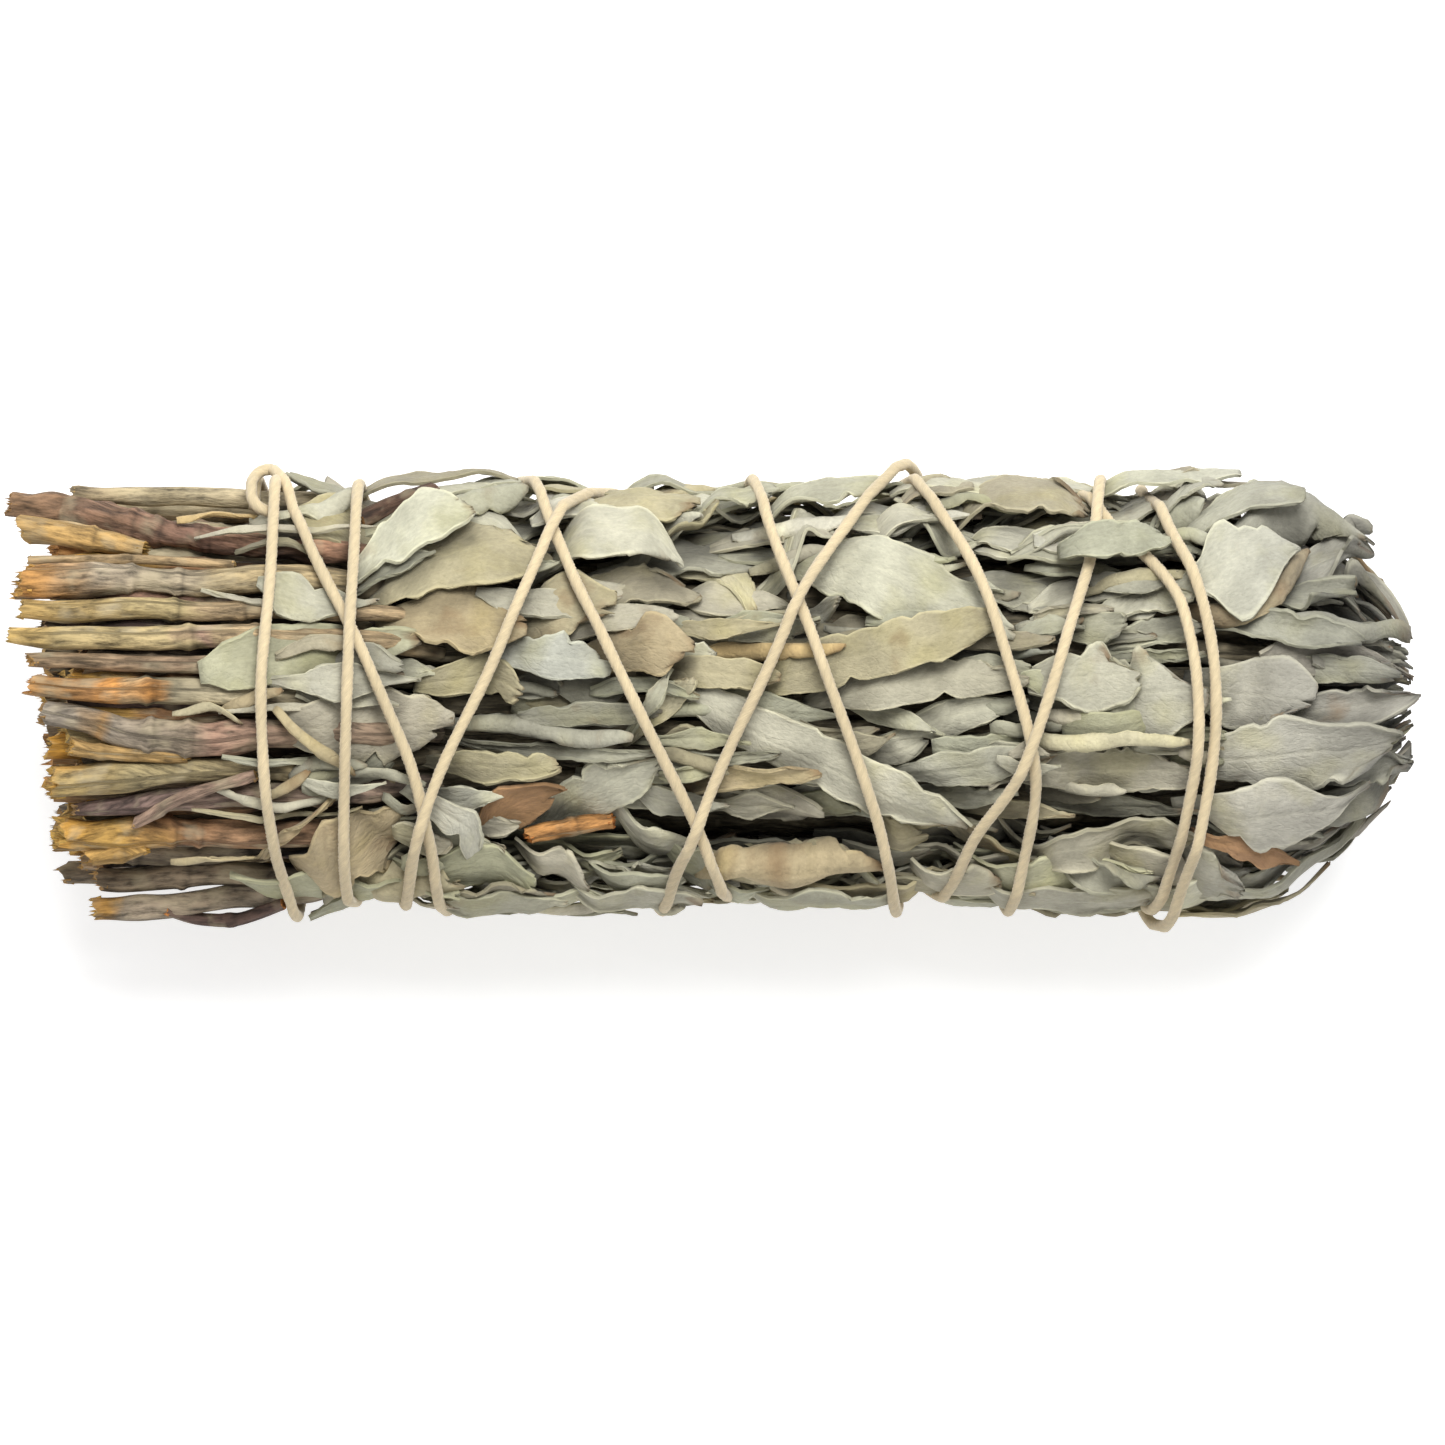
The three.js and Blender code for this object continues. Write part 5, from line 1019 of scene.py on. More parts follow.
            leaf.stem, leaf.seed = index, 1000 + seed % 90000
            self.shoots[index].fill.append(leaf)
            self.weave.add(*self.spread(leaf, samples), SHEET, False)
            return True
        return False

    @staticmethod
    def spread(leaf, samples):
        """Places and radii all over a leaf."""
        x_all, angle_all, r_all = [], [], []
        for i, share, x, angle, offset in leaf.over(samples, 1.0):
            x_all.append(x)
            angle_all.append(angle)
            r_all.append(mix(leaf.r[i], leaf.r[i + 1], share) + offset)
        return np.concatenate(x_all), np.concatenate(angle_all), np.concatenate(r_all)

    @staticmethod
    def smooth_top(top):
        """The highest surface, smoothed over a few millimetres."""
        top = top.reshape(COLUMNS, ROWS).copy()
        for _ in range(3):
            top = (top + np.roll(top, 1, 1) + np.roll(top, -1, 1)) / 3
            top[1:-1] = (top[:-2] + top[1:-1] + top[2:]) / 3
        wide = [np.maximum(top, np.roll(top, shift, 1)) for shift in (-3, 3)]
        return ((wide[0] + wide[1]) / 2).ravel()

    def depth(self, x, angle, r):
        """How deep a place lies under the leaves round it."""
        return self.skin_top[SurfaceMap.cell(x, angle)] - r

    def contact(self, x, angle, r):
        """From 0 to 1, how closely a place is overhung by the leaves and twine next to it."""
        total = 0.0
        for dx, ds in ((0, 0), (0.55, 0), (-0.55, 0), (0, 0.55), (0, -0.55)):
            over = self.weave.top[SurfaceMap.cell(x + dx, angle + ds / UNROLLED_RADIUS)] - r
            total = total + np.clip((over - 0.45) / 0.9, 0, 1)
        return total / 5

    def mark_twine(self):
        x, angle, r = self.twine.T
        for off in np.arange(-0.9, 0.91, 0.3):
            self.leaf_map.raise_to(x + off, angle, r + TWINE_RADIUS, -1)
            self.leaf_map.raise_to(x, angle + off / UNROLLED_RADIUS, r + TWINE_RADIUS, -1)


def back_rows():
    """Leaves on the side that the bundle lies on, spread by a rule."""
    random = numbers(5)
    tones = ("sage", "pale", "grey", "olive", "sage", "tan")
    rows = []
    for n in range(BACK_LEAVES):
        share = mix(0.02, 0.98, n * 0.618034 % 1)
        s = -math.pi / 2 * UNROLLED_RADIUS - math.pi * UNROLLED_RADIUS * share
        x = mix(46, -33, (n + random()) / BACK_LEAVES)
        length = mix(13, 21, random())
        turn = mix(-0.3, 0.3, random())
        form = "b" if random() < 0.3 else "l"
        width = mix(4.8, 8.0, random())
        tip_x = min(x + length * math.cos(turn), 61 - 3 * random())
        tip_s = s + length * math.sin(turn)
        row = [x, s, tip_x, tip_s, width, mix(-0.8, 0.8, random()), -0.15, form]
        rows.append((row, tones[n * 7 % len(tones)]))
    return rows


# ---------------- twine
def twine_way():
    """The twine's way as [x, angle] rows a step apart: each front run, then round the back."""
    knots = []
    for turn, run in enumerate(TWINE_RUNS):
        knots += [(x, math.asin(y / TWINE_VIEW_RADIUS) - FULL_TURN * turn) for x, y in run]
        knots.append((TWINE_BACKS[turn], -math.pi * (2 * turn + 1)))
    x, y = TWINE_END
    knots.append((x, math.asin(y / TWINE_VIEW_RADIUS) - FULL_TURN * len(TWINE_RUNS)))
    way = []
    for start, end in zip(knots, knots[1:]):
        length = math.hypot(end[0] - start[0], UNROLLED_RADIUS * (end[1] - start[1]))
        steps = max(1, int(length / TWINE_STEP + 0.5))
        shares = [n / steps for n in range(steps)]
        way += [(mix(start[0], end[0], u), mix(start[1], end[1], u)) for u in shares]
    way.append(knots[-1])
    for _ in range(8):
        for i in range(1, len(way) - 1):
            way[i] = tuple((way[i - 1][k] + 2 * way[i][k] + way[i + 1][k]) / 4 for k in (0, 1))
    return np.array(way)


def twine_crossings(way):
    """Pairs of points where a later stretch of twine passes over an earlier one."""
    pairs = []
    reach = 2 * TWINE_RADIUS + TWINE_SELF_GAP / 2
    for j in range(len(way)):
        before = way[: max(j - 20, 0)]
        if len(before) == 0:
            continue
        dx = way[j][0] - before[:, 0]
        turns = np.floor((before[:, 1] - way[j][1]) / FULL_TURN + 0.5)
        ds = UNROLLED_RADIUS * (way[j][1] + turns * FULL_TURN - before[:, 1])
        near = np.nonzero((np.abs(dx) <= reach) & (np.hypot(dx, ds) < reach))[0]
        pairs += [(int(i), j) for i in near]
    return pairs


def tighten(way, radii, needs):
    """Pulls the twine tight: straight between the places where something holds it up."""
    sin, cos = np.sin(way[:, 1]).tolist(), np.cos(way[:, 1]).tolist()
    held, r = needs.tolist(), radii.tolist()
    for _ in range(60):
        for i in range(1, len(r) - 1):
            y = (r[i - 1] * sin[i - 1] + r[i + 1] * sin[i + 1]) / 2
            z = (r[i - 1] * cos[i - 1] + r[i + 1] * cos[i + 1]) / 2
            r[i] = max(held[i], math.hypot(y, z))
    radii[:] = r


# ---------------- finishes
def linear(hex_colour):
    """The linear red, green and blue of an sRGB hex value."""
    parts = [int(hex_colour[i : i + 2], 16) / 255 for i in (1, 3, 5)]
    return tuple(p / 12.92 if p <= 0.04045 else ((p + 0.055) / 1.055) ** 2.4 for p in parts)


def colour_of(name, description, hex_colour):
    """A colour property with an sRGB hex value to start from."""
    start = {"name": name, "description": description, "default": linear(hex_colour)}
    return FloatVectorProperty(**start, subtype="COLOR", size=3, min=0, max=1)


def number_of(name, description, default, **unit):
    """A number property."""
    return FloatProperty(name=name, description=description, default=default, **unit)


class SageColours(bpy.types.PropertyGroup):
    """Colours of the leaves, the stems and the twine."""

    sage: colour_of("Sage", "Most of the leaves", "#AAA893")
    pale: colour_of("Pale", "Leaves with a thick felt", "#B8B5A1")
    cream: colour_of("Cream", "Yellowed leaf stalks", "#C3BB9C")
    warm: colour_of("Warm", "Leaves dried in the sun", "#B0AA96")
    grey: colour_of("Grey", "Leaves with a worn felt", "#A6A391")
    white: colour_of("White", "Undersides of leaves", "#C1BEAD")
    blue: colour_of("Blue", "Young leaves", "#ABAB9E")
    green: colour_of("Green", "Leaves that dried fast", "#A6A489")
    olive: colour_of("Olive", "Leaves without felt", "#ABA284")
    tan: colour_of("Tan", "Old leaves", "#AFA07F")
    straw: colour_of("Straw", "Old leaf stalks", "#C2A97A")
    brown: colour_of("Brown", "Dead leaves", "#A8835F")
    # painted shade: a darker copy of the leaf colour, for leaves that lie in shade
    shade: colour_of("Shade", "Leaves low on the stem", "#9A937D")
    bruise: colour_of("Bruise", "Patches that dried first", "#7E6243")
    # painted shade: the leaf bases inside the bundle are this dark to stand for the shade between
    # the leaves
    core: colour_of("Core", "Leaf bases inside the bundle", "#5A5342")
    worn_bark: colour_of("Worn bark", "Bark that lost its surface", "#B5A88A")
    twig: colour_of("Twig", "Bark of a broken twig", "#5E4A3C")
    twig_wood: colour_of("Twig wood", "Its broken ends", "#8A6238")
    splinter: colour_of("Splinter", "A twig without bark", "#B98A52")
    splinter_wood: colour_of("Splinter wood", "Its broken ends", "#CC7F38")
    twine: colour_of("Twine", "Unbleached cotton", "#D6C49F")


def add_node(tree, kind, inputs=(), **settings):
    """Adds a node with its settings. Its inputs are links or values, by name or in order."""
    node = tree.nodes.new("ShaderNode" + kind)
    for name, value in settings.items():
        setattr(node, name, value)
    for name, value in inputs.items() if isinstance(inputs, dict) else enumerate(inputs):
        if isinstance(value, bpy.types.Node):
            value = value.outputs[0]
        if isinstance(value, bpy.types.NodeSocket):
            tree.links.new(value, node.inputs[name])
        else:
            node.inputs[name].default_value = value
    return node


def new_finish(name, specular, sockets):
    """A material with a principled shader whose constant values are set on its sockets."""
    finish = bpy.data.materials.new(name)
    finish.use_nodes = True
    tree = finish.node_tree
    shader = next(n for n in tree.nodes if n.type == "BSDF_PRINCIPLED")
    for socket, value in {"Metallic": 0.0, "Specular IOR Level": specular, **sockets}.items():
        shader.inputs[socket].default_value = value
    return finish, tree, shader


def looks_of(tree):
    """Each point's tint, and its place on the surface in millimetres."""
    tint, spot = (add_node(tree, "Attribute", attribute_name=name) for name in ("tint", "spot"))
    return tint.outputs["Color"], spot.outputs["Vector"]


def finish_with(tree, shader, colour, height, strength, distance):
    """Links a colour and a bump, whose distance is in metres, to the shader."""
    tree.links.new(colour.outputs[2], shader.inputs["Base Color"])
    bump = add_node(tree, "Bump", {"Height": height, "Strength": strength, "Distance": distance})
    tree.links.new(bump.outputs[0], shader.inputs["Normal"])


# settings of a Mix node for colours, whose inputs are its share 0 and its colours 6 and 7. A Map
# Range node's are its value and the values that it maps from and to, low and high.
BLEND = {"data_type": "RGBA"}
MULTIPLY = {"data_type": "RGBA", "blend_type": "MULTIPLY"}


def dried_leaf(name, sizes, colours):
    """White sage leaf, air dried. Its felt of fine white hairs scatters light, so the face is
    pale, matt and a little brighter at grazing angles; drying leaves wrinkles between veins."""
    felted = {"IOR": 1.45, "Roughness": 0.9, "Sheen Weight": 0.06, "Sheen Roughness": 0.5}
    finish, tree, shader = new_finish(name, 0.3, felted)
    tint, mm = looks_of(tree)
    node = partial(add_node, tree)
    split = node("SeparateXYZ", [mm])
    share = node("Attribute", attribute_name="share")
    parts = node("SeparateXYZ", [share.outputs["Vector"]])
    # mottling about 4 mm across, from uneven felt
    mottle = node("TexNoise", {"Vector": mm, "Scale": 0.3, "Detail": 3.0})
    lift = node("MapRange", [mottle, 0.3, 0.7, 0.82, 1.14])
    # hairs and fine wrinkles that run along the leaf; the hairs are 0.02 mm apart, drawn at
    # 0.2 mm so that they show
    combed = node("Mapping", {"Vector": mm, "Scale": (0.6, 1.25, 1.0)})
    felt = node("TexNoise", {"Vector": combed, "Scale": 3.0, "Detail": 5.0, "Roughness": 0.68})
    grain = node("MapRange", [felt, 0.3, 0.7, 0.85, 1.13])
    both = node("Math", [lift, grain], operation="MULTIPLY")
    toned = node("Mix", {0: 1.0, 6: tint, 7: both}, **MULTIPLY)
    # patches 6 mm across where the green or the yellow of the leaf shows through its felt
    hue = node("TexNoise", {"Vector": mm, "Scale": 0.17, "Detail": 4.0})
    yellowed = node("MapRange", [hue, 0.5, 0.66, 0.0, 0.55])
    tinged = node("Mix", {0: yellowed, 6: toned.outputs[2], 7: (0.99, 0.97, 0.72, 1)}, **MULTIPLY)
    # side veins every 1.7 mm, leaning toward the tip
    aside = node("Math", [split.outputs[1]], operation="ABSOLUTE")
    lean = node("Math", [aside, -1.5, split], operation="MULTIPLY_ADD")
    sway = node("Math", [mottle, 5.0, lean], operation="MULTIPLY_ADD")
    turn = node("Math", [sway, FULL_TURN / sizes.vein_spacing], operation="MULTIPLY")
    wave = node("Math", [turn], operation="SINE")
    vein = node("MapRange", [wave, 0.8, 1.0])
    # the midrib, 0.35 mm wide
    rib = node("MapRange", [aside, 0.32, 0.05])
    # the rim, 0.2 mm wide, stays paler than the face: partly thicker felt, partly a painted
    # highlight along the edge
    rim = node("Math", [parts.outputs[1]], operation="ABSOLUTE")
    rim_highlight = node("MapRange", [rim, 0.87, 0.97, 0.0, 0.75])
    fade = node("Math", [rib, 0.1], operation="MULTIPLY")
    rib_and_rim_highlight = node("Math", [fade, rim_highlight], operation="MAXIMUM")
    pale = node("Mix", {0: 1.0, 6: tint, 7: (1.5, 1.5, 1.4, 1)}, **MULTIPLY)
    rim_highlighted = node("Mix", {0: rib_and_rim_highlight, 6: tinged.outputs[2], 7: pale.outputs[2]}, **BLEND)
    # brown patches where the leaf was bruised or dried first
    patch = node("TexNoise", {"Vector": mm, "Scale": 0.23, "Detail": 5.0})
    tip_part = node("MapRange", [parts, 0.86, 1.0, 0.0, 0.2])
    older = node("Math", [parts.outputs[2], tip_part], operation="ADD")
    bruised = node("Math", [patch, older], operation="ADD")
    brown = node("MapRange", [bruised, 0.7, 0.95, 0.0, 0.8])
    aged = node("Mix", {0: brown, 6: rim_highlighted.outputs[2], 7: (*colours.bruise, 1)}, **BLEND)
    veined = node("Math", [vein, 0.12], operation="MULTIPLY")
    ribbed = node("Math", [rib, 0.35, veined], operation="MULTIPLY_ADD")
    raised = node("Math", [felt, ribbed], operation="ADD")
    finish_with(tree, shader, aged, raised, 0.7, 0.0003)
    return finish


def dried_bark(name, _, colours):
    """Bark of a dried sage stem. It shrank lengthways into fine dark wrinkles, with dull ridges
    and pale scars between them."""
    finish, tree, shader = new_finish(name, 0.35, {"IOR": 1.5, "Roughness": 0.8})
    tint, mm = looks_of(tree)
    node = partial(add_node, tree)
    # wrinkles 0.3 mm apart, ten times as long as they are wide
    drawn = node("Mapping", {"Vector": mm, "Scale": (0.2, 0.8, 1.0)})
    wrinkles = node("TexNoise", {"Vector": drawn, "Scale": 2.2, "Detail": 5.0, "Roughness": 0.65})
    patches = node("TexNoise", {"Vector": mm, "Scale": 0.32, "Detail": 3.0})
    dark = node("MapRange", [wrinkles, 0.34, 0.6, 0.3, 1.22])
    toned = node("Mix", {0: 1.0, 6: tint, 7: dark}, **MULTIPLY)
    bare = node("MapRange", [patches, 0.52, 0.68, 0.0, 0.5])
    worn = node("Mix", {0: bare, 6: toned.outputs[2], 7: (*colours.worn_bark, 1)}, **BLEND)
    finish_with(tree, shader, worn, wrinkles, 0.8, 0.0004)
    return finish


def cut_wood(name, *_):
    """Fresh cut and torn stem wood. Straw-gold fibres stand out of it, with a darker pith."""
    finish, tree, shader = new_finish(name, 0.5, {"IOR": 1.5, "Roughness": 0.72})
    tint, mm = looks_of(tree)
    node = partial(add_node, tree)
    # fibres about 0.15 mm across
    fibres = node("TexNoise", {"Vector": mm, "Scale": 3.0, "Detail": 4.0, "Roughness": 0.7})
    dark = node("MapRange", [fibres, 0.35, 0.65, 0.5, 1.2])
    toned = node("Mix", {0: 1.0, 6: tint, 7: dark}, **MULTIPLY)
    finish_with(tree, shader, toned, fibres, 0.7, 0.0003)
    return finish


def cotton_cord(name, *_):
    """Unbleached cotton, spun and laid as a three-ply twine. The plies show as slanting ridges,
    with short fibres that make it soft and matt."""
    fluffy = {"IOR": 1.5, "Roughness": 0.78, "Sheen Weight": 0.3, "Sheen Roughness": 0.5}
    finish, tree, shader = new_finish(name, 0.3, fluffy)
    tint, mm = looks_of(tree)
    node = partial(add_node, tree)
    # yarn fibres are 0.02 mm thick, drawn at 0.1 mm so that they show
    spun = node("Mapping", {"Vector": mm, "Scale": (0.5, 2.0, 1.0)})
    fibres = node("TexNoise", {"Vector": spun, "Scale": 3.5, "Detail": 3.0, "Roughness": 0.6})
    dark = node("MapRange", [fibres, 0.3, 0.7, 0.8, 1.1])
    toned = node("Mix", {0: 1.0, 6: tint, 7: dark}, **MULTIPLY)
    finish_with(tree, shader, toned, fibres, 0.5, 0.0001)
    return finish


def white_sweep(name):
    """Matt white board, rolled smooth, with a faint grain."""
    glow = {"Emission Color": (1, 1, 1, 1), "Emission Strength": 0.55}
    finish, tree, shader = new_finish(name, 0.5, {"IOR": 1.45, "Roughness": 0.9, **glow})
    node = partial(add_node, tree)
    where = node("TexCoord").outputs["Object"]
    grain = node("TexNoise", {"Vector": where, "Scale": 60.0, "Detail": 2.0})
    tone = node("Mix", {0: grain, 6: (0.69, 0.69, 0.69, 1), 7: (0.71, 0.71, 0.71, 1)}, **BLEND)
    tree.links.new(tone.outputs[2], shader.inputs["Base Color"])
    return finish


LEAF, BARK, WOOD = 0, 1, 2  # places of the finishes on a leafy stem
PLAIN = (0.5, 0, 0)  # a share for points that belong to no leaf
ALONG_GRAIN = (0.3, 1, 1)  # turns a place to one where wood grain is drawn out along x
LEAST_HEIGHT = 0.02  # of any point of a leaf over the floor, mm


# ---------------- skins
class Skin:
    """Points and faces of one piece, with the looks of every point, gathered until it is made."""

    def __init__(self):
        self.points, self.quads, self.tris = [], [], []
        self.quad_finish, self.tri_finish, self.quad_smooth = [], [], []
        self.tint, self.spot, self.share = [], [], []
        self.count = 0

    def add(self, points, tint, spot, share, quads=(), tris=(), flat=(), finish=LEAF):
        """Adds points with their looks, and faces that number these points from 0. Flat faces
        keep a crisp edge."""
        points = np.asarray(points).reshape(-1, 3)
        n = len(points)
        self.points.append(points)
        for kept, values in ((self.tint, tint), (self.spot, spot), (self.share, share)):
            kept.append(np.broadcast_to(np.asarray(values).reshape(-1, 3), (n, 3)))
        for faces, smooth in ((quads, True), (flat, False)):
            if len(faces):
                self.quads.append(np.asarray(faces) + self.count)
                self.quad_finish.append(np.full(len(faces), finish))
                self.quad_smooth.append(np.full(len(faces), smooth))
        if len(tris):
            self.tris.append(np.asarray(tris) + self.count)
            self.tri_finish.append(np.full(len(tris), finish))
        self.count += n

    def make(self, name, finishes):
        quads = np.concatenate(self.quads)
        tris = np.concatenate(self.tris) if self.tris else np.zeros((0, 3), int)
        mesh = bpy.data.meshes.new(name)
        mesh.vertices.add(self.count)
        metres = (np.concatenate(self.points) * 0.001).astype(np.float32)
        mesh.vertices.foreach_set("co", metres.ravel())
        mesh.loops.add(quads.size + tris.size)
        corners = np.concatenate([quads.ravel(), tris.ravel()])
        mesh.loops.foreach_set("vertex_index", corners.astype(np.int32))
        mesh.polygons.add(len(quads) + len(tris))
        starts = [np.arange(len(quads)) * 4, quads.size + np.arange(len(tris)) * 3]
        mesh.polygons.foreach_set("loop_start", np.concatenate(starts).astype(np.int32))
        finish = np.concatenate(self.quad_finish + self.tri_finish).astype(np.int32)
        mesh.polygons.foreach_set("material_index", finish)
        smooth = np.concatenate([*self.quad_smooth, np.ones(len(tris), bool)])
        mesh.polygons.foreach_set("use_smooth", smooth)
        tint = np.hstack([np.concatenate(self.tint), np.ones((self.count, 1))])
        for attribute, kind, field, values in (
            ("tint", "FLOAT_COLOR", "color", tint),
            ("spot", "FLOAT_VECTOR", "vector", np.concatenate(self.spot)),
            ("share", "FLOAT_VECTOR", "vector", np.concatenate(self.share)),
        ):
            layer = mesh.attributes.new(attribute, kind, "POINT")
            layer.data.foreach_set(field, values.astype(np.float32).ravel())
        mesh.update(calc_edges=True)
        mesh.validate()
        for finish in finishes:
            mesh.materials.append(finish)
        piece = bpy.data.objects.new(name, mesh)
        bpy.context.scene.collection.objects.link(piece)
        return piece


def smooth_through(at, values, where):
    """A smooth curve through values at places, without overshoot, read at other places."""
    at = np.asarray(at, float)
    values = np.asarray(values, float)
    h = np.diff(at)[:, None]
    slope = np.diff(values, axis=0) / h
    tangent = np.empty_like(values)
    tangent[0], tangent[-1] = slope[0], slope[-1]
    if len(at) > 2:
        before, after = slope[:-1], slope[1:]
        same = before * after > 0
        w1, w2 = 2 * h[1:] + h[:-1], h[1:] + 2 * h[:-1]
        safe_before, safe_after = np.where(same, before, 1), np.where(same, after, 1)
        tangent[1:-1] = np.where(same, (w1 + w2) / (w1 / safe_before + w2 / safe_after), 0)
    where = np.clip(where, at[0], at[-1])
    i = np.clip(np.searchsorted(at, where, side="right") - 1, 0, len(at) - 2)
    step = h[i]
    t = (where - at[i])[..., None] / step
    a, b = values[i], values[i + 1]
    ta, tb = tangent[i] * step, tangent[i + 1] * step
    ends = a * (2 * t**3 - 3 * t**2 + 1) + ta * (t**3 - 2 * t**2 + t)
    return ends + b * (3 * t**2 - 2 * t**3) + tb * (t**3 - t**2)


def ripples(s, w, random, longest=7.0, shortest=2.2, count=6):
    """A smooth uneven surface from -1 to 1, from a few waves in different directions."""
    total = np.zeros(np.broadcast(s, w).shape)
    for _ in range(count):
        wavelength = mix(longest, shortest, random())
        heading = math.pi * random()
        phase = FULL_TURN * random()
        way = s * math.cos(heading) + w * math.sin(heading)
        total = total + np.sin(FULL_TURN / wavelength * way + phase)
    return total / count * 1.6


def grid_faces(rows, columns, closed=False):
    """Quads over a grid of points, row by row; closed joins the last column to the first."""
    across = columns if closed else columns - 1
    i, k = np.meshgrid(np.arange(rows - 1), np.arange(across), indexing="ij")
    a = (i * columns + k).ravel()
    b = (i * columns + (k + 1) % columns).ravel()
    return np.stack([a, b, b + columns, a + columns], axis=1)


def end_caps(rows, columns):
    """Triangles that close a tube at its far end, and at its start."""
    last = (rows - 1) * columns
    ks = range(1, columns - 1)
    return [(last + k, last + k + 1, last) for k in ks], [(k + 1, k, 0) for k in ks]


def frames_along(way, out):
    """Unit vectors along a way, out from the bundle and across, at each of its points."""
    along = np.gradient(way, axis=0)
    along /= np.linalg.norm(along, axis=1, keepdims=True)
    out = out - along * (out * along).sum(1, keepdims=True)
    out /= np.linalg.norm(out, axis=1, keepdims=True)
    return along, out, np.cross(along, out)


def sheet_faces(rows, columns):
    """Quads for a thin leaf: its two faces, and the rim between them."""
    outer = grid_faces(rows, columns)
    inner = outer[:, ::-1] + rows * columns
    top = list(range(columns))
    right = [i * columns + columns - 1 for i in range(1, rows)]
    bottom = [(rows - 1) * columns + k for k in range(columns - 2, -1, -1)]
    left = [i * columns for i in range(rows - 2, 0, -1)]
    rim = np.array(top + right + bottom + left)
    following = np.roll(rim, -1)
    wall = np.stack([following, rim, rim + rows * columns, following + rows * columns], axis=1)
    return np.concatenate([outer, inner]), wall


WIDE_COLUMNS = np.array([-1, -0.92, -0.78, -0.58, -0.38, -0.18, 0, 0.18, 0.38, 0.58, 0.78, 0.92, 1])
MIDDLE_COLUMNS = np.array([-1, -0.88, -0.6, -0.3, 0, 0.3, 0.6, 0.88, 1])
NARROW_COLUMNS = np.array([-1, -0.8, -0.42, 0, 0.42, 0.8, 1])


def broken_line(where, random, knots):
    """An uneven line of straight pieces over -1 to 1, with values from -1 to 1."""
    at = np.linspace(-1.001, 1.001, knots)
    return np.interp(where, at, [2 * random() - 1 for _ in range(knots)])


EDGE_CORNER = 1.7  # mm between the corners of a leaf's uneven edge
EDGE_UNEVEN = 0.19  # how far they stand in or out, as a share of half the leaf's width
NICK_EVERY = 9  # mm of leaf for each nick in its edge
NICK_REACH = 0.95  # mm from a nick's deepest place to its end
TEETH = 0.28  # height of the fine teeth on an edge, mm
CURL_FROM = 0.55  # where an edge begins to curl, as a share of half the width
FLUTE = 0.17  # height of the waves along the edges of a leaf 5 mm wide, mm
DROOP = 0.5  # how far its tip may droop, mm
CREASES, FINE_CREASES = (9, 3.5, 4), (3.2, 1.3, 5)  # longest and shortest wave in mm, and count
STALK_SUNK = 1.5  # how deep the stalk end of a leaf is sunk between its neighbours, mm
STALK_WIDTH = 0.6  # of the leaf's width where the stalk begins
STEMS_BARE_TO = -34  # leaves with their middle before this x lie over bare stems
STRAND_UP_TO = 2.6  # leaves there up to this wide shrank to strands, mm
STRAND_SHARE = 0.62  # of their width that is left
IN_SIGHT = 0.94  # sine of the steepest angle at which a leaf is turned toward its row in the list
DOME_FROM = 54  # leaves that end past this x make the rounded tip of the bundle
RAISED = {"brown": 1.2}  # leaves that lie loose on the others, mm higher than in the layout


def outline_of(leaf, q, v, wide, length, random):
    """Share of the full width at every point, and how much shorter the leaf is there."""
    if leaf.form == "l":
        taper = 1 - 0.93 * np.clip((q - 0.45) / 0.55, 0, 1) ** 1.7
        cut = wide / 2 * 0.35 * broken_line(v, random, 6)
    else:
        taper = 1 - 0.45 * np.clip((q - 0.9) / 0.1, 0, 1) ** 2
        slant = mix(-0.9, 0.9, random())
        cut = wide / 2 * (0.5 * v * v + slant * v + 0.45 * broken_line(v, random, 9))
        cut = np.clip(cut, -0.2 * length, 0.3 * length)
    if not leaf.root_fixed:
        taper = taper * mix(0.6, 1, smoothstep(q, 0, 0.15))
    # the edge runs in short straight pieces, with a nick or a tear here and there
    knots = int(clamp(length / EDGE_CORNER, 5, 16))
    uneven = EDGE_UNEVEN * broken_line(2 * q - 1, random, knots)
    uneven = np.where(v < 0, uneven, EDGE_UNEVEN * broken_line(2 * q - 1, random, knots + 1))
    for _ in range(1 + int(length / NICK_EVERY)):
        place_of_nick, deep = mix(0.15, 0.95, random()), mix(0.1, 0.42, random())
        side = random() - 0.5
        nick = np.clip(1 - np.abs(q - place_of_nick) * length / NICK_REACH, 0, 1)
        uneven = uneven - deep * nick * (v * side > 0)
    teeth = np.array([random() - 0.5 for _ in range(2 * len(q))]).reshape(-1, 2)
    teeth = np.where(v < 0, teeth[:, :1], teeth[:, 1:]) * (np.abs(v) > 0.95)
    return taper * (1 + uneven) + TEETH / wide * teeth, cut * smoothstep(q, 0.5, 1)


def cross_section(columns, s, q, size, random, sizes):
    """How far a flat leaf stands off its middle surface: folds along it, and edges that curl."""
    v = columns[None, :]
    out = 0.0 * s * v
    for _ in range(1 + int(2 * random())):
        crease = columns[int(mix(2, len(columns) - 2, random()))]
        slope = mix(-1.2, 1, random()) * sizes.fold * size
        along = 0.5 + 0.5 * broken_line(2 * q - 1, random, 5)
        out = out + slope * along * (np.abs(v - crease) - 0.5)
    across = 0.0
    for side in (-1, 1):
        curl = mix(-0.5, 1, random()) * sizes.curl * size
        along = np.clip(0.3 + 1.2 * broken_line(2 * q - 1, random, 6), 0, 1)
        edge = np.clip((v * side - CURL_FROM) / (1 - CURL_FROM), 0, 1)
        out = out + curl * along * edge**2
        across = across - side * 0.25 * abs(curl) * along * edge**2
    out = out + FLUTE * size * v * v * np.sin(FULL_TURN * (s / mix(3.6, 7, random()) + random()))
    out = out + DROOP * mix(-1, 0.7, random()) * size * smoothstep(q, 0.8, 1) ** 2
    return out, across


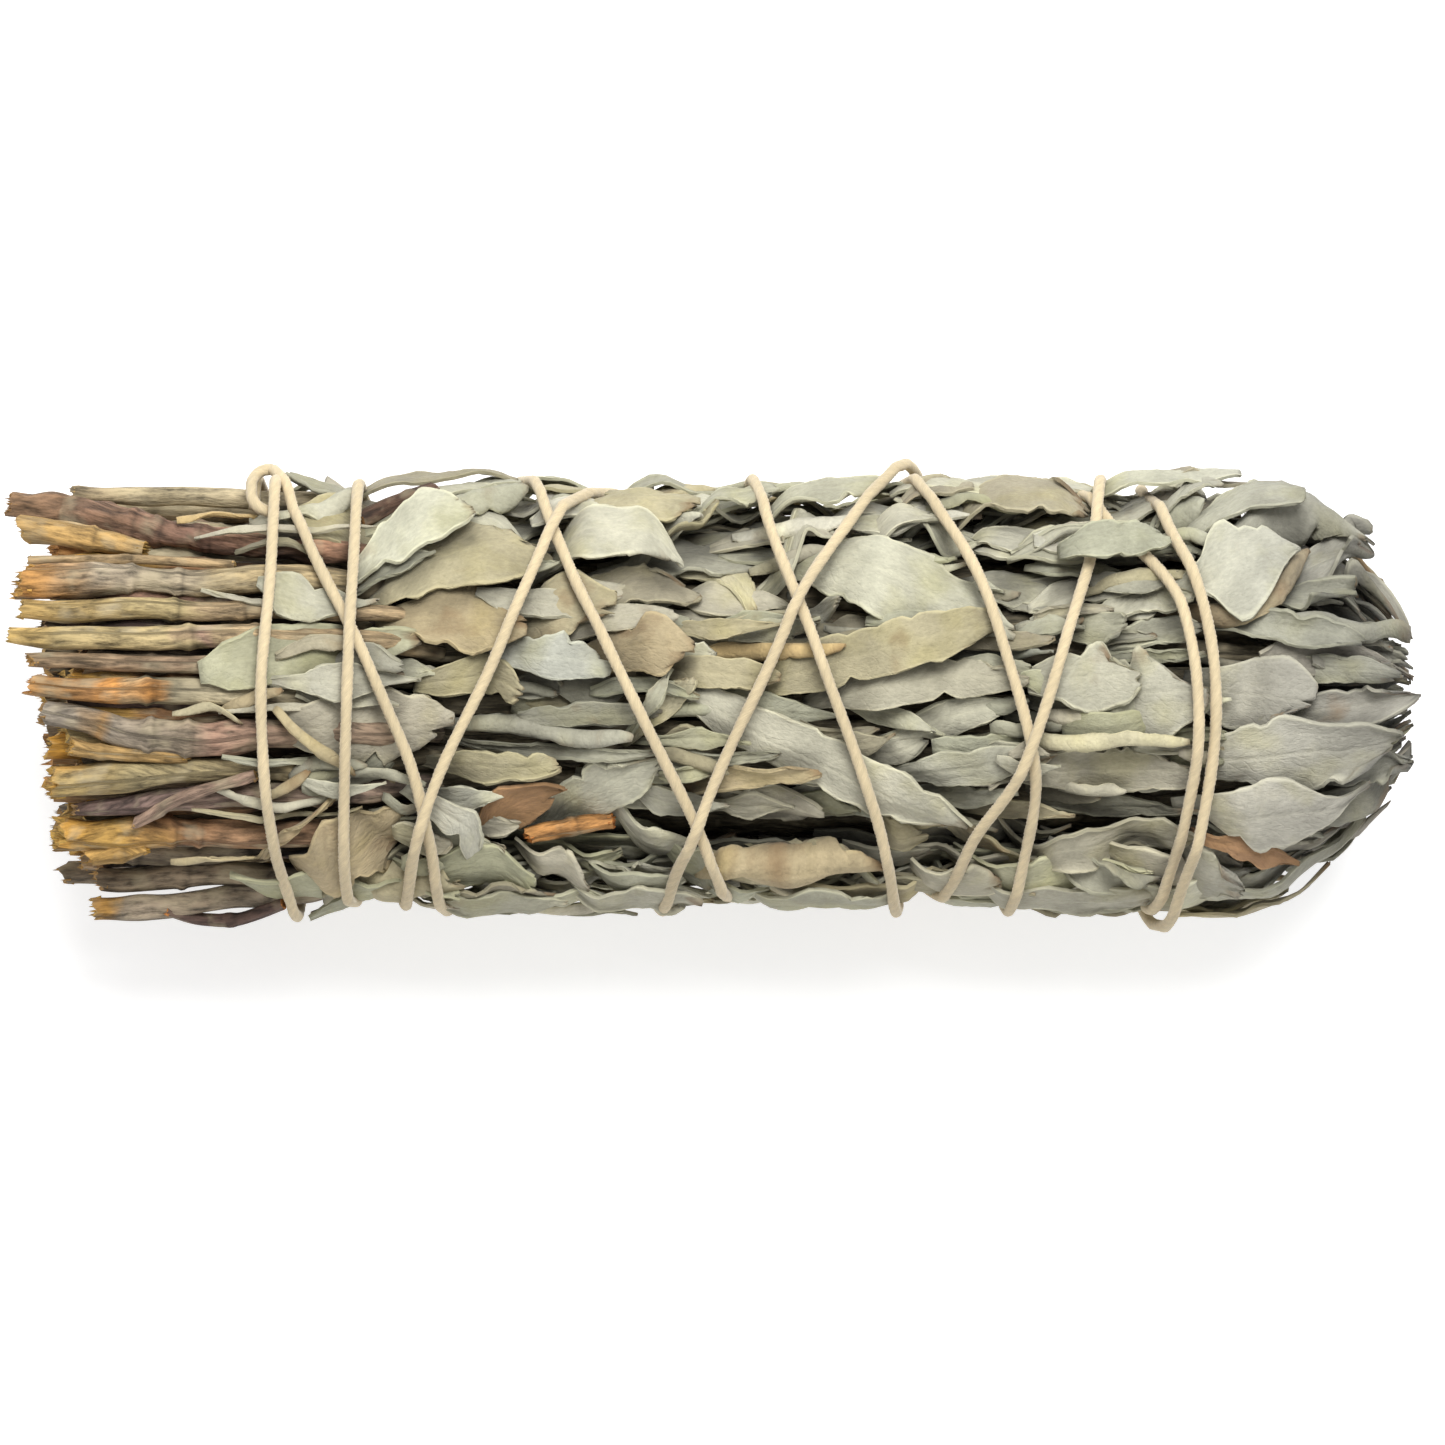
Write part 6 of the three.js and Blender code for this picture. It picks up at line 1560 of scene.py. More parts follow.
def rolled_section(half, v, s, over_stems, random):
    """Where a strip that rolled up as it dried lies, across and out from its middle surface."""
    roll = 1.2 + 0.9 * random()
    upward = -1 if random() < 0.4 else 1
    chord = math.sin(min(roll, math.pi / 2))
    across = np.sin(roll * v) / chord
    out = -half / chord * (1 - np.cos(roll * v)) * upward * (1 if upward > 0 else 0.6)
    twist = (1.1 if over_stems else 0.5) * np.sin(FULL_TURN * (s / (9 + 6 * random()) + random()))
    turned = across * np.cos(twist) - out / np.maximum(half, 0.05) * np.sin(twist)
    return turned, across * half * np.sin(twist) + out * np.cos(twist)


def stations_of(leaf, widen):
    """The blade at its stations, as rows of its middle's x and angle, half its width in both, its
    radius, and how far its low edge, middle and high edge stand off that."""
    x, angle = ((edge[:, 0] + edge[:, -1]) / 2 for edge in (leaf.x, leaf.angle))
    half_x, half_angle = ((edge[:, -1] - edge[:, 0]) / 2 * widen for edge in (leaf.x, leaf.angle))
    low, high = leaf.offset[:, 0].copy(), leaf.offset[:, -1].copy()
    middle = leaf.offset[:, 1].copy() if leaf.x.shape[1] == 3 else (low + high) / 2
    radii = leaf.r + RAISED.get(leaf.tone, 0)
    if leaf.stalk:
        # the stalk end, drawn on from the leaf and sunk between its neighbours
        ahead = (x[2] - x[1], angle[2] - angle[1])
        back = leaf.stalk / math.hypot(ahead[0], UNROLLED_RADIUS * ahead[1])
        x[0], angle[0] = x[1] - back * ahead[0], angle[1] - back * ahead[1]
        half_x[0], half_angle[0] = STALK_WIDTH * half_x[1], STALK_WIDTH * half_angle[1]
        low[0], middle[0], high[0] = low[1], middle[1], high[1]
        radii[0] = radii[1] - STALK_SUNK
    if leaf.seen:
        # turned to where its row in the list shows it from above
        stretched = SIDE_STRETCH * np.maximum(radii + middle, 6)
        sight = VIEW_RADIUS * dome(x) * np.sin(angle) / stretched
        shown = np.arcsin(np.clip(sight, -IN_SIGHT, IN_SIGHT)) * np.where(np.cos(angle) > 0, 1, 0)
        angle = np.where(np.abs(sight) < IN_SIGHT, mix(angle, shown, 0.7), angle)
    return np.stack([x, angle, half_x, half_angle, radii, low, middle, high], axis=1)


def dress_leaf(skin, leaf, sizes, tint, age=0.0, widen=1.0):
    """A fine leaf on the stations of a laid blade: its outline, its rolled or rippled edges, the
    fold along its midrib and its wrinkles."""
    random = numbers(9000 + leaf.seed)
    table = stations_of(leaf, widen)
    centre_x, tip_x = table[:, 0].mean(), table[-1, 0]
    near = np.maximum(table[:, 4] + table[:, 6], 6)
    steps = np.hypot(np.diff(table[:, 0]), near[1:] * np.diff(table[:, 1]))
    at = np.concatenate([[0], np.cumsum(np.maximum(steps, 0.05))])
    length = at[-1]
    wide = 2 * float(np.hypot(table[:, 2], UNROLLED_RADIUS * table[:, 3]).max())
    strip = leaf.form == "r"
    over_stems = centre_x < STEMS_BARE_TO
    if over_stems and (strip or wide < STRAND_UP_TO):
        table[:, 2:4] *= STRAND_SHARE
    if leaf.root_fixed:
        columns = NARROW_COLUMNS if strip or wide < 2 else WIDE_COLUMNS
        rows = int(clamp(length / 0.6 + 6, 12, 38))
    else:
        columns = NARROW_COLUMNS if wide < 3 else MIDDLE_COLUMNS
        rows = int(clamp(length / 0.85 + 4, 8, 26))
    q = np.linspace(0, 1, rows)[:, None]
    v = columns[None, :]
    outline, cut = outline_of(leaf, q, v, wide, length, random)
    s = length * q - cut
    smooth = np.moveaxis(smooth_through(at, table, s), -1, 0)
    x, angle, hx, ha, r, off_low, off_mid, off_high = smooth
    half = np.hypot(hx, UNROLLED_RADIUS * ha) * outline
    if strip:
        across, out = rolled_section(half, v, s, over_stems, random)
        out = out + mix(off_low, off_high, 0.5)
    else:
        out, drawn = cross_section(columns, s, q, min(wide / 5, 1.0), random, sizes)
        out = out + sizes.cup * mix(off_mid, np.where(v < 0, off_low, off_high), v * v)
        across = v + drawn
        if tip_x > DOME_FROM:
            # the ends at the tip of the bundle dried into gutters
            gutter = smoothstep(q, 0.5, 1) * mix(0.5, 1, random())
            out = out + 0.9 * half * v * v * gutter * (1 if random() < 0.7 else -1)
            across = across * (1 - 0.35 * gutter)
    creases = np.abs(ripples(s, 2.2 * half * v, random, *CREASES)) - 0.4
    fine = ripples(s, 2 * half * v, random, *FINE_CREASES)
    out = out + sizes.leaf_wrinkle * (0.9 * creases + 0.4 * fine) * smoothstep(q, 0.0, 0.2)
    px = x + across * outline * hx
    pa = angle + across * outline * ha
    bulge = sizes.side_bulge * smoothstep(np.abs(np.sin(pa)), 0.6, 0.95) * smoothstep(r, 14.5, 16.5)
    pr = np.maximum(r + out + bulge, 0.5)
    middle_points = place(px, pa, pr)
    du = np.gradient(middle_points, axis=0)
    dv = np.gradient(middle_points, axis=1)
    normal = np.cross(dv, du)
    normal /= np.maximum(np.linalg.norm(normal, axis=-1, keepdims=True), 1e-9)
    outward = place(px, pa, 1.0) - place(px, pa, 0.0)
    if (normal * outward).sum() < 0:
        normal = -normal
    half_thick = sizes.leaf_thickness / 2
    points = np.stack([middle_points + normal * half_thick, middle_points - normal * half_thick])
    points[..., 2] = np.maximum(points[..., 2], LEAST_HEIGHT)
    spot = stacked(s, half * v, 13.7 * (leaf.seed % 97))
    spot = np.stack([spot, spot + (0, 0, 5)])
    look = stacked(q, v, age).reshape(-1, 3)
    layout = bundle_layout()
    # painted shade: the leaf is darker where it lies deep under the leaves round it
    painted_shade_and_dark_ends = mix(1, sizes.painted_deep_shade, smoothstep(layout.depth(px, pa, pr), 1.4, 5.4))
    # painted shadow: darker where the leaves or the twine next to it overhang it
    painted_shade_and_dark_ends = painted_shade_and_dark_ends * (1 - sizes.painted_contact_shadow * layout.contact(px, pa, pr))
    # painted shade over the rounded tip end of the bundle, where its surface turns down
    painted_shade_and_dark_ends = painted_shade_and_dark_ends * mix(1, sizes.painted_tip_shade, smoothstep(px, 43, 56))
    # the ends of the leaves at the tip of the bundle are darker
    if tip_x > DOME_FROM:
        painted_shade_and_dark_ends = painted_shade_and_dark_ends * mix(1, mix(0.4, 0.8, random()), smoothstep(q + 0 * v, 0.86, 1))
    # the young leaves at the tip keep more of their felt, which makes them cooler
    cool = mix(1, sizes.tip_cool, smoothstep(px, 36, 52)).reshape(-1, 1)
    colour = tint * painted_shade_and_dark_ends.reshape(-1, 1) * np.concatenate([cool * 0 + 1, cool * 0 + 1, cool], axis=1)
    leaf_faces, rim_faces = sheet_faces(rows, len(columns))
    # painted shade: the under side of the leaf is drawn darker than its top
    tints = np.concatenate([colour, sizes.painted_under_shade * colour])
    skin.add(points, tints, spot, np.concatenate([look, look]), leaf_faces, flat=rim_faces)


BARK_HUE = (1.02, 0.95, 0.93)  # how bark yellows and reddens as it ages
RIDGE, LUMP = 0.1, 0.08  # height of a stem's ridges and bumps, as shares of its radius
SCAR = {"ridge": 0.2, "dark": 0.45, "reach": 0.4}  # height and darkness of a leaf scar, reach in mm
BREAK_REACH = 0.9  # mm of a stem that its broken end draws in or out
# painted shade on the stems, deep under the others
STEM_PAINTED_SHADE = 0.2  # brightness of a stem deep under the others
FIBRES_PER_MM = 14  # torn fibres at a broken end, for each millimetre of its radius
CORE_SIDES = 14


def dress_tube(
    skin, route, sides, step, tones, lump, seed, cut, wander=0.0, rings=(), both_ends=False
):
    """A stem along (x, angle, r, radius) points: ridged, knotted, broken off rough at its start.
    tones are (x, colour) stops along it, and rings are the places of its leaf scars."""
    random = numbers(seed)
    route = np.asarray(route, float)
    xs = route[:, 0]
    count = max(4, int((xs[-1] - xs[0]) / step))
    x = np.linspace(xs[0], xs[-1], count)
    angle, r, radius = smooth_through(xs, route[:, 1:], x).T
    s = x - x[0]
    angle = angle + wander * ripples(s, 0, random, 16, 6, 3) / r
    r = r + wander * ripples(s, 5, random, 16, 6, 3)
    centre = place(x, angle, r)
    phase = FULL_TURN * np.arange(sides) / sides
    tangent, out, side = frames_along(centre, place(x, angle, 1.0) - place(x, angle, 0.0))
    ring_s, ring_w = s[:, None], (np.cos(phase) * 2.0)[None, :]
    ridges = ripples(0.22 * ring_s, 2.4 * ring_w, random, 2.6, 0.9, 6)
    across = 2.4 * (np.sin(phase) * 2.0)[None, :]
    ridges = ridges + 0.5 * ripples(0.3 * ring_s, across, random, 2.6, 0.9, 5)
    bumps = ripples(ring_s, ring_w, random, 8, 3, 5)
    size = radius[:, None] * (1 + RIDGE * lump * ridges + LUMP * lump * bumps)
    # painted shade: the bark is lighter where ridges and bumps stand out and darker between them
    shade = 1 + 0.2 * bumps + 0.2 * ridges
    for x_ring in [*rings, mix(x[0] + 2, x[-1], random())]:
        # a leaf scar: a low ridge, and the dark line past it
        past = (x[:, None] + 0.2 * bumps - x_ring) / SCAR["reach"]
        size = size * (1 + SCAR["ridge"] * np.exp(-(past**2)))
        shade = shade * (1 - SCAR["dark"] * np.exp(-(((past - 1.3) / 0.55) ** 2)))
    broken = np.array([2 * random() - 1 for _ in range(sides)])
    broken = broken + 1.2 * ripples(2 * np.cos(phase), 2 * np.sin(phase), random, 5, 2, 4)
    slant = mix(-0.6, 0.6, random()) * np.cos(phase - FULL_TURN * random())
    push = (0.3 * broken + slant) * radius[0] * np.exp(-s[:, None] / BREAK_REACH)
    round_it = np.cos(phase)[:, None] * out[:, None] + np.sin(phase)[:, None] * side[:, None]
    points = centre[:, None] + size[..., None] * round_it + push[..., None] * tangent[:, None]
    spot = stacked(s[:, None], radius[:, None] * phase[None, :], 7.3 * (seed % 89))
    stops, colours = zip(*tones)
    where = x[:, None] + 1.6 * bumps
    tint = stacked(*(np.interp(where, stops, part) for part in zip(*colours)))
    # painted shade: darker between the stems and under the leaves
    aside, above = points[..., 1] / SIDE_STRETCH, points[..., 2] - AXIS_HEIGHT
    depth = bundle_layout().depth(points[..., 0], np.arctan2(aside, above), np.hypot(aside, above))
    shade = shade * mix(1, STEM_PAINTED_SHADE, smoothstep(depth, 0.5, 2.9))
    tint = tint * shade[..., None] * BARK_HUE
    quads = grid_faces(count, sides, closed=True)
    tris = [] if both_ends else end_caps(count, sides)[0]
    skin.add(points, tint, spot, PLAIN, quads, tris, finish=BARK)
    # the broken end: rings drawn in to a rough, slightly hollow face
    ends = [(points[0], tangent[0]), (points[-1], -tangent[-1])]
    for ring, inward in ends if both_ends else ends[:1]:
        face = [ring]
        middle = ring.mean(0)
        for share_in, dip in ((0.8, 0.0), (0.55, 0.25), (0.25, 0.1)):
            rough = 0.7 * radius[0] * np.array([random() - 0.5 for _ in range(sides)])
            sunk = inward * (dip * radius[0] + rough)[:, None]
            face.append(middle + (ring - middle) * share_in + sunk)
        face = np.concatenate([np.array(face).reshape(-1, 3), [middle + inward * 0.3 * radius[0]]])
        caps = [(3 * sides + k, 4 * sides, 3 * sides + (k + 1) % sides) for k in range(sides)]
        quads = grid_faces(4, sides, closed=True)[:, ::-1]
        skin.add(face, cut, face * ALONG_GRAIN, PLAIN, quads, caps, finish=WOOD)
        fibres = int(FIBRES_PER_MM * radius[0])
        add_fibres(skin, ring, inward, radius[0], random, np.array(cut), fibres)


def add_fibres(skin, ring, inward, radius, random, colour, count):
    """Torn wood fibres that stick out of a broken end."""
    middle = ring.mean(0)
    for _ in range(count):
        corner = ring[int(random() * len(ring)) % len(ring)]
        foot = middle + (corner - middle) * mix(0.15, 0.95, random())
        length = radius * mix(0.15, 0.6, random())
        thick = 0.1 + 0.14 * random()
        lean = np.array([0, random() - 0.5, random() - 0.5]) * 0.5
        tip = foot - inward * length + lean * length
        side = np.cross(inward, (0, 0.3, 1))
        side = side / np.linalg.norm(side) * thick
        up = np.cross(side, inward)
        base = foot + inward * 0.5 * radius
        foot_ring = [base + side, base + up, base - side, base - up]
        points = np.array([*foot_ring, tip + 0.3 * side, tip - 0.3 * up])
        tris = [(0, 1, 4), (1, 5, 4), (1, 2, 5), (2, 3, 5)]
        tris += [(3, 0, 4), (3, 4, 5), (2, 1, 0), (3, 2, 0)]
        tint = colour * mix(0.7, 1.2, random())
        skin.add(points, tint, points * ALONG_GRAIN, PLAIN, (), tris, finish=WOOD)


# The looks of the stems on the upper side, from +Y to -Y: (x, bark colour) stops, how lumpy it
# is, the colour of its broken end and the places of its leaf scars.
STEM_LOOKS = [
    (((-57, "#9C8F72"), (-50, "#A39A7B"), (-40, "#A69E82")), 0.6, "#B99A62", ()),
    (
        ((-62, "#8B7257"), (-55, "#77604B"), (-50, "#8A6F5B"), (-45, "#7E6455"), (-38, "#9A7A62")),
        1.8, "#A87F4A", (-51.2, -48.9, -45.5),
    ),
    (
        ((-60.5, "#B98A4A"), (-57, "#A17F52"), (-53, "#9E9580"), (-47, "#B3A98F"),
         (-44, "#A39673")),
        1.0, "#C99A4C", (-47,),
    ),
    (
        ((-60, "#B59C62"), (-50, "#A89B70"), (-47, "#A3976F"), (-45, "#AE9C7A")),
        0.6, "#C8A662", (-47.3,),
    ),
    (
        ((-61.5, "#C7AD6C"), (-57, "#AFA072"), (-46.7, "#A99C74"), (-46, "#B79A84"),
         (-44.5, "#B19F7C")),
        0.6, "#CDAA5E", (-46,),
    ),
    (((-60, "#8E7C60"), (-48, "#86755E"), (-40, "#917F68")), 0.8, "#B98F50", ()),
    (
        ((-60, "#AF8650"), (-54, "#9B7549"), (-50.6, "#B98648"), (-49.6, "#A8A285"),
         (-40, "#ADA689")),
        0.9, "#C58B45", (-49.5,),
    ),
    (
        (
            (-58.7, "#8B867A"), (-55.8, "#8F8878"), (-54, "#A9895A"), (-52.4, "#8A8374"),
            (-46, "#918672"), (-43, "#9A7F6C"), (-36, "#A2907A"),
        ),
        1.2, "#A98552", (-49.3, -46),
    ),
    (((-58, "#BF974E"), (-56, "#A18E5C"), (-50, "#958B66"), (-42, "#968C6A")), 0.8, "#CFA552", ()),
    (((-56, "#5F5048"), (-51, "#655650"), (-46, "#8E7B70"), (-38, "#958474")), 1.0, "#A98552", ()),
    (
        ((-58, "#C8983F"), (-54, "#A98A4B"), (-51, "#B08F4B"), (-48, "#96734F"), (-38, "#8D7358")),
        1.1, "#D0A550", (-47.8,),
    ),
    (((-54.5, "#857A66"), (-47, "#8C806B"), (-38, "#90846E")), 0.9, "#B98F50", (-47,)),
    (
        ((-54.6, "#B08A4A"), (-52.5, "#8D8472"), (-45, "#857A66"), (-40, "#8D8472")),
        0.9, "#CFA552", (),
    ),
]
# Side shoots and broken twigs, as the upper stem that each belongs to, the colours of its bark
# and its broken ends, and its (x, y, r, radius) points.
TWIGS = [
    (12, "#5B4A42", "#B8793C",
     ((-48.5, -19.2, 18.8, 0.45), (-44, -20.2, 19.4, 0.6), (-38, -18.6, 18.6, 0.5))),
    (10, "#94806F", "#A98552",
     ((-50.6, -11.4, 16.6, 0.5), (-47, -9.4, 17.2, 0.55), (-40, -7.2, 17.3, 0.5))),
    (2, "#A8946F", "#B99A62",
     ((-60, 11.6, 16.2, 0.4), (-52, 11.7, 16.4, 0.45), (-42, 11.2, 16.6, 0.4))),
    (10, "#A98A4F", "#C9983F",
     ((-54.6, -14.4, 17.1, 0.7), (-52, -14.1, 17.3, 0.8), (-49.8, -13.7, 17.1, 0.4))),
    (7, "#A58A58", "#C59A4E",
     ((-56.2, -4.7, 16.4, 0.8), (-54, -5.1, 16.3, 0.7), (-46, -5.6, 16, 0.6))),
    (1, "#A98D58", "#C39A4E",
     ((-60.6, 14.4, 16.1, 1.1), (-57, 13.9, 16.3, 1.1), (-50, 12.6, 16.1, 0.8))),
]


def stem_look(n):
    """The n-th look, its colours as linear values."""
    tones, lump, cut, rings = STEM_LOOKS[n]
    return [(x, linear(tone)) for x, tone in tones], lump, linear(cut), rings


def dress_core(skin, shoot, tint, seed):
    """The crumpled mass of leaf bases inside a shoot, painted dark to stand for the shade where it
    shows between the leaves.
    """
    random = numbers(seed)
    xs = np.arange(STEM_TO_SHOOT[0] + 2, shoot.kind["end"], 1.6)
    deeper = 0.5 if shoot.outer else 0.2
    rings = np.array([shoot.outline_at(x, CORE_SIDES, deeper) for x in xs])
    w = np.arange(CORE_SIDES)[None, :] / CORE_SIDES * 9
    rough = 0.4 * ripples(xs[:, None], w, random, 5, 1.8, 8)
    points = place(xs[:, None], rings[..., 0], np.maximum(rings[..., 1] + rough, 0.3))
    quads = grid_faces(len(xs), CORE_SIDES, closed=True)
    far, near = end_caps(len(xs), CORE_SIDES)
    spot = stacked(xs[:, None], w, 3.1 * seed)
    skin.add(points, tint, spot, (0.5, 0, 0.1), quads, far + near, finish=BARK)


_made = {}  # what the operators share: the layout, the spare stems and the finishes


def bundle_layout():
    """The layout, worked out once."""
    if "layout" not in _made:
        _made["layout"] = Layout()
    return _made["layout"]


def finish_for(name, maker, sizes):
    """The named material, made the first time that a piece asks for it."""
    if name not in _made:
        _made[name] = maker(name, sizes, bpy.context.scene.sage_colours)
    return _made[name]


def varied(colour, random, amount=0.07):
    """A colour a little lighter or darker and off its hue."""
    lighter = 1 + amount * (2 * random() - 1)
    return np.array(colour) * lighter * (1 + 0.02 * np.array([random() - 0.5 for _ in range(3)]))


FILL_TONES = (
    *("sage", "grey", "pale", "olive", "warm", "green", "sage"),
    *("shade", "warm", "grey", "pale", "sage", "white"),
)
STRAND_TONES = ("tan", "warm", "shade", "straw", "olive", "tan")
STEM_FINISHES = (
    ("dried_white_sage_leaf", dried_leaf),
    ("dried_sage_bark", dried_bark),
    ("torn_stem_wood", cut_wood),
)
AGES = {"tan": 0.14, "brown": 0.26, "straw": 0.1, "olive": 0.06}  # how bruised leaves are
# radius of the two twigs that lie among the leaves
BROKEN_TWIGS = {"twig": 0.85, "splinter": 0.75}


def dress_under_stems(skin, shoot, random):
    """Thinner stems just below the outer ones, which close the space between them."""
    for n, share in enumerate((0.25, 0.75)):
        angle = mix(shoot.low, shoot.high, share) + 0.03 * (random() - 0.5)
        start = mix(-59, -54, random())
        r = mix(13.2, 14.2, random())
        radius = mix(0.9, 1.35, random())
        tones, lump, cut, _ = stem_look(int(13 * random()) % 13)
        way = [(start, angle + 0.02 * (random() - 0.5), r, radius)]
        way += [(-45, angle, r - 0.2, radius), (-28, angle, 12.4, 0.8)]
        seed = 2500 + int(1000 * random()) + n
        dress_tube(skin, way, 12, 0.55, tones, lump, seed, cut, 0.2, (mix(-54, -40, random()),))


def spare_stems(sizes):
    """Thinner stems that fill the space between the others at the cut end, as the shoot that each
    follows, how far it stands from it in mm, and its radius."""
    random = numbers(88)
    taken = []
    for index, shoot in enumerate(bundle_layout().shoots):
        angle, r, radius = shoot.stem_at(-50)
        taken.append((r * math.sin(angle), r * math.cos(angle), sizes.stem_width * radius, index))
    own = list(taken)
    spare = []
    for _ in range(900):
        angle, r, radius = FULL_TURN * random(), 12.2 * math.sqrt(random()), mix(0.8, 1.5, random())
        y, z = r * math.sin(angle), r * math.cos(angle)
        gap, _, _, owner = min(
            (math.hypot(y - a, z - b) - radius - c, a, b, k) for a, b, c, k in taken
        )
        if gap > -0.12:
            taken.append((y, z, radius, owner))
            spare.append((owner, y - own[owner][0], z - own[owner][1], radius))
    return spare


def dress_spare_stems(skin, index, shoot, sizes, random):
    """The thinner stems beside a shoot, straight from the cut end to where the leaves begin."""
    if "spare" not in _made:
        _made["spare"] = spare_stems(sizes)
    for n, (owner, dy, dz, radius) in enumerate(_made["spare"]):
        if owner != index:
            continue
        way = []
        for x in (mix(-59, -53, random()), -48, -39):
            angle, r, _ = shoot.stem_at(x)
            y, z = r * math.sin(angle) + dy, r * math.cos(angle) + dz
            way.append((x, math.atan2(y, z), math.hypot(y, z), radius))
        tones, lump, cut, _ = stem_look(int(13 * random()) % 13)
        dress_tube(skin, way, 9, 1.0, tones, lump, 3600 + n, cut)


def dress_shoot(index, sizes):
    """One leafy stem, dressed: its core, its stem, its leaves and the fill low between them."""
    layout = bundle_layout()
    shoot = layout.shoots[index]
    skin = Skin()
    random = numbers(5000 + index)
    front = shoot.kind is FRONT_SHOOT
    colours = bpy.context.scene.sage_colours
    tones, lump, cut, rings = stem_look(index if front else int(13 * random()) % 13)
    dress_core(skin, shoot, np.array(colours.core), 300 + index)
    route = [tuple(point) for point in shoot.route]
    last = route[-1]
    centre = shoot.centre_at(-24)
    route = [(x, a, r, sizes.stem_width * radius) for x, a, r, radius in route if x < -30]
    route.append((-24, centre[0], centre[2] + 0.3, min(0.9, last[3])))
    sides, step = (22, 0.32) if front else (12, 0.6)
    rings = rings if front else ()
    dress_tube(skin, route, sides, step, tones, lump, 2000 + index, cut, 0.12, rings)
    if shoot.outer:
        dress_under_stems(skin, shoot, random)
    dress_spare_stems(skin, index, shoot, sizes, random)
    for n, (owner, bark, wood, points) in enumerate(TWIGS):
        if owner == index:
            way = [(x, math.asin(y / (SIDE_STRETCH * r)), r, radius) for x, y, r, radius in points]
            tones = ((-60, linear(bark)), (-30, linear(bark)))
            dress_tube(skin, way, 14, 0.4, tones, 1.2, 2200 + n, linear(wood), both_ends=True)
    for leaf in shoot.leaves:
        if leaf.tone in BROKEN_TWIGS:
            bark, wood = getattr(colours, leaf.tone), getattr(colours, leaf.tone + "_wood")
            radius = BROKEN_TWIGS[leaf.tone]
            way = [(leaf.x[i][0], leaf.angle[i].mean(), leaf.r[i], radius) for i in (1, -1)]
            tones = ((-60, bark), (60, bark))
            dress_tube(skin, way, 14, 0.35, tones, 2.4, 2300 + leaf.seed, wood, both_ends=True)
            continue
        tone = getattr(colours, leaf.tone)
        age = AGES.get(leaf.tone, 0.0) + 0.08 * random()
        widen = sizes.widen if leaf.seen else 1.0
        dress_leaf(skin, leaf, sizes, varied(tone, random), age, widen)
    for leaf in shoot.fill:
        tone = FILL_TONES[int(len(FILL_TONES) * random())]
        if leaf.x.mean() < -36:
            tone = STRAND_TONES[int(len(STRAND_TONES) * random())]
        dress_leaf(skin, leaf, sizes, varied(getattr(colours, tone), random, 0.17), 0.12 * random())
    name = f"sage_stem_{index + 1:02d}"
    piece = skin.make(name, [finish_for(finish, maker, sizes) for finish, maker in STEM_FINISHES])
    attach(piece, "root")
    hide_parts(f"leafy_stem_{index + 1:02d}")
    return piece


# ---------------- twine
PLIES = 3
CORD_SIDES = 12


def laid_cord(skin, points, outward, sizes, seed):
    """A three-ply cord along points in millimetres."""
    random = numbers(seed)
    steps = np.linalg.norm(np.diff(points, axis=0), axis=1)
    at = np.concatenate([[0], np.cumsum(steps)])
    count = max(8, int(at[-1] / sizes.twine_step))
    s = np.linspace(0, at[-1], count)
    centre = smooth_through(at, points, s)
    _, out, side = frames_along(centre, smooth_through(at, outward, s))
    phase = FULL_TURN * np.arange(CORD_SIDES) / CORD_SIDES
    valley = 0.5 - 0.5 * np.cos(PLIES * phase)
    lobes = 1 - 0.05 * valley**1.3
    turn = FULL_TURN * s / sizes.twine_lay
    swell = 1 + 0.05 * ripples(s, 0, random, 9, 3, 5)
    radius = sizes.twine_radius * lobes[None, :] * swell[:, None]
    theta = phase[None, :] + turn[:, None]
    points_on = (
        centre[:, None]
        + (radius * np.cos(theta))[..., None] * out[:, None]
        + (radius * np.sin(theta))[..., None] * side[:, None]
    )
    quads = grid_faces(count, CORD_SIDES, closed=True)
    far, near = end_caps(count, CORD_SIDES)
    stained = (1 + 0.06 * ripples(s, 3, random, 20, 6, 4))[:, None, None]
    # painted shade: the twine is drawn darker in the valleys between its plies
    tone = np.array(bpy.context.scene.sage_colours.twine) * (1 - 0.1 * valley[:, None]) * stained
    spot = stacked(s[:, None], phase[None, :], 0.0)
    skin.add(points_on, tone, spot, PLAIN, quads, far + near)


# the loop of the knot as (x, y, height over the first turn), up to where the first turn goes on
KNOT_WAY = (
    (-38.9, 15.7, -0.4), (-39.8, 15.7, 0), (-40.6, 16.3, 0.4), (-40.7, 17.2, 0.7),
    (-40.1, 17.9, 1.0), (-39.2, 18, 1.2), (-38.3, 17.5, 1.2), (-37.6, 16.8, 1.1),
)
KNOT_JOINS = 5  # the point of the twine that the loop leads into


def dress_twine(sizes):
    """The length of twine and the loop of its knot, as one piece."""
    twine = bundle_layout().twine
    skin = Skin()
    level = twine[:KNOT_POINTS, 2].max()
    loop = [(x, math.asin(y / TWINE_VIEW_RADIUS), level + height) for x, y, height in KNOT_WAY]
    way = np.array([*loop, *twine[KNOT_JOINS:]])
    points = place(way[:, 0], way[:, 1], way[:, 2])
    laid_cord(skin, points, points - place(way[:, 0], way[:, 1], 0.0), sizes, 41)
    piece = skin.make("cotton_twine", [finish_for("laid_cotton_twine", cotton_cord, sizes)])
    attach(piece, "root")
    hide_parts("binding_twine")
    return piece


# ---------------- stage
SOFTBOX_PLACE, SOFTBOX_SIZE = (0.1, 0.46, 0.92), 0.45  # metres
SWEEP_FLAT, SWEEP_RISE = 0.75, 0.3  # share of the sweep that lies flat, and how it rises past it
SENSOR = 36  # width of the camera's sensor, mm


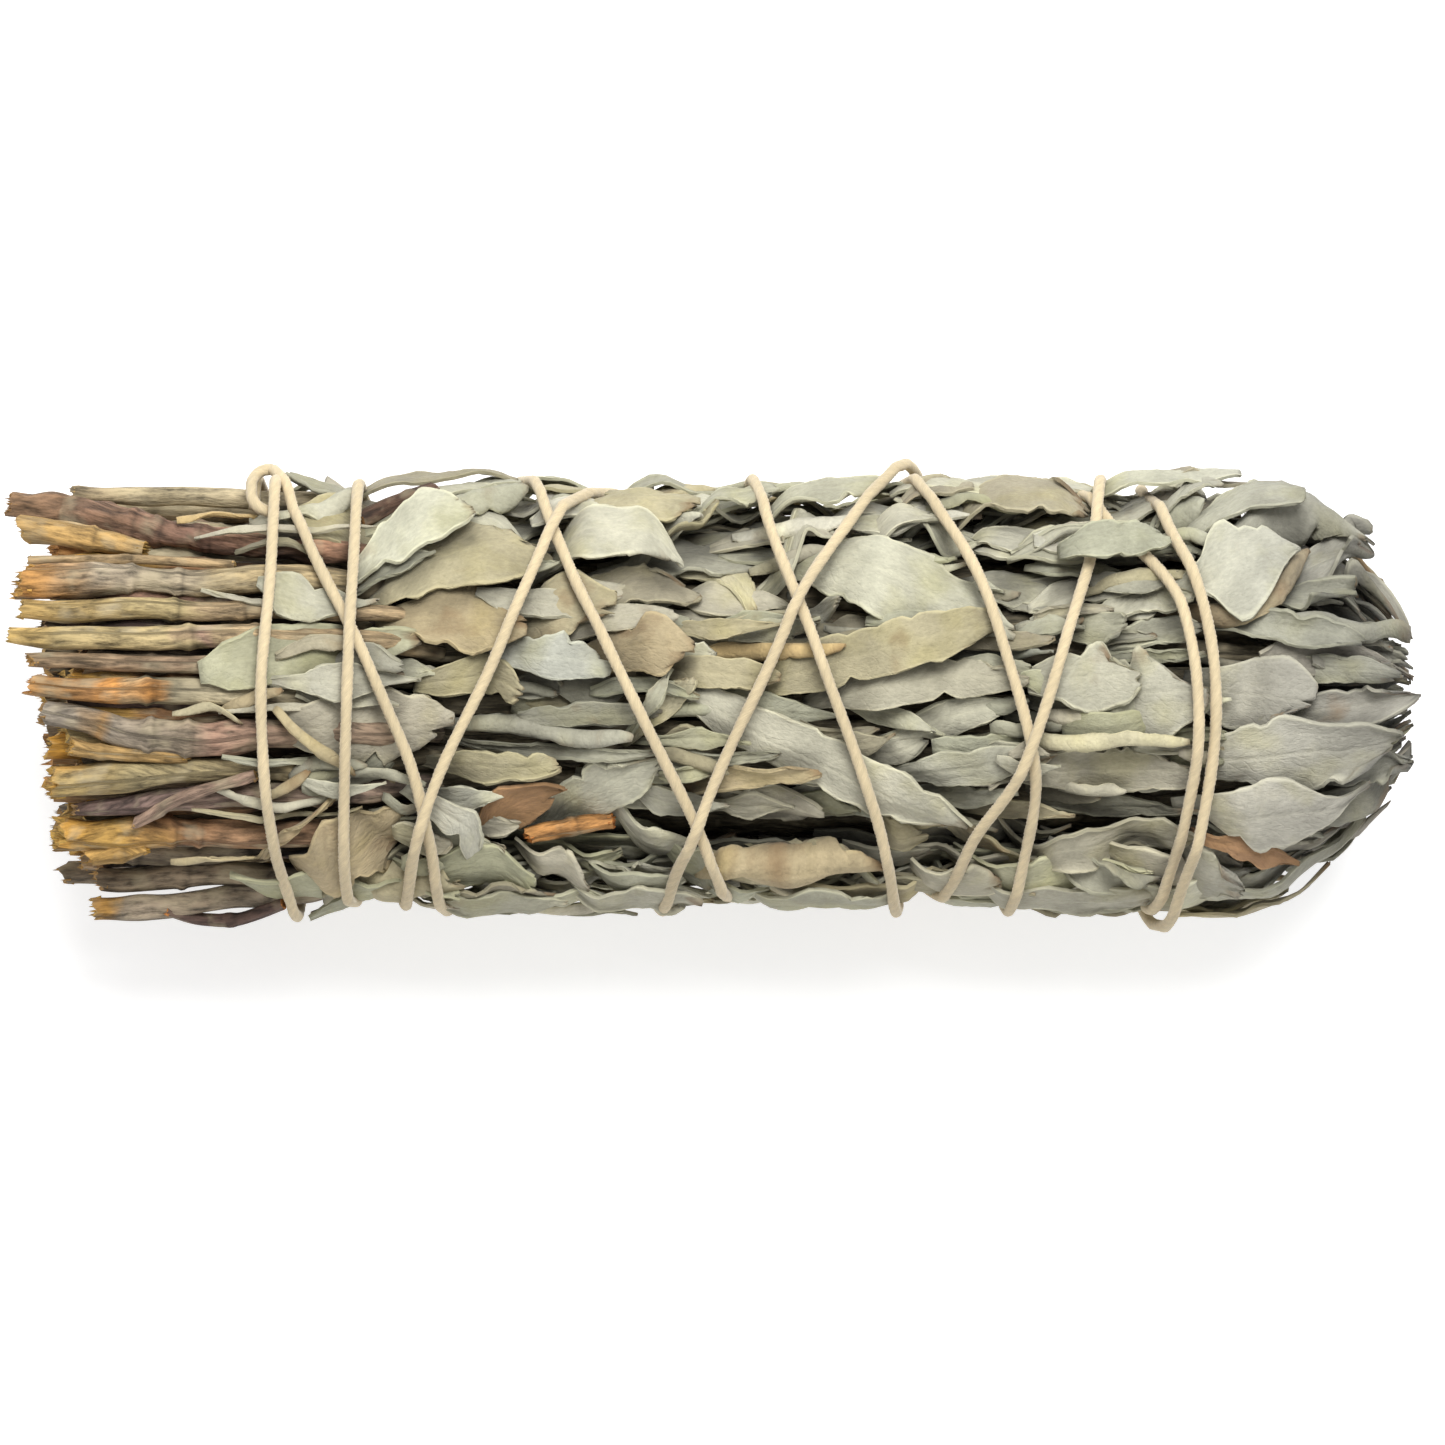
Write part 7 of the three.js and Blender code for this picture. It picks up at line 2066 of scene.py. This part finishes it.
def build_stage(stage):
    """The white sweep, the soft light above it and the camera that looks straight down."""
    half = stage.floor_size / 2
    n = 13
    ticks = np.linspace(-half, half, n)
    gx, gy = np.meshgrid(ticks, ticks, indexing="ij")
    gz = np.maximum(0, np.hypot(gx, gy) - SWEEP_FLAT * half) ** 2 * SWEEP_RISE
    mesh = bpy.data.meshes.new("white_sweep")
    faces = grid_faces(n, n)[:, ::-1]
    mesh.from_pydata(stacked(gx, gy, gz).reshape(-1, 3).tolist(), [], faces.tolist())
    mesh.materials.append(white_sweep("matt_white_board"))
    mesh.shade_smooth()
    floor = bpy.data.objects.new("white_sweep", mesh)
    bpy.context.scene.collection.objects.link(floor)

    scene = bpy.context.scene
    scene.view_settings.view_transform = "Standard"
    world = bpy.data.worlds.new("studio")
    scene.world = world
    world.use_nodes = True
    back = world.node_tree.nodes["Background"]
    back.inputs["Color"].default_value = (1, 1, 1, 1)
    back.inputs["Strength"].default_value = stage.fill
    lamp = bpy.data.lights.new("overhead_softbox", "AREA")
    lamp.shape, lamp.size, lamp.energy = "SQUARE", SOFTBOX_SIZE, stage.key
    light = bpy.data.objects.new("overhead_softbox", lamp)
    light.location = SOFTBOX_PLACE
    # turned to face the bundle
    x, y, z = SOFTBOX_PLACE
    light.rotation_euler = (math.atan2(math.hypot(x, y), z), 0, math.atan2(x, -y))
    scene.collection.objects.link(light)

    lens = bpy.data.cameras.new("camera")
    lens.sensor_width, lens.lens = SENSOR, stage.lens
    lens.dof.use_dof = False
    lens.clip_start, lens.clip_end = 0.01, 20
    camera = bpy.data.objects.new("camera", lens)
    level = AXIS_HEIGHT * 0.001
    distance = stage.view_width * stage.lens / SENSOR
    camera.location = (stage.view_x, stage.view_y, level + distance)
    scene.collection.objects.link(camera)
    scene.camera = camera


# ---------------- add-on
class SageSizes(bpy.types.PropertyGroup):
    """Sizes of the fine detail, in millimetres."""

    leaf_thickness: number_of("Leaf thickness", "Thickness of a leaf, mm", 0.3)
    leaf_wrinkle: number_of("Leaf wrinkles", "Depth of the wrinkles, mm", 0.15)
    fold: number_of("Folds", "Height of a fold along a leaf, mm", 0.65)
    curl: number_of("Curl", "Height of a curled edge, mm", 0.8)
    cup: number_of("Cup", "Share kept of the layout's cupped leaves", 0.5)
    vein_spacing: number_of("Vein spacing", "Between side veins, mm", 1.7)
    widen: number_of("Leaf width", "Width as a share of the layout's", 1.2)
    side_bulge: number_of("Side bulge", "How far side leaves spring out, mm", 1.0)
    # painted shade on the under side of every leaf
    painted_under_shade: number_of("Under side", "Brightness of the under side", 0.8)
    # painted shade deep between the leaves
    painted_deep_shade: number_of("Deep tone", "Brightness deep between the leaves", 0.36)
    # painted shadow where leaves or twine overhang a leaf
    painted_contact_shadow: number_of("Contact", "Darkening where leaves meet", 0.42)
    # painted shade over the rounded tip end of the bundle
    painted_tip_shade: number_of("Tip tone", "Brightness of the dried tips", 0.68)
    tip_cool: number_of("Tip hue", "Blue of the tips, as a share", 1.08)
    stem_width: number_of("Stem width", "Width as a share of the layout's", 1.1)
    twine_radius: number_of("Twine radius", "Radius of the twine, mm", 0.54)
    twine_step: number_of("Twine step", "Length of a step along the twine, mm", 0.45)
    twine_lay: number_of("Twine lay", "Length of one turn of its plies, mm", 4.2)


class SageStage(bpy.types.PropertyGroup):
    """Floor, light and camera."""

    floor_size: number_of("Floor", "Width of the sweep", 3.0, unit="LENGTH")
    fill: number_of("Fill light", "Strength of the light from all round", 0.6)
    key: number_of("Key light", "Power of the overhead softbox, W", 11.5)
    lens: number_of("Lens", "Focal length, mm", 250.0)
    view_width: number_of("View width", "Width seen at the axis", 0.12838, unit="LENGTH")
    view_x: number_of("View X", "Where the camera stands", 0.00075, unit="LENGTH")
    view_y: number_of("View Y", "Where the camera stands", -0.0026, unit="LENGTH")


class SAGE_OT_stage(bpy.types.Operator):
    """Makes the floor, the light and the camera."""

    bl_idname = "sage.stage"
    bl_label = "Stage"

    def execute(self, context):
        build_stage(context.scene.sage_stage)
        return {"FINISHED"}


class SAGE_OT_twine(bpy.types.Operator):
    """Binds the bundle with three-ply cotton twine."""

    bl_idname = "sage.twine"
    bl_label = "Cotton twine"

    def execute(self, context):
        dress_twine(context.scene.sage_sizes)
        return {"FINISHED"}


def dress_kinds(context, kinds):
    shoots = bundle_layout().shoots
    for index, shoot in enumerate(shoots):
        if any(shoot.kind is kind for kind in kinds):
            dress_shoot(index, context.scene.sage_sizes)


class SAGE_OT_front_stems(bpy.types.Operator):
    """Makes the leafy stems on the upper side."""

    bl_idname = "sage.front_stems"
    bl_label = "Upper leafy stems"

    def execute(self, context):
        dress_kinds(context, [FRONT_SHOOT])
        return {"FINISHED"}


class SAGE_OT_back_stems(bpy.types.Operator):
    """Makes the leafy stems on the side that the bundle lies on."""

    bl_idname = "sage.back_stems"
    bl_label = "Lower leafy stems"

    def execute(self, context):
        dress_kinds(context, [BACK_SHOOT])
        return {"FINISHED"}


class SAGE_OT_inner_stems(bpy.types.Operator):
    """Makes the leafy stems inside the bundle."""

    bl_idname = "sage.inner_stems"
    bl_label = "Inner leafy stems"

    def execute(self, context):
        dress_kinds(context, [INNER_SHOOT, CORE_SHOOT])
        return {"FINISHED"}


OPERATORS = (
    SAGE_OT_stage,
    SAGE_OT_front_stems,
    SAGE_OT_back_stems,
    SAGE_OT_inner_stems,
    SAGE_OT_twine,
)


class SAGE_PT_bundle(bpy.types.Panel):
    """Lists the steps that make the bundle."""

    bl_idname = "SAGE_PT_bundle"
    bl_label = "Sage bundle"
    bl_space_type = "VIEW_3D"
    bl_region_type = "UI"
    bl_category = "Sage"

    def draw(self, _):
        for operator in OPERATORS:
            self.layout.operator(operator.bl_idname)


CLASSES = (SageSizes, SageStage, SageColours, *OPERATORS, SAGE_PT_bundle)


def register():
    for one in CLASSES:
        bpy.utils.register_class(one)
    bpy.types.Scene.sage_sizes = PointerProperty(type=SageSizes)
    bpy.types.Scene.sage_stage = PointerProperty(type=SageStage)
    bpy.types.Scene.sage_colours = PointerProperty(type=SageColours)


def unregister():
    del bpy.types.Scene.sage_colours
    del bpy.types.Scene.sage_stage
    del bpy.types.Scene.sage_sizes
    for one in reversed(CLASSES):
        bpy.utils.unregister_class(one)


def main():
    register()
    bpy.ops.sage.stage()
    bpy.ops.sage.front_stems()
    bpy.ops.sage.back_stems()
    bpy.ops.sage.inner_stems()
    bpy.ops.sage.twine()


if __name__ == "__main__":
    main()
